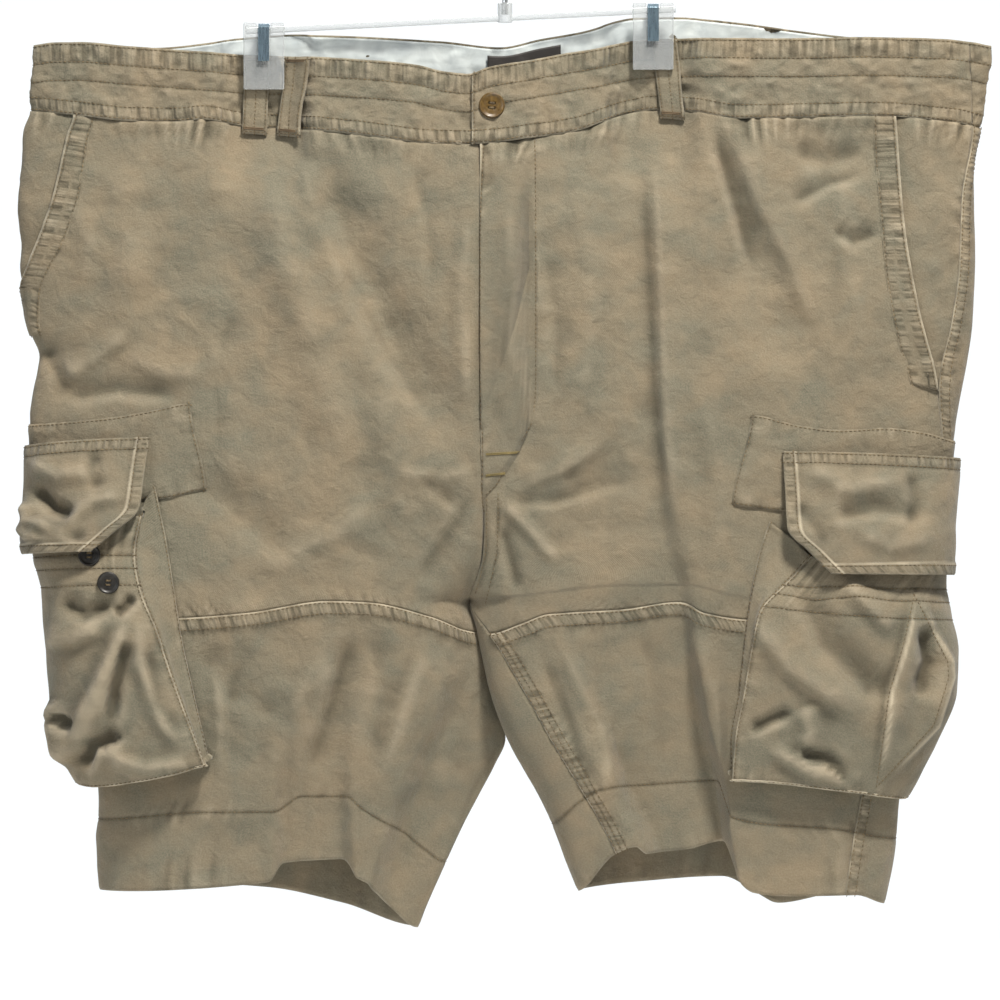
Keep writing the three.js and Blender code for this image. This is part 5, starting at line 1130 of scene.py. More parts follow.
@dataclass(frozen=True)
class Twill(Finish):
    """Washed cotton twill: a fine diagonal rib, mottled dye, pale worn edges and folds, painted shade in
    hollows and painted highlights on ridges.
    """

    name: str = "khaki twill"
    cool: tuple[float, float, float] = linear(104, 101, 87)
    plain: tuple[float, float, float] = linear(114, 106, 89)
    warm: tuple[float, float, float] = linear(124, 112, 92)
    # This colour is painted shade for the cloth's hollows and gathers, and the dark of the twill's rib lines.
    trough_shade: tuple[float, float, float] = linear(58, 54, 43)
    # This colour gives pale flecks and the painted highlights on ridges and gathers.
    fleck_and_highlight: tuple[float, float, float] = linear(166, 155, 134)
    pale: tuple[float, float, float] = linear(196, 186, 164)
    rib: float = 620.0
    gather: float = 250.0

    def draw(self, board: Board) -> bpy.types.Material:
        """Builds the node tree."""
        place = board.place()
        flat = board.flat()
        painted_relief_shading = board.mark("painted_relief_shading")
        worn = board.mark("worn")
        cloud = board.noise(place, 11.0, 3.0, 0.6)
        patch = board.noise(place, 46.0, 4.0, 0.3)
        dye = board.fit(board.math("ADD", cloud, patch), 0.72, 1.28, 0, 1)
        colour = board.ramp(dye, (0.1, self.cool), (0.5, self.plain), (0.95, self.warm))
        fleck = board.noise(flat, 900.0, 2.0)
        colour = board.blend(board.fit(fleck, 0.35, 0.7, 0.0, 0.22), colour, self.fleck_and_highlight)
        # Painted shade in the cloth's hollows and painted highlights on its ridges.
        colour = board.blend(board.fit(painted_relief_shading, -0.05, -0.95, 0.0, 0.62), colour, self.trough_shade)
        colour = board.blend(board.fit(painted_relief_shading, 0.1, 1.0, 0.0, 0.5), colour, self.fleck_and_highlight)
        colour = board.blend(board.fit(worn, 0.1, 1.0, 0.0, 0.85), colour, self.pale)
        rib = board.wave("DIAGONAL", {"Vector": flat, "Scale": self.rib, "Distortion": 1.5, "Detail": 1.0})
        colour = board.blend(board.fit(rib, 0.0, 1.0, 0.10, 0.0), colour, self.trough_shade)
        gathers = []
        for key, scale in (("ribs_across", (1.0, 0.1, 1.0)), ("ribs_down", (0.1, 1.0, 1.0))):
            drawn = board.node("ShaderNodeMapping", {"Vector": flat, "Scale": scale}).outputs[0]
            wave = board.fit(board.noise(drawn, self.gather, 1.0, 0.25), 0.36, 0.64, -1.0, 1.0)
            gathers.append(board.math("MULTIPLY", wave, board.mark(key)))
        gathered = board.math("ADD", *gathers)
        # Painted shade and painted highlights on the gathered ribs.
        colour = board.blend(board.fit(gathered, -0.05, -0.9, 0.0, 0.42), colour, self.trough_shade)
        colour = board.blend(board.fit(gathered, 0.1, 0.9, 0.0, 0.12), colour, self.fleck_and_highlight)
        normal = board.bump(gathered, 0.00045)
        normal = board.bump(board.noise(place, 38.0, 3.0, 0.5), 0.0022, normal)
        normal = board.bump(board.noise(place, 120.0, 3.0, 0.4), 0.0014, normal)
        normal = board.bump(fleck, 0.0003, normal)
        normal = board.bump(rib, 0.00012, normal)
        return board.shade({
            "Base Color": colour, "Roughness": 0.88, "Specular IOR Level": 0.22,
            "Sheen Weight": 0.12, "Sheen Roughness": 0.5, "Normal": normal,
        })


@dataclass(frozen=True)
class PlainWeave(Finish):
    """A smooth plain weave, as the waistband's facing and the bare label have."""

    name: str = "facing weave"
    tint: tuple[float, float, float] = linear(200, 207, 206)
    # The darker colour serves the weave's random mottling and the painted shade in its hollows.
    mottle_and_shade: tuple[float, float, float] = linear(138, 148, 154)
    rough: float = 0.8
    threads: float = 420.0

    def draw(self, board: Board) -> bpy.types.Material:
        """Builds the node tree."""
        place = board.place()
        flat = board.flat()
        painted_relief_shading = board.mark("painted_relief_shading")
        cloud = board.noise(place, 60.0, 3.0, 0.5)
        colour = board.blend(board.fit(cloud, 0.3, 0.75, 0.0, 0.7), self.tint, self.mottle_and_shade)
        # Painted shade in the facing's hollows.
        colour = board.blend(board.fit(painted_relief_shading, -0.1, -1.0, 0.0, 0.6), colour, self.mottle_and_shade)
        warp, weft = (board.wave(direction, {"Vector": flat, "Scale": self.threads}) for direction in "XY")
        weave = board.math("MULTIPLY", warp, weft)
        normal = board.bump(weave, 0.00008, board.bump(cloud, 0.0009))
        return board.shade({"Base Color": colour, "Roughness": self.rough, "Normal": normal})


@dataclass(frozen=True)
class Thread(Finish):
    """Sewing thread with its own twist."""

    name: str = "sewing thread"
    tint: tuple[float, float, float] = linear(74, 62, 44)
    lit: tuple[float, float, float] = linear(112, 96, 68)

    def draw(self, board: Board) -> bpy.types.Material:
        """Builds the node tree."""
        place = board.place()
        colour = board.blend(board.fit(board.noise(place, 160.0, 2.0), 0.3, 0.7, 0, 1), self.tint, self.lit)
        twist = board.noise(place, 2600.0, 1.0)
        return board.shade({"Base Color": colour, "Roughness": 0.7, "Normal": board.bump(twist, 0.0001)})


@dataclass(frozen=True)
class Moulded(Finish):
    """Moulded plastic of a button: soft shine, faint marbling and scuffs."""

    name: str = "button plastic"
    tint: tuple[float, float, float] = linear(78, 60, 30)
    vein: tuple[float, float, float] = linear(112, 90, 50)
    rough: float = 0.32

    def draw(self, board: Board) -> bpy.types.Material:
        """Builds the node tree."""
        place = board.place()
        swirl = board.noise(place, 240.0, 4.0, 1.5)
        colour = board.blend(board.fit(swirl, 0.4, 0.75, 0, 0.7), self.tint, self.vein)
        rough = board.fit(board.noise(place, 700.0, 3.0), 0.3, 0.7, self.rough - 0.06, self.rough + 0.14)
        return board.shade({"Base Color": colour, "Roughness": rough, "Normal": board.bump(swirl, 0.00005)})


@dataclass(frozen=True)
class ClearPlastic(Finish):
    """Clear moulded plastic, a little grey and scuffed."""

    name: str = "clear plastic"
    tint: tuple[float, float, float] = linear(188, 193, 195)
    alpha: float = 0.3

    def draw(self, board: Board) -> bpy.types.Material:
        """Builds the node tree."""
        place = board.place()
        scuff = board.noise(place, 320.0, 4.0, 0.4)
        rough = board.fit(scuff, 0.35, 0.7, 0.08, 0.3)
        rim = board.node("ShaderNodeLayerWeight", {"Blend": 0.35}).outputs["Facing"]
        alpha = board.fit(rim, 0.0, 0.8, self.alpha, 0.95)
        return board.shade({
            "Base Color": (*self.tint, 1.0), "Roughness": rough, "IOR": 1.46, "Alpha": alpha,
            "Normal": board.bump(scuff, 0.00006), "Specular IOR Level": 0.6,
        })


@dataclass(frozen=True)
class Steel(Finish):
    """Bright drawn steel, or the blued steel of a clip's spring."""

    name: str = "spring steel"
    tint: tuple[float, float, float] = linear(136, 158, 172)
    rough: float = 0.28
    drawn: float = 90.0

    def draw(self, board: Board) -> bpy.types.Material:
        """Builds the node tree."""
        place = board.place()
        stretch = board.node("ShaderNodeMapping", {"Vector": place, "Scale": (14.0, 14.0, 1.0)}).outputs[0]
        grain = board.noise(stretch, self.drawn, 4.0)
        rough = board.fit(grain, 0.3, 0.7, self.rough - 0.08, self.rough + 0.12)
        return board.shade({
            "Base Color": (*self.tint, 1.0), "Metallic": 0.9, "Roughness": rough,
            "Normal": board.bump(grain, 0.00004),
        })


@dataclass(frozen=True)
class Ground(Finish):
    """The pale studio floor, which fades out away from the object."""

    name: str = "studio floor"
    tint: tuple[float, float, float] = (0.82, 0.82, 0.81)

    def draw(self, board: Board) -> bpy.types.Material:
        """Builds the node tree."""
        place = board.place()
        away = board.node("ShaderNodeVectorMath", {0: place}, operation="LENGTH").outputs["Value"]
        alpha = board.fit(away, 0.9, 2.6, 1.0, 0.0)
        speck = board.fit(board.noise(place, 40.0), 0.3, 0.7, 0.85, 0.95)
        return board.shade({"Base Color": (*self.tint, 1.0), "Roughness": speck, "Alpha": alpha})


@dataclass(frozen=True)
class Finishes:
    """Every finish of the shorts and the hanger."""

    twill: Twill = Twill()
    facing: PlainWeave = PlainWeave()
    label: PlainWeave = PlainWeave("label weave", linear(44, 40, 38), linear(30, 28, 27), 0.6)
    thread: Thread = Thread()
    tack: Thread = Thread("brown thread", linear(84, 68, 50), linear(110, 92, 68))
    olive: Thread = Thread("olive thread", linear(98, 86, 50), linear(136, 120, 76))
    fly_button: Moulded = Moulded()
    cargo_button: Moulded = Moulded("dark button plastic", linear(27, 25, 22), linear(44, 40, 34), 0.38)
    clear: ClearPlastic = ClearPlastic()
    spring: Steel = Steel()
    wire: Steel = Steel("hook steel", linear(205, 206, 208), 0.2, 60.0)
    ground: Ground = Ground()


STITCH_SEED = 7


class Recipe(Enum):
    """What a geometry-node tree makes along its lines."""

    STITCH = "stitch row"
    CORD = "round cord"


class Tree:
    """A geometry-node tree built in the script."""

    def __init__(self, recipe: Recipe) -> None:
        """Builds the tree of a recipe."""
        self.group = bpy.data.node_groups.new(recipe.value, "GeometryNodeTree")
        face = self.group.interface
        face.new_socket("Geometry", in_out="INPUT", socket_type="NodeSocketGeometry")
        face.new_socket("Geometry", in_out="OUTPUT", socket_type="NodeSocketGeometry")
        self.sockets: dict[str, str] = {}
        kinds = {"Pitch": "Float", "Length": "Float", "Radius": "Float", "Seed": "Int",
                 "Material": "Material"}
        for name, kind in kinds.items():
            socket = face.new_socket(name, in_out="INPUT", socket_type="NodeSocket" + kind)
            self.sockets[name] = socket.identifier
        self.start = self.add("NodeGroupInput")
        end = self.add("NodeGroupOutput")
        body = self.stitches() if recipe is Recipe.STITCH else self.cord()
        realized = self.add("GeometryNodeRealizeInstances", {"Geometry": body})
        dressed = self.add("GeometryNodeSetMaterial",
                           {"Geometry": realized.outputs[0], "Material": self.start.outputs["Material"]})
        self.group.links.new(dressed.outputs[0], end.inputs[0])

    def add(self, kind: str, inputs: dict | None = None, **settings: object) -> bpy.types.Node:
        """Adds a node."""
        return add_node(self.group, kind, inputs, **settings)

    def spaced(self) -> bpy.types.NodeSocket:
        """The lines as curves with evenly spaced points."""
        given = self.start.outputs
        line = self.add("GeometryNodeMeshToCurve", {"Mesh": given["Geometry"]})
        inputs = {"Curve": line.outputs[0], "Length": given["Pitch"]}
        return self.add("GeometryNodeResampleCurve", inputs, mode="LENGTH").outputs[0]

    def stitches(self) -> bpy.types.NodeSocket:
        """Plump little stitches, end to end along every line."""
        given = self.start.outputs
        tangent = self.add("GeometryNodeInputTangent")
        turn = self.add("FunctionNodeAlignRotationToVector", {"Vector": tangent.outputs[0]}, axis="X")
        ball = self.add("GeometryNodeMeshUVSphere", {"Segments": 5, "Rings": 3, "Radius": 1.0})
        smooth_ball = self.add("GeometryNodeSetShadeSmooth", {"Geometry": ball.outputs[0]})
        wander = self.add("FunctionNodeRandomValue", {"Seed": given["Seed"]}, data_type="FLOAT")
        wander.inputs[2].default_value = 0.85
        wander.inputs[3].default_value = 1.12
        thick = self.add("ShaderNodeMath", {0: given["Radius"], 1: wander.outputs[1]}, operation="MULTIPLY")
        half = self.add("ShaderNodeMath", {0: given["Length"], 1: 0.5}, operation="MULTIPLY")
        size = self.add("ShaderNodeCombineXYZ",
                        {"X": half.outputs[0], "Y": thick.outputs[0], "Z": thick.outputs[0]})
        placed = self.add("GeometryNodeInstanceOnPoints", {
            "Points": self.spaced(), "Instance": smooth_ball.outputs[0],
            "Rotation": turn.outputs[0], "Scale": size.outputs[0],
        })
        return placed.outputs[0]

    def cord(self) -> bpy.types.NodeSocket:
        """A round cord or wire along every line."""
        ring = self.add("GeometryNodeCurvePrimitiveCircle",
                        {"Resolution": 10, "Radius": self.start.outputs["Radius"]}, mode="RADIUS")
        swept = self.add("GeometryNodeCurveToMesh",
                         {"Curve": self.spaced(), "Profile Curve": ring.outputs[0], "Fill Caps": True})
        return self.add("GeometryNodeSetShadeSmooth", {"Geometry": swept.outputs[0]}).outputs[0]


class Sewing:
    """Makes stitches, bar tacks, cords and wires from lines."""

    def __init__(self) -> None:
        """Builds one tree for each recipe."""
        self.trees = {recipe: Tree(recipe) for recipe in Recipe}

    def run(self, name: str, lines: Sequence[Array], recipe: Recipe, finish: Finish, pitch: float,
            length: float, radius: float) -> bpy.types.Object:
        """Makes one object along lines in millimetres.

        Args:
            name: the object's name.
            lines: the lines' points.
            recipe: what is made along them.
            finish: its finish.
            pitch: spacing along the line in millimetres.
            length: a stitch's length.
            radius: the thread's radius.

        Returns:
            The baked object.
        """
        points = np.concatenate(lines) * METRES
        mesh = bpy.data.meshes.new(name + "_lines")
        mesh.vertices.add(len(points))
        mesh.vertices.foreach_set("co", points.astype(np.float32).ravel())
        starts = np.cumsum([0] + [len(line) for line in lines])
        edges = np.concatenate([
            np.stack([np.arange(a, b - 1), np.arange(a + 1, b)], 1) for a, b in zip(starts[:-1], starts[1:])
        ])
        mesh.edges.add(len(edges))
        mesh.edges.foreach_set("vertices", edges.astype(np.int32).ravel())
        mesh.update()
        carrier = link(name + "_lines", mesh)
        tree = self.trees[recipe]
        modifier = carrier.modifiers.new("lay", "NODES")
        modifier.node_group = tree.group
        values = {"Pitch": pitch * METRES, "Length": length * METRES, "Radius": radius * METRES,
                  "Seed": STITCH_SEED, "Material": finish.material()}
        for key, value in values.items():
            modifier[tree.sockets[key]] = value
        graph = bpy.context.evaluated_depsgraph_get()
        baked = bpy.data.meshes.new_from_object(carrier.evaluated_get(graph))
        bpy.data.objects.remove(carrier)
        baked.name = name
        return link(name, baked)

    def stitch(self, name: str, lines: Sequence[Array], finish: Finish, pitch: float = 3.1,
               radius: float = 0.36, length: float = 2.6) -> bpy.types.Object:
        """Sews stitch rows and settles them on the body."""
        rows = [line for line in lines if len(line) > 1]
        return settle(self.run(name, rows, Recipe.STITCH, finish, pitch, length, radius))


@dataclass
class Shop:
    """What every sub-assembly is made with."""

    form: Form
    sewing: Sewing
    finishes: Finishes
    sheets: dict[str, Sheet] = field(default_factory=dict)

    def wear(self, name: str, sheet: Sheet, rows: list[Array] | None = None) -> bpy.types.Object:
        """Builds one piece in twill and keeps its grid.

        Args:
            name: the node that the piece stands for.
            sheet: its grid.
            rows: the list that takes its stitch rows, if they are sewn.

        Returns:
            The piece.
        """
        self.sheets[name] = sheet
        if rows is not None:
            rows += sheet.stitched()
        return settle(sheet.build(name + "_cloth", self.finishes.twill), [name])


def levels_between(start: float, end: float, pitch: float) -> Array:
    """Levels for the rows of a fine grid, with every level line among them."""
    lengths = (50, 205, 52, 72, 20, 140, 50)
    marks = [start, *[v for v in range(len(LEVELS)) if start < v < end], end]
    rows = []
    for low, high in zip(marks[:-1], marks[1:]):
        size = lengths[min(int(low + 1e-6), 6)] * (high - low)
        rows.append(np.linspace(low, high, max(int(size / pitch), 2), endpoint=False))
    return np.concatenate([*rows, [end]])


def even(rows: Sequence[Array], count: int, rounds: int = 0) -> Array:
    """Spreads each row's points evenly along it.

    Args:
        rows: the rows' points, close together.
        count: points of each row in the outcome.
        rounds: how far a jump in length from row to row is eased; it then shows only near the rows' starts.

    Returns:
        Rows by columns of points.
    """
    along = [arc_lengths(row) for row in rows]
    whole = np.array([lengths[-1] for lengths in along])
    calm = whole
    for _ in range(rounds):
        edged = np.pad(calm, 1, mode="edge")
        calm = (edged[:-2] + edged[1:-1] + edged[2:]) / 3
    share = np.linspace(0, 1, count)
    near = 1 - smooth(0, JUMP_REACH, share)
    spread = []
    for row, lengths, total, level in zip(rows, along, whole, calm):
        marks = total - level * (1 - share) - (total - level) * near
        spread.append(np.stack([np.interp(marks, lengths, row[:, axis]) for axis in range(3)], -1))
    return np.array(spread)


DENSE = 220
CALM_ROUNDS = 40
JUMP_REACH = 0.2


def turn_grid(form: Form, half: str, v: Array, start: Array, end: Array, pitch: float) -> Array:
    """Points of a fine grid on one half.

    Args:
        form: the master surface.
        half: left or right.
        v: the levels of its rows.
        start: q of each row's first point.
        end: q of each row's last point.
        pitch: spacing of the columns in millimetres.

    Returns:
        Rows by columns of points.
    """
    share = np.linspace(0, 1, DENSE)[None]
    start, end = (np.broadcast_to(np.asarray(q, float), v.shape)[:, None] for q in (start, end))
    dense = form.place(half, mix(start, end, share), v[:, None])
    width = np.linalg.norm(np.diff(dense, axis=1), axis=-1).sum(1).max()
    return even(dense, int(width / pitch) + 1, CALM_ROUNDS)


@dataclass
class Panels:
    """The leg panels: each front is cut across at the thigh, each back hangs in one piece."""

    shop: Shop
    thigh: Edge = Edge(rows=(1.3, 8.5), lift=1.0, width=9.5, pucker=0.5, pitch=6.0, reach=8.0, worn=0.75,
                       ribs=(1.0, 1.0, 9.0))
    under_band: Edge = Edge(pucker=0.75, pitch=8.0, reach=14.0, width=2.0)
    above_thigh: Edge = Edge(pucker=0.6, pitch=6.0, reach=10.0, width=1.0)
    hem_seam: Edge = Edge(rows=(0.0,), pucker=0.34, pitch=9.0, reach=9.0, width=1.0)
    hem_fold: Edge = Edge(pucker=0.35, pitch=14.0, reach=20.0, width=6.0, worn=0.35)
    inseam: Edge = Edge(rows=(1.2, 5.0, 8.8), lift=0.9, width=10.0, pucker=0.6, pitch=6.0, reach=6.0,
                        worn=0.6, ribs=(0.9, 0.8, 9.6))
    side_seam: Edge = Edge(rows=(1.2, 7.0), lift=0.9, width=8.5, pucker=0.6, pitch=6.5, reach=6.0, worn=0.6,
                           ribs=(0.9, 0.8, 8.0))

    crotch_rows: tuple[tuple[tuple[float, float], ...], ...] = (
        ((487, 500), (487, 523), (486, 552), (481, 574), (476, 592)),
        ((498, 494), (498, 523), (497, 552), (492, 576), (486, 602)),
    )

    def build(self) -> list[bpy.types.Object]:
        """Builds both fronts and both backs with their stitches."""
        form = self.shop.form
        made, rows = [], []
        for half in ("left", "right"):
            for part, low, high in (("upper", BAND_SEAM, THIGH), ("lower", THIGH, HEM)):
                v = levels_between(low, high, FINE)
                if half == "left":
                    start, end = 0.0, form.inset_line_q(half, v, LEFT_SLANT)
                else:
                    start, end = self.inner_q(v), form.line_q(half, v, RIGHT_SLANT)
                sheet = Sheet(turn_grid(form, half, v, start, end, FINE), PANEL, 0.0, half == "right", 5)
                calm = self.calm(half, sheet)
                sheet.add_creases(CREASES[half]).add_unrest(2.5, 52, 1.5, calm).add_unrest(0.18, 12)
                sheet.add_unrest(0.8, 24, 0.8, calm)
                sheet.pin(9.0, "left", "right")
                if part == "upper":
                    sheet.pin(9.0, "top")
                    if half == "right":
                        for line in self.crotch_rows:
                            sheet.groove(line, 0.5)
                            sheet.rows.append(sheet.drape_line(line))
                    sheet.finish_edge("top", self.under_band).finish_edge("bottom", self.above_thigh)
                else:
                    sheet.finish_edge("top", self.thigh).finish_edge("bottom", self.hem_fold)
                    sheet.finish_row(int(np.argmin(np.abs(v - HEM_STITCH))), self.hem_seam)
                    if half == "right":
                        sheet.finish_edge("left", self.inseam)
                made.append(self.shop.wear(f"front_{part}_{half}", sheet, rows))
        for half in ("left", "right"):
            v = levels_between(BAND_SEAM, HEM, PLAIN)
            if half == "left":
                start, end = form.inset_q(half, v, LEFT_SEAM_INSET), 2.0
            else:
                start, end = form.line_q(half, v, RIGHT_SEAM), 2.0 + self.inner_q(v)
            sheet = Sheet(turn_grid(form, half, v, start, end, PLAIN), PANEL, 0.0, half == "right", 11)
            sheet.add_creases(BACK_CREASES[half], BACK).add_unrest(1.3, 64, 1.7).add_unrest(0.16, 15)
            if half == "right":
                sheet.add_creases(CREASES[half])
            sheet.pin(9.0, "left", "right", "top")
            if half == "right":
                sheet.finish_edge("left", self.side_seam)
            sheet.finish_edge("top", self.under_band).finish_edge("bottom", self.hem_fold)
            sheet.finish_row(int(np.argmin(np.abs(v - HEM_STITCH))), self.hem_seam)
            made.append(self.shop.wear(f"back_{half}", sheet, rows))
        made.append(self.shop.sewing.stitch("panel_stitches", rows, self.shop.finishes.thread))
        return made

    @staticmethod
    def calm(half: str, sheet: Sheet) -> Array:
        """How far the swells rise: less where the cargo pocket holds the cloth flat."""
        x, drop = np.abs(sheet.base[..., 0]), drop_of(sheet.base)
        start = 196.0 if half == "left" else 146.0
        level = smooth(215, 245, drop) * (1 - smooth(500, 530, drop))
        return 1 - 0.8 * smooth(start - 20, start + 12, x) * level

    def inner_q(self, v: Array) -> Array:
        """q of the right front's inner edge: the centre line, then the inseam below the crotch."""
        return np.where(v <= CROTCH, 0.0, self.shop.form.line_q("right", v, RIGHT_INSEAM))


@dataclass
class SlantPockets:
    """The slanted hip pockets: a facing under each opening, and the opening's folded, stitched edge."""

    shop: Shop
    under: float = 6.0
    sunk: float = 2.1
    rise: float = 17.0
    edge: Edge = Edge(rows=(2.2,), pucker=0.7, pitch=6.5, reach=8.0, width=3.0, worn=0.75,
                      ribs=(1.0, 2.4, 9.0))
    seam: Edge = Edge(rows=(1.6,), pucker=0.6, pitch=7.0, reach=6.0, width=2.0, ribs=(0.8, 1.6, 7.0))
    side: Edge = Edge(pucker=0.4, pitch=8.0, reach=6.0, width=1.0)

    def build(self) -> list[bpy.types.Object]:
        """Builds both pockets."""
        form, finishes = self.shop.form, self.shop.finishes
        made, rows = [], []
        for half in ("left", "right"):
            mirrored = half == "right"
            v = levels_between(BAND_SEAM, SLANT_END[half], FINE)
            if half == "left":
                opening = form.inset_line_q(half, v, lambda drop: LEFT_SLANT(drop) + self.under)
                seam = form.inset_q(half, v, LEFT_SEAM_INSET)
            else:
                opening = form.line_q(half, v, lambda drop: RIGHT_SLANT(drop) - self.under)
                seam = form.line_q(half, v, RIGHT_SEAM)
            facing = Sheet(turn_grid(form, half, v, opening, seam, 2.0), PANEL, 0.0, mirrored, 21)
            facing.add_unrest(1.5, 27).pin(6.0, "right", "top")
            facing.finish_edge("top", Panels.under_band).finish_edge("right", self.side)
            facing.height -= self.sunk * (1 - smooth(0.0, self.rise, facing.u))
            made.append(self.shop.wear(f"slant_facing_{half}", facing))
            if half == "left":
                inner = form.inset_line_q(half, v, LEFT_WELT)
                outer = form.inset_line_q(half, v, LEFT_SLANT)
            else:
                inner, outer = form.line_q(half, v, RIGHT_WELT), form.line_q(half, v, RIGHT_SLANT)
            grid = turn_grid(form, half, v, inner, outer, 1.6)
            welt = Sheet(grid, OVERLAY, LAY_GAP + OVERLAY, mirrored, 23)
            welt.lay_on(self.shop.sheets[f"front_upper_{half}"])
            welt.finish_edge("right", self.edge).finish_edge("left", self.seam)
            welt.finish_edge("top", Panels.under_band)
            welt.height -= 1.3 * (1 - smooth(0.5, 10.0, welt.u))
            welt.height += 0.9 * (1 - smooth(2.0, 9.0, welt.from_border("right")[0]))
            made.append(self.shop.wear(f"slant_welt_{half}", welt))
            rows += welt.stitched() + facing.stitched()
        made.append(self.shop.sewing.stitch("slant_pocket_stitches", rows, finishes.thread))
        return made


@dataclass
class Fly:
    """The fly's lap, its curved stitching and the bar tacks that hold it."""

    shop: Shop
    rows: int = 120
    columns: int = 26
    foot: Table = Table("x drop", (-17, 318), (-13, 311), (0, 302), (13.6, 282), (20, 263), (23.8, 249))
    curve: tuple[tuple[float, float], ...] = (
        (533.5, 130), (534.5, 142), (535, 160), (535.5, 220), (535.5, 300), (535.5, 380), (534.5, 405),
        (531, 428), (523, 450), (511, 469), (498, 484), (487, 494),
    )
    tacks: tuple[tuple[tuple[float, float], tuple[float, float]], ...] = (
        ((487, 455), (521, 453)), ((487, 476), (504, 474)),
    )
    lap: Edge = Edge(rows=(2.6,), pucker=0.5, pitch=9.0, reach=8.0, width=3.0, worn=1.0)

    def build(self) -> list[bpy.types.Object]:
        """Builds the lap and its stitching."""
        form, finishes = self.shop.form, self.shop.finishes
        x = np.linspace(-17, 23.8, self.columns)
        foot = self.foot.curve("drop")(x)
        level = np.where(foot > 305, PATCH_BOTTOM + (foot - 305) / 66, PATCH_TOP + (foot - 262) / 43)
        level = np.where(foot < 262, BAND_SEAM + (foot - 60) / 202, level)
        share = np.linspace(0, 1, self.rows)[:, None]
        v = mix(float(BAND_SEAM), level[None], share)
        q = mix(0.0, form.line_q("right", v, form.fold["fly_stitch"]), np.linspace(0, 1, self.columns)[None])
        placket = Sheet(form.place("right", q, v), OVERLAY, LAY_GAP + OVERLAY, True, 31)
        placket.lay_on(self.shop.sheets["front_upper_right"])
        placket.finish_edge("left", self.lap).finish_edge("top", Panels.under_band)
        right, low = placket.from_border("right")[0], placket.from_border("bottom")[0]
        placket.height -= 1.3 * (1 - np.minimum(smooth(0.0, 24.0, right), smooth(0.0, 9.0, low)))
        placket.height += 0.45 * placket.noise.area(placket.u / 12, placket.v / 30) * smooth(0.0, 12.0, right)
        placket.groove(self.curve, 0.5)
        made = [self.shop.wear("fly_placket", placket)]
        rows = placket.stitched() + [placket.drape_line(self.curve)]
        made.append(self.shop.sewing.stitch("fly_stitches", rows, finishes.thread))
        bars = [placket.drape_line([(x0, y0 + dy), (x1, y1 + dy)], lift=0.3)
                for (x0, y0), (x1, y1) in self.tacks for dy in (-0.9, 0.3)]
        made.append(self.shop.sewing.stitch("fly_bar_tacks", bars, finishes.olive, 0.8, 0.42, 2.2))
        return made


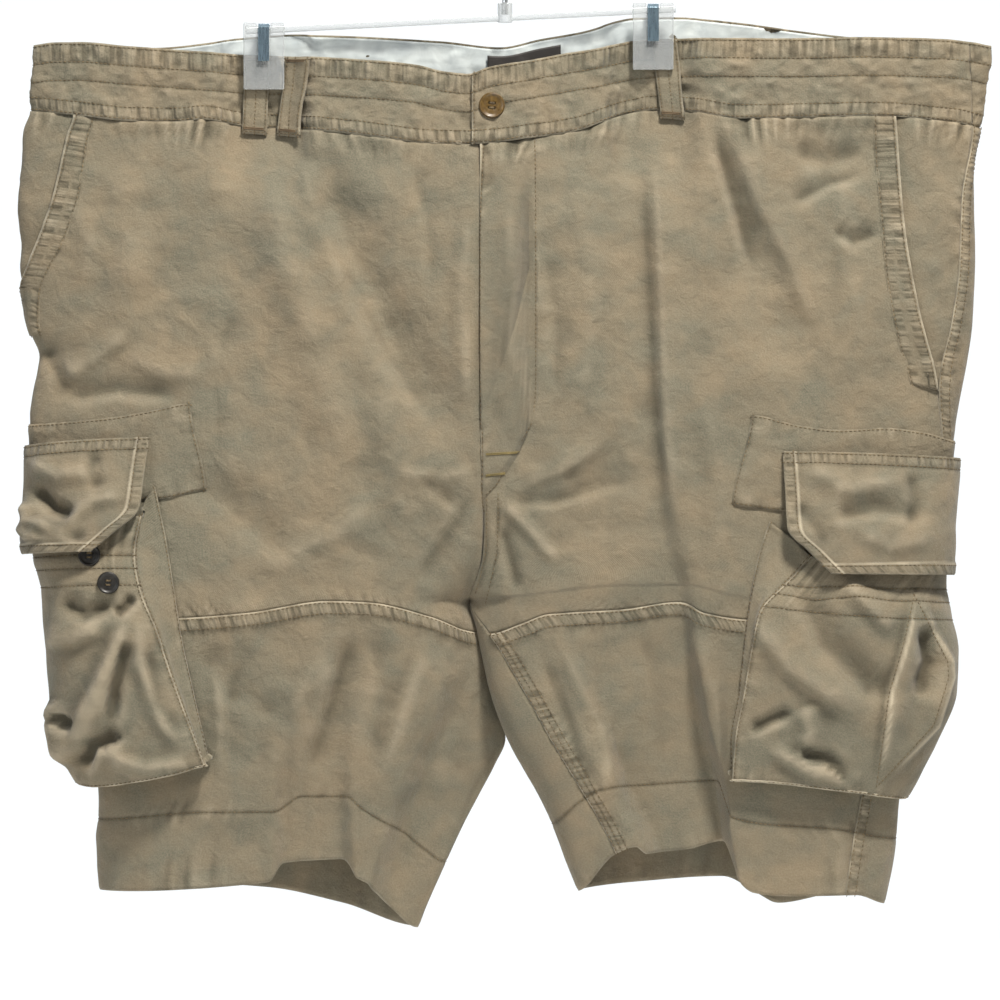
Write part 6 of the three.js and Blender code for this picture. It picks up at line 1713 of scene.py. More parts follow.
@dataclass
class Waistband:
    """The waistband with its button tab, the pale facing inside it, a bare label and six belt loops."""

    shop: Shop
    pitch: float = 1.55
    tab_edge: float = -22.5
    tab_lift: float = BAND + 0.5
    tab_settled: float = 50.0
    top: Edge = Edge(rows=(1.5, 13.5, 26.0), pucker=0.6, pitch=5.6, reach=10.0, width=4.0, worn=0.35,
                     ribs=(0.9, 2.0, 13.0))
    foot: Edge = Edge(rows=(1.4, 9.3), lift=0.7, width=10.0, pucker=0.4, pitch=6.0, reach=5.0, worn=0.5,
                      ribs=(1.0, 1.6, 9.2))
    tab: Edge = Edge(rows=(1.6,), pucker=0.3, pitch=7.0, reach=6.0, width=3.0, worn=0.7)
    loops: tuple[tuple[str, int, float, float, float, float], ...] = (
        ("front_left_outer", FRONT, -168.0, -170.0, 17.0, 0.3),
        ("front_left_inner", FRONT, -139.5, -145.5, 17.5, 1.2),
        ("front_right", FRONT, 108.0, 114.0, 17.5, 0.9),
        ("back_left", BACK, -139.0, -139.0, 16.5, 1.5),
        ("back_centre", BACK, 11.0, 11.0, 17.5, -0.5),
        ("back_right", BACK, 160.0, 160.0, 17.5, -0.4),
    )
    loop_rise: Table = Table("v lift", (0.02, 0.9), (0.2, 0.9), (0.45, 1.1), (0.65, 2.6), (0.85, 2.6),
                             (1.0, 1.8), (1.03, 1.6))
    loop_side: Edge = Edge(rows=(1.4,), worn=0.35, pucker=0.15, pitch=5.0, reach=3.0)
    loop_end: Edge = Edge(rows=(1.4,), lift=0.4, width=4.5, worn=0.4)
    label: tuple[float, float, float, float] = (-12.0, 38.0, 0.12, 0.72)

    def build(self) -> list[bpy.types.Object]:
        """Builds the band, the facing, the label, the loops and their stitches."""
        finishes = self.shop.finishes
        made, rows = [], []
        for name, sheet in (("left", self.left()), ("right", self.right()), ("back", self.back())):
            sheet.finish_edge("top", self.top).finish_edge("bottom", self.foot)
            sheet.add_unrest(0.95, 9, 0.7).add_unrest(0.9, 26, 0.6)
            if name == "right":
                sheet.finish_edge("left", self.tab)
            made.append(self.shop.wear(f"waistband_{name}", sheet, rows))
        made.append(self.shop.sewing.stitch("waistband_stitches", rows, finishes.thread))
        made += self.inside() + self.belt_loops()
        return made

    def levels(self) -> Array:
        """Levels of the band's rows."""
        return np.linspace(WAIST, BAND_SEAM, 36)

    def spread(self, *parts: Array) -> Array:
        """Joins stretches of a grid side by side and spreads their points evenly."""
        rows = [np.concatenate([part[index] for part in parts]) for index in range(len(parts[0]))]
        return even(rows, int(longest(rows) / self.pitch))

    def left(self) -> Sheet:
        """The band's left front with the end that lies under the button tab."""
        form, v = self.shop.form, self.levels()
        lap = form.across(FRONT, np.linspace(-4, -19, 8)[None], v[:, None])
        end = form.inset_q("left", v, LEFT_SEAM_INSET)
        span = turn_grid(form, "left", v, 0.012, end, self.pitch)
        return Sheet(self.spread(lap, span), BAND, 0.0, False, 41)

    def right(self) -> Sheet:
        """The band's right front with the button tab."""
        form, v = self.shop.form, self.levels()
        tab = form.across(FRONT, np.linspace(self.tab_edge, -21, 3)[None], v[:, None])
        span = turn_grid(form, "right", v, 0.004, form.line_q("right", v, RIGHT_SEAM), self.pitch)
        sheet = Sheet(self.spread(tab, span), BAND, 0.0, True, 43)
        sheet.height += self.tab_lift * (1 - smooth(0.0, self.tab_settled, sheet.base[..., 0]))
        return sheet

    def back(self) -> Sheet:
        """The band's back, from side seam to side seam."""
        form, v = self.shop.form, self.levels()
        left = turn_grid(form, "left", v, form.inset_q("left", v, LEFT_SEAM_INSET), 2.0, self.pitch)
        right = turn_grid(form, "right", v, 2.0, form.line_q("right", v, RIGHT_SEAM), self.pitch)
        return Sheet(self.spread(left, right[:, 1:]), BAND, 0.0, False, 47)

    def inside(self) -> list[bpy.types.Object]:
        """The pale facing and the bare label on it."""
        finishes = self.shop.finishes
        band = self.shop.sheets["waistband_back"]
        rows = int(len(band.base) * 0.67)
        facing = Sheet(band.base[1:rows, 8:-10], FACING, -BAND - LAY_GAP, False, 53)
        facing.height += band.height[1:rows, 8:-10] * 0.4
        facing.add_unrest(0.8, 17, 2.0)
        self.shop.sheets["waist_facing"] = facing
        made = [settle(facing.build("waist_facing_cloth", finishes.facing), ["waist_facing"])]
        x0, x1, v0, v1 = self.label
        grid = self.shop.form.across(BACK, np.linspace(x0, x1, 30)[None], np.linspace(v0, v1, 22)[:, None])
        label = Sheet(grid, 0.6, -BAND - FACING - 2.0, False, 59)
        label.add_unrest(0.2, 18)
        self.shop.sheets["label_blank"] = label
        made.append(settle(label.build("label_blank_cloth", finishes.label), ["label_blank"]))
        return made

    def belt_loops(self) -> list[bpy.types.Object]:
        """Six loops over the band, sewn lengthwise and tacked at both folded ends."""
        form, finishes = self.shop.form, self.shop.finishes
        made, rows, tacks = [], [], []
        rise = self.loop_rise.curve("lift")
        v = np.linspace(0.02, 1.03, 40)[:, None]
        for name, face, top_x, foot_x, width, extra in self.loops:
            x = mix(top_x, foot_x, v) + np.linspace(-0.5, 0.5, 13)[None] * width
            sheet = Sheet(form.across(face, x, v), LOOP, LOOP, face == FRONT, 61 + len(made))
            sheet.height += rise(np.broadcast_to(v, x.shape)) + extra
            for border in ("left", "right"):
                sheet.finish_edge(border, self.loop_side)
            for border in ("top", "bottom"):
                sheet.finish_edge(border, self.loop_end)
            sheet.add_unrest(0.12, 8)
            sheet.rows.append(sheet.path("left", width / 2))
            made.append(self.shop.wear("belt_loop_" + name, sheet, rows))
            tacks += [sheet.path("bottom", inset, 0.12, 0.9, 0.3) for inset in (3.2, 4.2)]
            tacks += [sheet.path("top", inset, 0.12, 0.9, 0.3) for inset in (1.6, 2.6)]
        made.append(self.shop.sewing.stitch("belt_loop_stitches", rows, finishes.thread, 2.6, 0.33, 2.2))
        made.append(self.shop.sewing.stitch("belt_loop_tacks", tacks, finishes.tack, 0.8, 0.42, 2.0))
        return made


@dataclass(frozen=True)
class Wrap:
    """A piece that wraps round the outer side of a leg, row by row from its top.

    Attributes:
        half: left or right.
        rows: x and drop of the front edge, the side's x and drop, and how far the row stands off the front.
        rear: how far the rear edge lies in from the side.
        rear_stand: how far the fullest row stands off the back.
        belly: swell of the rows between front edge and side.
        sag: how far the lowest row sags.
        lift: how far the foot of the gusset lies over the lowest row.
    """

    half: str
    rows: Table
    rear: float
    rear_stand: float
    belly: float
    sag: float = 0.0
    lift: float = 7.0


class Round:
    """Works out points round the outer side of a leg."""

    POWER = 3.0
    REAR_SAG = 0.4

    def __init__(self, form: Form, wrap: Wrap) -> None:
        """Keeps the form and the sizes."""
        self.form, self.wrap = form, wrap
        self.outward = -1 if wrap.half == "left" else 1

    def rear_x(self, side_drop: float, rear: float) -> float:
        """x of the rear edge."""
        return float(self.form.side[self.wrap.half](side_drop)) - self.outward * rear

    def row(self, size: dict[str, float], rear: float, rear_stand: float, belly: float, sag: float) -> Array:
        """Dense points of one row from the front edge round to the rear edge."""
        half = self.wrap.half
        rear_x = self.rear_x(size["side_drop"], rear)
        front_y = float(self.form.depth_at(FRONT, size["x"], size["drop"], half)) - size["stand"]
        rear_y = float(self.form.depth_at(BACK, rear_x, size["side_drop"], half)) + rear_stand
        c = np.linspace(0, 1, 90)
        s = np.sin(c * np.pi / 2)
        full = np.clip(1 - s**self.POWER, 0, 1) ** (1 / self.POWER)
        swell = np.sin(np.pi * c)
        drop = mix(size["drop"], size["side_drop"], smooth(0.0, 1.0, c)) + sag * swell
        front_x = mix(size["x"], size["side_x"], s)
        front = np.stack([front_x, front_y * full - belly * swell, WAIST_Z - drop], -1)
        drop = size["side_drop"] + sag * self.REAR_SAG * swell
        rear_part = np.stack([mix(rear_x, size["side_x"], s), rear_y * full, WAIST_Z - drop], -1)
        return np.concatenate([front, rear_part[-2::-1]])

    def sizes(self, place: float) -> dict[str, float]:
        """A row's sizes at a place between the table's rows."""
        return {name: float(self.wrap.rows.curve(name)(place)) for name in self.wrap.rows.names[1:]}


POUCH_NAMES = "row x drop base_x base_drop side_x side_drop stand"
FLAP_NAMES = "row x drop side_x side_drop stand"
POUCHES = (
    Wrap("left", Table(
        POUCH_NAMES,
        (0, -244.8, 320, -236, 300, -321.5, 322, 7.5), (1, -249, 346, -228, 337, -320.5, 348, 11),
        (2, -244.8, 370, -222.5, 370.5, -315, 371, 16), (3, -234, 397, -217, 404.5, -313.5, 398, 17),
        (4, -223, 430, -209.5, 438, -310.5, 432, 17), (5, -208.8, 468.5, -203.5, 465, -304.6, 472, 16),
        (6, -201.5, 489, -199, 484, -292.5, 498, 13)), 84, 11, 5, 9),
    Wrap("right", Table(
        POUCH_NAMES,
        (0, 206, 347, 178, 324, 300.3, 345, 8), (1, 187, 367, 171, 345, 299.5, 365, 11.5),
        (2, 171.5, 384, 164, 378, 302.5, 386, 16), (3, 165, 411, 160, 410, 307.5, 411.5, 16),
        (4, 160.5, 438, 157, 440, 307, 439, 16), (5, 154.5, 470, 151.5, 470, 292.5, 476, 14),
        (6, 152.5, 499, 152, 494, 273, 512, 11)), 76, 11, 4, 2),
)
FLAPS = (
    Wrap("left", Table(
        FLAP_NAMES,
        (0, -240, 267, -326.5, 272.5, 4.1), (1, -243, 291, -327.2, 296, 9),
        (2, -245.8, 314, -328.3, 319, 14.5), (3, -261.5, 330, -329, 334, 23),
        (4, -278, 344, -326.5, 346, 28.5)), 82, 16, 1.5),
    Wrap("right", Table(
        FLAP_NAMES,
        (0, 187, 276.5, 310, 281, 4.1), (1, 188.4, 302, 308, 304, 9), (2, 189.7, 328, 306, 328, 14.5),
        (3, 204, 344, 306.5, 340, 18), (4, 219, 359, 304, 360, 21)), 74, 16, 1.5),
)


@dataclass
class CargoPockets:
    """The bellows pockets on both thighs: patch, pouch, gusset, flap and buttons."""

    shop: Shop
    pitch: float = 2.1
    patch: Edge = Edge(rows=(1.4,), pucker=0.6, pitch=8.0, reach=9.0, width=2.0, worn=0.08)
    mouth: Edge = Edge(rows=(27.0, 36.0, 48.0), pucker=0.5, pitch=7.0, reach=34.0, width=6.0, worn=0.3)
    fold: Edge = Edge(rows=(1.3,), pucker=0.35, pitch=8.0, reach=8.0, width=2.0, worn=0.7)
    seat: Edge = Edge(rows=(1.5,), pucker=0.35, pitch=8.0, reach=6.0, width=2.0, worn=0.35)
    flap_top: Edge = Edge(rows=(1.5, 8.0), pucker=0.4, pitch=7.0, reach=6.0, width=8.0, worn=0.2,
                          ribs=(1.0, 1.4, 8.0))
    binding: Edge = Edge(rows=(7.2,), lift=1.1, width=8.6, pucker=0.4, pitch=6.5, reach=6.0, worn=0.3,
                         lip=1.0, ribs=(0.8, 0.6, 6.8))
    clear: float = 2.0
    patch_clear: float = 3.4
    patch_foot: float = 326.0
    gusset_rear: float = 7.0

    def build(self) -> list[bpy.types.Object]:
        """Builds both pockets."""
        made, rows = [], []
        for wrap in POUCHES:
            made += self.patches(wrap.half, rows) + self.pouch(wrap, rows)
        for wrap in FLAPS:
            made += self.flap(wrap, rows)
        made.append(self.shop.sewing.stitch("cargo_pocket_stitches", rows, self.shop.finishes.thread))
        return made + self.buttons()

    def patches(self, half: str, rows: list[Array]) -> list[bpy.types.Object]:
        """The reinforcing patch under the flap."""
        form = self.shop.form
        v = levels_between(PATCH_TOP, PATCH_BOTTOM, FINE)
        start = form.line_q(half, v, PATCH_EDGE[half])
        end = form.inset_q(half, v, -REAR_INSET[half])
        grid = turn_grid(form, half, v, start, end, FINE)
        sheet = Sheet(grid, OVERLAY, LAY_GAP + OVERLAY, half == "right", 71)
        sheet.lay_on(self.shop.sheets[f"front_upper_{half}"], self.shop.sheets[f"back_{half}"])
        sheet.add_unrest(0.5, 15, 0.8)
        for border in ("left", "right", "top", "bottom"):
            sheet.finish_edge(border, self.patch)
        return [self.shop.wear(f"cargo_patch_{half}", sheet, rows)]

    def pouch(self, wrap: Wrap, rows: list[Array]) -> list[bpy.types.Object]:
        """The pouch's face and its gusset."""
        form, half = self.shop.form, wrap.half
        round_leg = Round(form, wrap)
        mirrored = half == "right"
        places = np.linspace(0, 6, 84)
        fullest = float(wrap.rows.curve("stand")(3))
        faces, bases, rears = [], [], []
        for place in places:
            size = round_leg.sizes(place)
            share = place / 6
            belly = wrap.belly * math.sin(math.pi * (0.25 + share * 0.65))
            rear_stand = wrap.rear_stand * size["stand"] / fullest
            row = round_leg.row(size, wrap.rear, rear_stand, belly, wrap.sag * share**2)
            faces.append(row)
            clear = self.patch_clear if size["base_drop"] < self.patch_foot else self.clear
            base_y = float(form.depth_at(FRONT, size["base_x"], size["base_drop"], half)) - clear
            bases.append(np.array([size["base_x"], base_y, WAIST_Z - size["base_drop"]]))
            rear_x = row[-1, 0] - round_leg.outward * self.gusset_rear
            rear_y = float(form.depth_at(BACK, rear_x, size["side_drop"], half)) + clear
            rears.append(np.array([rear_x, rear_y, WAIST_Z - size["side_drop"]]))
        face = Sheet(even(faces, int(longest(faces) / self.pitch)), POUCH, 0.0, mirrored, 73)
        face.add_creases(POUCH_CREASES[half]).add_unrest(0.7, 38).add_unrest(0.2, 14)
        face.finish_edge("top", self.mouth)
        for border in ("left", "right", "bottom"):
            face.finish_edge(border, self.fold)
        for line in POUCH_FOLDS[half]:
            face.rub(line, 0.55, 1.1)
            face.rows.append(face.drape_line([(x - 2.4, y) for x, y in line]))
        made = [self.shop.wear(f"cargo_face_{half}", face, rows)]
        gusset = self.gusset(wrap, round_leg, face, bases, rears)
        made.append(self.shop.wear(f"cargo_gusset_{half}", gusset, rows))
        return made

    def gusset(self, wrap: Wrap, round_leg: Round, face: Sheet, bases: list[Array],
               rears: list[Array]) -> Sheet:
        """The bellows strip from the face's folded edge to the leg, in at the front, under and up behind."""
        form, half = self.shop.form, wrap.half
        size = round_leg.sizes(6)
        rear = wrap.rear + self.gusset_rear
        spots = round_leg.row(size, rear, wrap.rear_stand, 0.0, wrap.sag)
        count = len(spots)
        c = np.concatenate([np.linspace(0, 1, 90), np.linspace(1, 0, 90)[1:]])
        front = np.arange(count) < 90
        drop = drop_of(spots) - wrap.lift
        leg_side = form.side[half](drop)
        start = np.where(front, size["base_x"], leg_side - round_leg.outward * rear)
        leg_x = mix(start, leg_side, np.sin(c * np.pi / 2))
        sideways = c**4
        front_y = form.depth_at(FRONT, leg_x, drop, half)
        rear_y = form.depth_at(BACK, leg_x, drop, half)
        y = np.where(front, front_y, rear_y) + np.where(front, -1, 1) * self.clear * (1 - sideways)
        foot = np.stack([leg_x + round_leg.outward * self.clear * sideways, y, WAIST_Z - drop], -1)
        edge = face.outer()
        corner = np.repeat(edge[-1:, 0], 6, 0)
        turn = mix(bases[-1][None], foot[:1], np.linspace(0, 1, 6)[:, None])
        lines = []
        for share in np.linspace(0, 1, 13):
            fold = -2.6 * math.sin(math.pi * share) ** 2
            parts = []
            for a, b, length in (
                (edge[:, 0], np.array(bases), 90),
                (corner, turn, 5),
                (edge[-1], foot, 150),
                (edge[::-1, -1], np.array(rears)[::-1], 90),
            ):
                outer, inner = even([a], length)[0], even([b], length)[0]
                middle = np.array([(edge[..., 0].mean()), 0.0, 0.0])
                inward = unit((middle - outer) * np.array([1.0, 0.35, 0.0]))
                parts.append(mix(outer, inner, share) + inward * fold * (-1))
            lines.append(np.concatenate(parts))
        sheet = Sheet(np.array(lines), POUCH, 0.0, half == "right", 79)
        sheet.finish_edge("top", self.fold).finish_edge("bottom", self.seat)
        return sheet

    def flap(self, wrap: Wrap, rows: list[Array]) -> list[bpy.types.Object]:
        """One flap, bound along its front, slanted corner and lower edge."""
        round_leg = Round(self.shop.form, wrap)
        stands = wrap.rows.rows[:, -1]
        lines = []
        for place in np.linspace(0, 4, 52):
            size = round_leg.sizes(place)
            rear_stand = max(wrap.rear_stand * size["stand"] / stands[-1], stands[0])
            lines.append(round_leg.row(size, wrap.rear, rear_stand, wrap.belly, 0.0))
        sheet = Sheet(even(lines, int(longest(lines) / 1.8)), FLAP, 0.0, wrap.half == "right", 83)
        sheet.add_creases(FLAP_CREASES[wrap.half]).add_unrest(0.4, 20)
        sheet.finish_edge("top", self.flap_top)
        for border in ("left", "right", "bottom"):
            sheet.finish_edge(border, self.binding)
        return [self.shop.wear(f"cargo_flap_{wrap.half}", sheet, rows)]

    def buttons(self) -> list[bpy.types.Object]:
        """The two buttons of the left pouch and the button of the waistband."""
        face = self.shop.sheets["cargo_face_left"]
        band = self.shop.sheets["waistband_right"]
        finishes = self.shop.finishes
        small = Button(7.5, 2.6, 0.9, 2.0)
        made = small.sew(self.shop, "cargo_button_upper", face, (-279.5, 346.5), 0.4, finishes.cargo_button)
        made += small.sew(self.shop, "cargo_button_lower", face, (-266.5, 365.0), 0.4, finishes.cargo_button)
        fly = Button(8.8, 2.6, 1.0, 2.3)
        made += fly.sew(self.shop, "fly_button", band, (-9.0, 42.4), 0.45, finishes.fly_button)
        return made


# Half section of a button: shares of its radius and thickness, from the middle of its back
BUTTON_SECTION = (
    (0.0, 0.0), (0.86, 0.0), (0.95, 0.12), (1.0, 0.38), (0.99, 0.66), (0.95, 0.9), (0.9, 1.0), (0.84, 0.95),
    (0.78, 0.78), (0.72, 0.69), (0.6, 0.65), (0.0, 0.64),
)
AXIS_GAP = 0.02


@dataclass(frozen=True)
class Button:
    """A round dished button with a rolled rim and four holes."""

    radius: float
    thick: float
    hole: float
    circle: float
    sides: int = 56

    def sew(self, shop: Shop, name: str, cloth: Sheet, place: tuple[float, float], clear: float,
            finish: Finish) -> list[bpy.types.Object]:
        """Sets the button on cloth at an x and drop, with the thread through its holes."""
        x, drop = place
        hit, normal, _, _ = cloth.tree().ray_cast(Vector((x, -FAR, WAIST_Z - drop)), Vector((0, 1, 0)))
        if normal.y > 0:
            normal = -normal
        turn = Vector((0, 0, 1)).rotation_difference(normal).to_matrix().to_4x4()
        matrix = Matrix.Translation(hit + normal * clear) @ turn
        r, t = self.radius, self.thick
        profile = [(max(r * across, AXIS_GAP), t * up) for across, up in BUTTON_SECTION]
        shape = bmesh.new()
        edges = []
        verts = [shape.verts.new((px, 0, pz)) for px, pz in profile]
        edges = [shape.edges.new(pair) for pair in zip(verts[:-1], verts[1:])]
        bmesh.ops.spin(shape, geom=verts + edges, axis=(0, 0, 1), cent=(0, 0, 0), steps=self.sides,
                       angle=math.tau)
        bmesh.ops.remove_doubles(shape, verts=shape.verts, dist=0.03)
        bmesh.ops.recalc_face_normals(shape, faces=shape.faces)
        body = self.object_of(shape, name + "_disc")
        holes = bmesh.new()
        spots = [(math.cos(a) * self.circle, math.sin(a) * self.circle)
                 for a in (math.pi / 4 + index * math.pi / 2 for index in range(4))]
        for hx, hy in spots:
            bmesh.ops.create_cone(holes, segments=20, radius1=self.hole, radius2=self.hole, depth=t * 4,
                                  cap_ends=True, matrix=Matrix.Translation((hx, hy, 0)))
        drill = self.object_of(holes, name + "_drill")
        cut = body.modifiers.new("holes", "BOOLEAN")
        cut.operation, cut.solver, cut.object = "DIFFERENCE", "EXACT", drill
        soft = body.modifiers.new("rounded", "BEVEL")
        soft.width, soft.segments, soft.limit_method, soft.angle_limit = 0.12, 2, "ANGLE", math.radians(40)
        graph = bpy.context.evaluated_depsgraph_get()
        mesh = bpy.data.meshes.new_from_object(body.evaluated_get(graph))
        for old in (body, drill):
            bpy.data.objects.remove(old)
        mesh.transform(Matrix.Scale(0.001, 4) @ matrix)
        for polygon in mesh.polygons:
            polygon.use_smooth = True
        mesh.name = name
        made = [settle(put(name + "_disc", mesh, finish), [name])]
        bars = []
        for row in (side * self.circle * 0.707 + offset for side in (-1, 1) for offset in (-0.28, 0.28)):
            span = [Vector((x, row, t * 0.66 + 0.35 * (1 - abs(x) / self.circle)))
                    for x in np.linspace(-self.circle * 0.75, self.circle * 0.75, 7)]
            bars.append(np.array([matrix @ point for point in span]))
        thread = shop.sewing.run(name + "_thread", bars, Recipe.CORD, shop.finishes.thread, 0.6, 1.0, 0.3)
        made.append(settle(thread))
        return made

    @staticmethod
    def object_of(shape: bmesh.types.BMesh, name: str) -> bpy.types.Object:
        """Makes a plain object of a shape in hand."""
        mesh = bpy.data.meshes.new(name)
        shape.to_mesh(mesh)
        shape.free()
        thing = bpy.data.objects.new(name, mesh)
        bpy.context.scene.collection.objects.link(thing)
        return thing


@dataclass(frozen=True)
class Cut:
    """The flat cut of what shows of one piece of cloth, in metres, and what holds it up."""

    node: str
    width: float
    length: float
    area: float
    rests_on: tuple[str, ...]
    carries: tuple[str, ...] = ()

    def declare(self) -> None:
        things = bpy.data.objects
        list(self.rests_on)
        [things[name] for name in self.carries]


JAWS = ("clip_left_jaw_front", "clip_left_jaw_back", "clip_right_jaw_front", "clip_right_jaw_back")
BANDS = ("waistband_left_cloth", "waistband_right_cloth", "waistband_back_cloth")
CUTS = (
    Cut("front_upper_left", 0.330, 0.358, 0.1050, BANDS[:1], ("panel_stitches",)),
    Cut("front_lower_left", 0.338, 0.219, 0.0580, ("front_upper_left_cloth",)),
    Cut("front_upper_right", 0.323, 0.355, 0.1045, BANDS[1:2]),
    Cut("front_lower_right", 0.295, 0.191, 0.0410, ("front_upper_right_cloth",)),
    Cut("back_left", 0.316, 0.580, 0.1610, BANDS[2:]),
    Cut("back_right", 0.389, 0.556, 0.1930, BANDS[2:]),
    Cut("slant_facing_left", 0.046, 0.155, 0.0049, BANDS[:1]),
    Cut("slant_welt_left", 0.0265, 0.165, 0.0030, ("front_upper_left_cloth",), ("slant_pocket_stitches",)),
    Cut("slant_facing_right", 0.061, 0.188, 0.0071, BANDS[1:2]),
    Cut("slant_welt_right", 0.0225, 0.190, 0.0034, ("front_upper_right_cloth",)),
    Cut("fly_placket", 0.041, 0.253, 0.0089, ("front_upper_right_cloth",), ("fly_stitches", "fly_bar_tacks")),
    Cut("waistband_left", 0.342, 0.0545, 0.0168, JAWS[:1]),
    Cut("waistband_right", 0.355, 0.0578, 0.0186, JAWS[2:3], ("fly_button_disc", "fly_button_thread")),
    Cut("waistband_back", 0.683, 0.0585, 0.0347, (JAWS[1], JAWS[3]), ("waistband_stitches",)),
    Cut("waist_facing", 0.647, 0.0360, 0.0206, BANDS[2:]),
    Cut("label_blank", 0.051, 0.0315, 0.00155, ("waist_facing_cloth",)),
    Cut("belt_loop_front_left_outer", 0.0175, 0.0540, 0.00090, BANDS[:1],
        ("belt_loop_stitches", "belt_loop_tacks")),
    Cut("belt_loop_front_left_inner", 0.0192, 0.0550, 0.00094, BANDS[:1]),
    Cut("belt_loop_front_right", 0.0175, 0.0550, 0.00089, BANDS[1:2]),
    Cut("belt_loop_back_left", 0.0180, 0.0562, 0.00097, BANDS[2:]),
    Cut("belt_loop_back_centre", 0.0182, 0.0577, 0.00100, BANDS[2:]),
    Cut("belt_loop_back_right", 0.0180, 0.0577, 0.00101, BANDS[2:]),
    Cut("cargo_patch_left", 0.237, 0.0611, 0.0130, ("front_upper_left_cloth", "back_left_cloth")),
    Cut("cargo_face_left", 0.271, 0.205, 0.0449, ("cargo_gusset_left_cloth",),
        ("cargo_pocket_stitches", "cargo_button_upper_disc", "cargo_button_upper_thread",
         "cargo_button_lower_disc", "cargo_button_lower_thread")),
    Cut("cargo_gusset_left", 0.607, 0.0292, 0.0089, ("front_upper_left_cloth", "back_left_cloth")),
    Cut("cargo_patch_right", 0.260, 0.0631, 0.0142, ("front_upper_right_cloth", "back_right_cloth")),
    Cut("cargo_face_right", 0.322, 0.183, 0.0488, ("cargo_gusset_right_cloth",)),
    Cut("cargo_gusset_right", 0.596, 0.0369, 0.0077, ("front_upper_right_cloth", "back_right_cloth")),
    Cut("cargo_flap_left", 0.234, 0.103, 0.0174, ("cargo_patch_left_cloth",)),
    Cut("cargo_flap_right", 0.250, 0.098, 0.0202, ("cargo_patch_right_cloth",)),
)


@dataclass
class Hanger:
    """The two clips, the bar between them and the wire hook."""

    shop: Shop
    bend: float = 20.0
    wire: float = 2.0
    bar_z: float = -82.7
    bar_radius: float = 2.2
    shank_top: float = -49.0
    jaw_names: tuple[str, ...] = ("clip_left_jaw_front", "clip_left_jaw_back", "clip_right_jaw_front",
                                  "clip_right_jaw_back")
    spring_names: tuple[str, ...] = ("clip_left_spring", "clip_right_spring")

    def build(self) -> list[bpy.types.Object]:
        """Dresses the moulded and steel parts, and bends the hook."""
        finishes = self.shop.finishes
        nodes = frame["nodes"]
        for name in self.jaw_names:
            self.dress(nodes[name], finishes.clear, 0.8, 3)
        for name in self.spring_names:
            self.dress(nodes[name], finishes.spring, 0.3, 2)
        self.dress(nodes["hanger_bar"], finishes.clear, 0.35, 2)
        return [self.hook()]

    def dress(self, node: bpy.types.Object, finish: Finish, width: float, segments: int) -> None:
        """Rounds the edges of a solid that shows, and gives it its finish."""
        weld = node.modifiers.new("weld", "WELD")
        weld.merge_threshold = 0.00001
        soft = node.modifiers.new("rounded", "BEVEL")
        soft.width, soft.segments = width * 0.001, segments
        soft.limit_method, soft.angle_limit = "ANGLE", math.radians(32)
        soft.harden_normals = True
        node.data.materials.clear()
        node.data.materials.append(finish.material())

    def hook(self) -> bpy.types.Object:
        """The wire hook, bent over a rod and rounded at its tip."""
        radius = self.bend + self.wire
        low = self.bar_z + self.bar_radius + LAY_GAP
        angles = np.linspace(-0.7, math.pi + 0.35, 40)
        arc = [(math.cos(a) * radius, 0.0, math.sin(a) * radius - self.bend) for a in angles]
        points = [(0, 0, low), (0, 0, (low + self.shank_top) / 2), (0, 0, self.shank_top),
                  (4.5, 0, self.shank_top + 8.5), *arc]
        line = np.array(points, float)
        lengths = np.concatenate([[0], np.cumsum(np.linalg.norm(np.diff(line, axis=0), axis=1))])
        marks = np.linspace(0, lengths[-1], 160)
        for _ in range(3):
            smooth_line = np.stack([np.interp(marks, lengths, line[:, axis]) for axis in range(3)], -1)
            smooth_line[1:-1] = (smooth_line[:-2] + smooth_line[1:-1] * 2 + smooth_line[2:]) / 4
        made = self.shop.sewing.run("hanger_hook_wire", [smooth_line], Recipe.CORD, self.shop.finishes.wire,
                                    1.5, 1.0, self.wire)
        return settle(made, ["hanger_hook"])


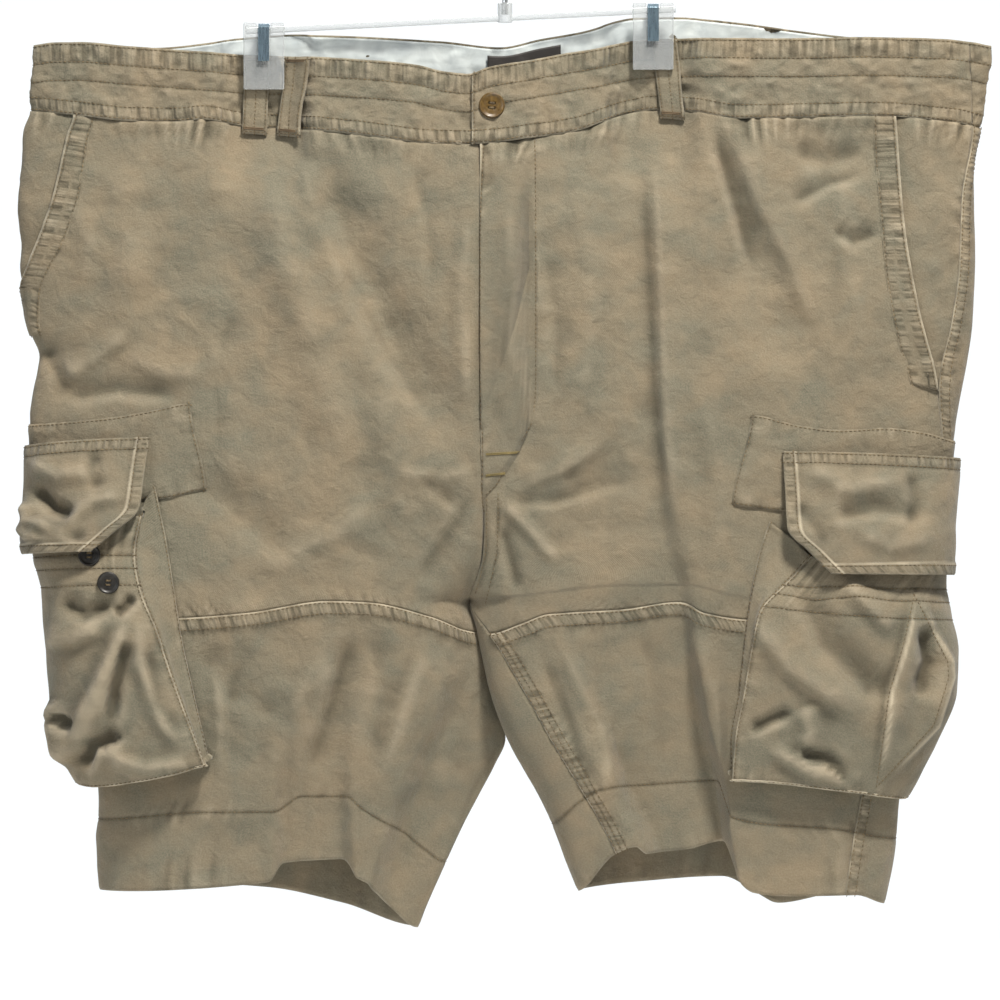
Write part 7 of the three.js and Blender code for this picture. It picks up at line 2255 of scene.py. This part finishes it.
@dataclass
class Studio:
    """The camera at the photograph's place, soft studio light and a pale floor."""

    finishes: Finishes
    eye: tuple[float, float, float] = (-0.0034, -4.0, -0.4104)
    lens: float = 211.8
    floor: float = -0.86

    def build(self) -> None:
        """Sets up camera, lights, world and floor."""
        scene = bpy.context.scene
        camera = bpy.data.objects.new("camera", bpy.data.cameras.new("camera"))
        camera.location = self.eye
        camera.rotation_euler = (math.radians(90), 0, 0)
        camera.data.lens, camera.data.sensor_width = self.lens, 36.0
        camera.data.clip_end = 30.0
        scene.collection.objects.link(camera)
        scene.camera = camera
        self.area("key", (0.6, -1.35, 1.95), 0.45, 146.0, (1.0, 0.95, 0.88))
        self.area("fill", (-1.7, -1.9, 0.4), 1.2, 16.0, (0.93, 0.97, 1.0))
        self.area("back", (-0.3, 2.2, 1.0), 1.2, 34.0, (1.0, 1.0, 1.0))
        world = bpy.data.worlds.new("studio")
        world.use_nodes = True
        sky = world.node_tree
        background = sky.nodes["Background"]
        background.inputs["Color"].default_value = (0.95, 0.98, 1.0, 1.0)
        place = sky.nodes.new("ShaderNodeTexCoord")
        parts = sky.nodes.new("ShaderNodeSeparateXYZ")
        sky.links.new(place.outputs["Generated"], parts.inputs[0])
        spread = sky.nodes.new("ShaderNodeMapRange")
        spread.interpolation_type = "SMOOTHSTEP"
        sky.links.new(parts.outputs["Y"], spread.inputs["Value"])
        for key, value in (("From Min", -0.2), ("From Max", 0.96), ("To Min", 0.2), ("To Max", 1.06)):
            spread.inputs[key].default_value = value
        sky.links.new(spread.outputs["Result"], background.inputs["Strength"])
        scene.world = world
        scene.view_settings.view_transform = "Standard"
        disc = bmesh.new()
        bmesh.ops.create_circle(disc, cap_ends=True, segments=64, radius=2.7)
        floor = Button.object_of(disc, "floor")
        floor.data.transform(Matrix.Translation((0, 0, self.floor)))
        floor.data.materials.append(self.finishes.ground.material())

    def area(self, name: str, place: tuple[float, float, float], size: float, power: float,
             tint: tuple[float, float, float]) -> None:
        """Adds a soft light that faces the shorts."""
        light = bpy.data.lights.new(name, "AREA")
        light.shape, light.size, light.energy, light.color = "DISK", size, power, tint
        lamp = bpy.data.objects.new(name, light)
        lamp.location = place
        aim = Vector((0, 0, -0.42)) - Vector(place)
        lamp.rotation_euler = aim.to_track_quat("-Z", "Y").to_euler()
        bpy.context.scene.collection.objects.link(lamp)


def main() -> None:
    """Builds the shorts, the hanger and the studio."""
    logging.basicConfig(level=logging.INFO, format="%(message)s")
    finishes = Finishes()
    shop = Shop(Form(), Sewing(), finishes)
    for part in (Panels, SlantPockets, Fly, Waistband, CargoPockets, Hanger):
        for piece in part(shop).build():
            LOG.info("%s is in place", piece.name)
    for name, sheet in shop.sheets.items():
        LOG.info("%s measures %.4f by %.4f m, %.5f square metres", name, *sheet.measure())
    for cut in CUTS:
        cut.declare()
    Studio(finishes).build()


if __name__ == "__main__":
    main()
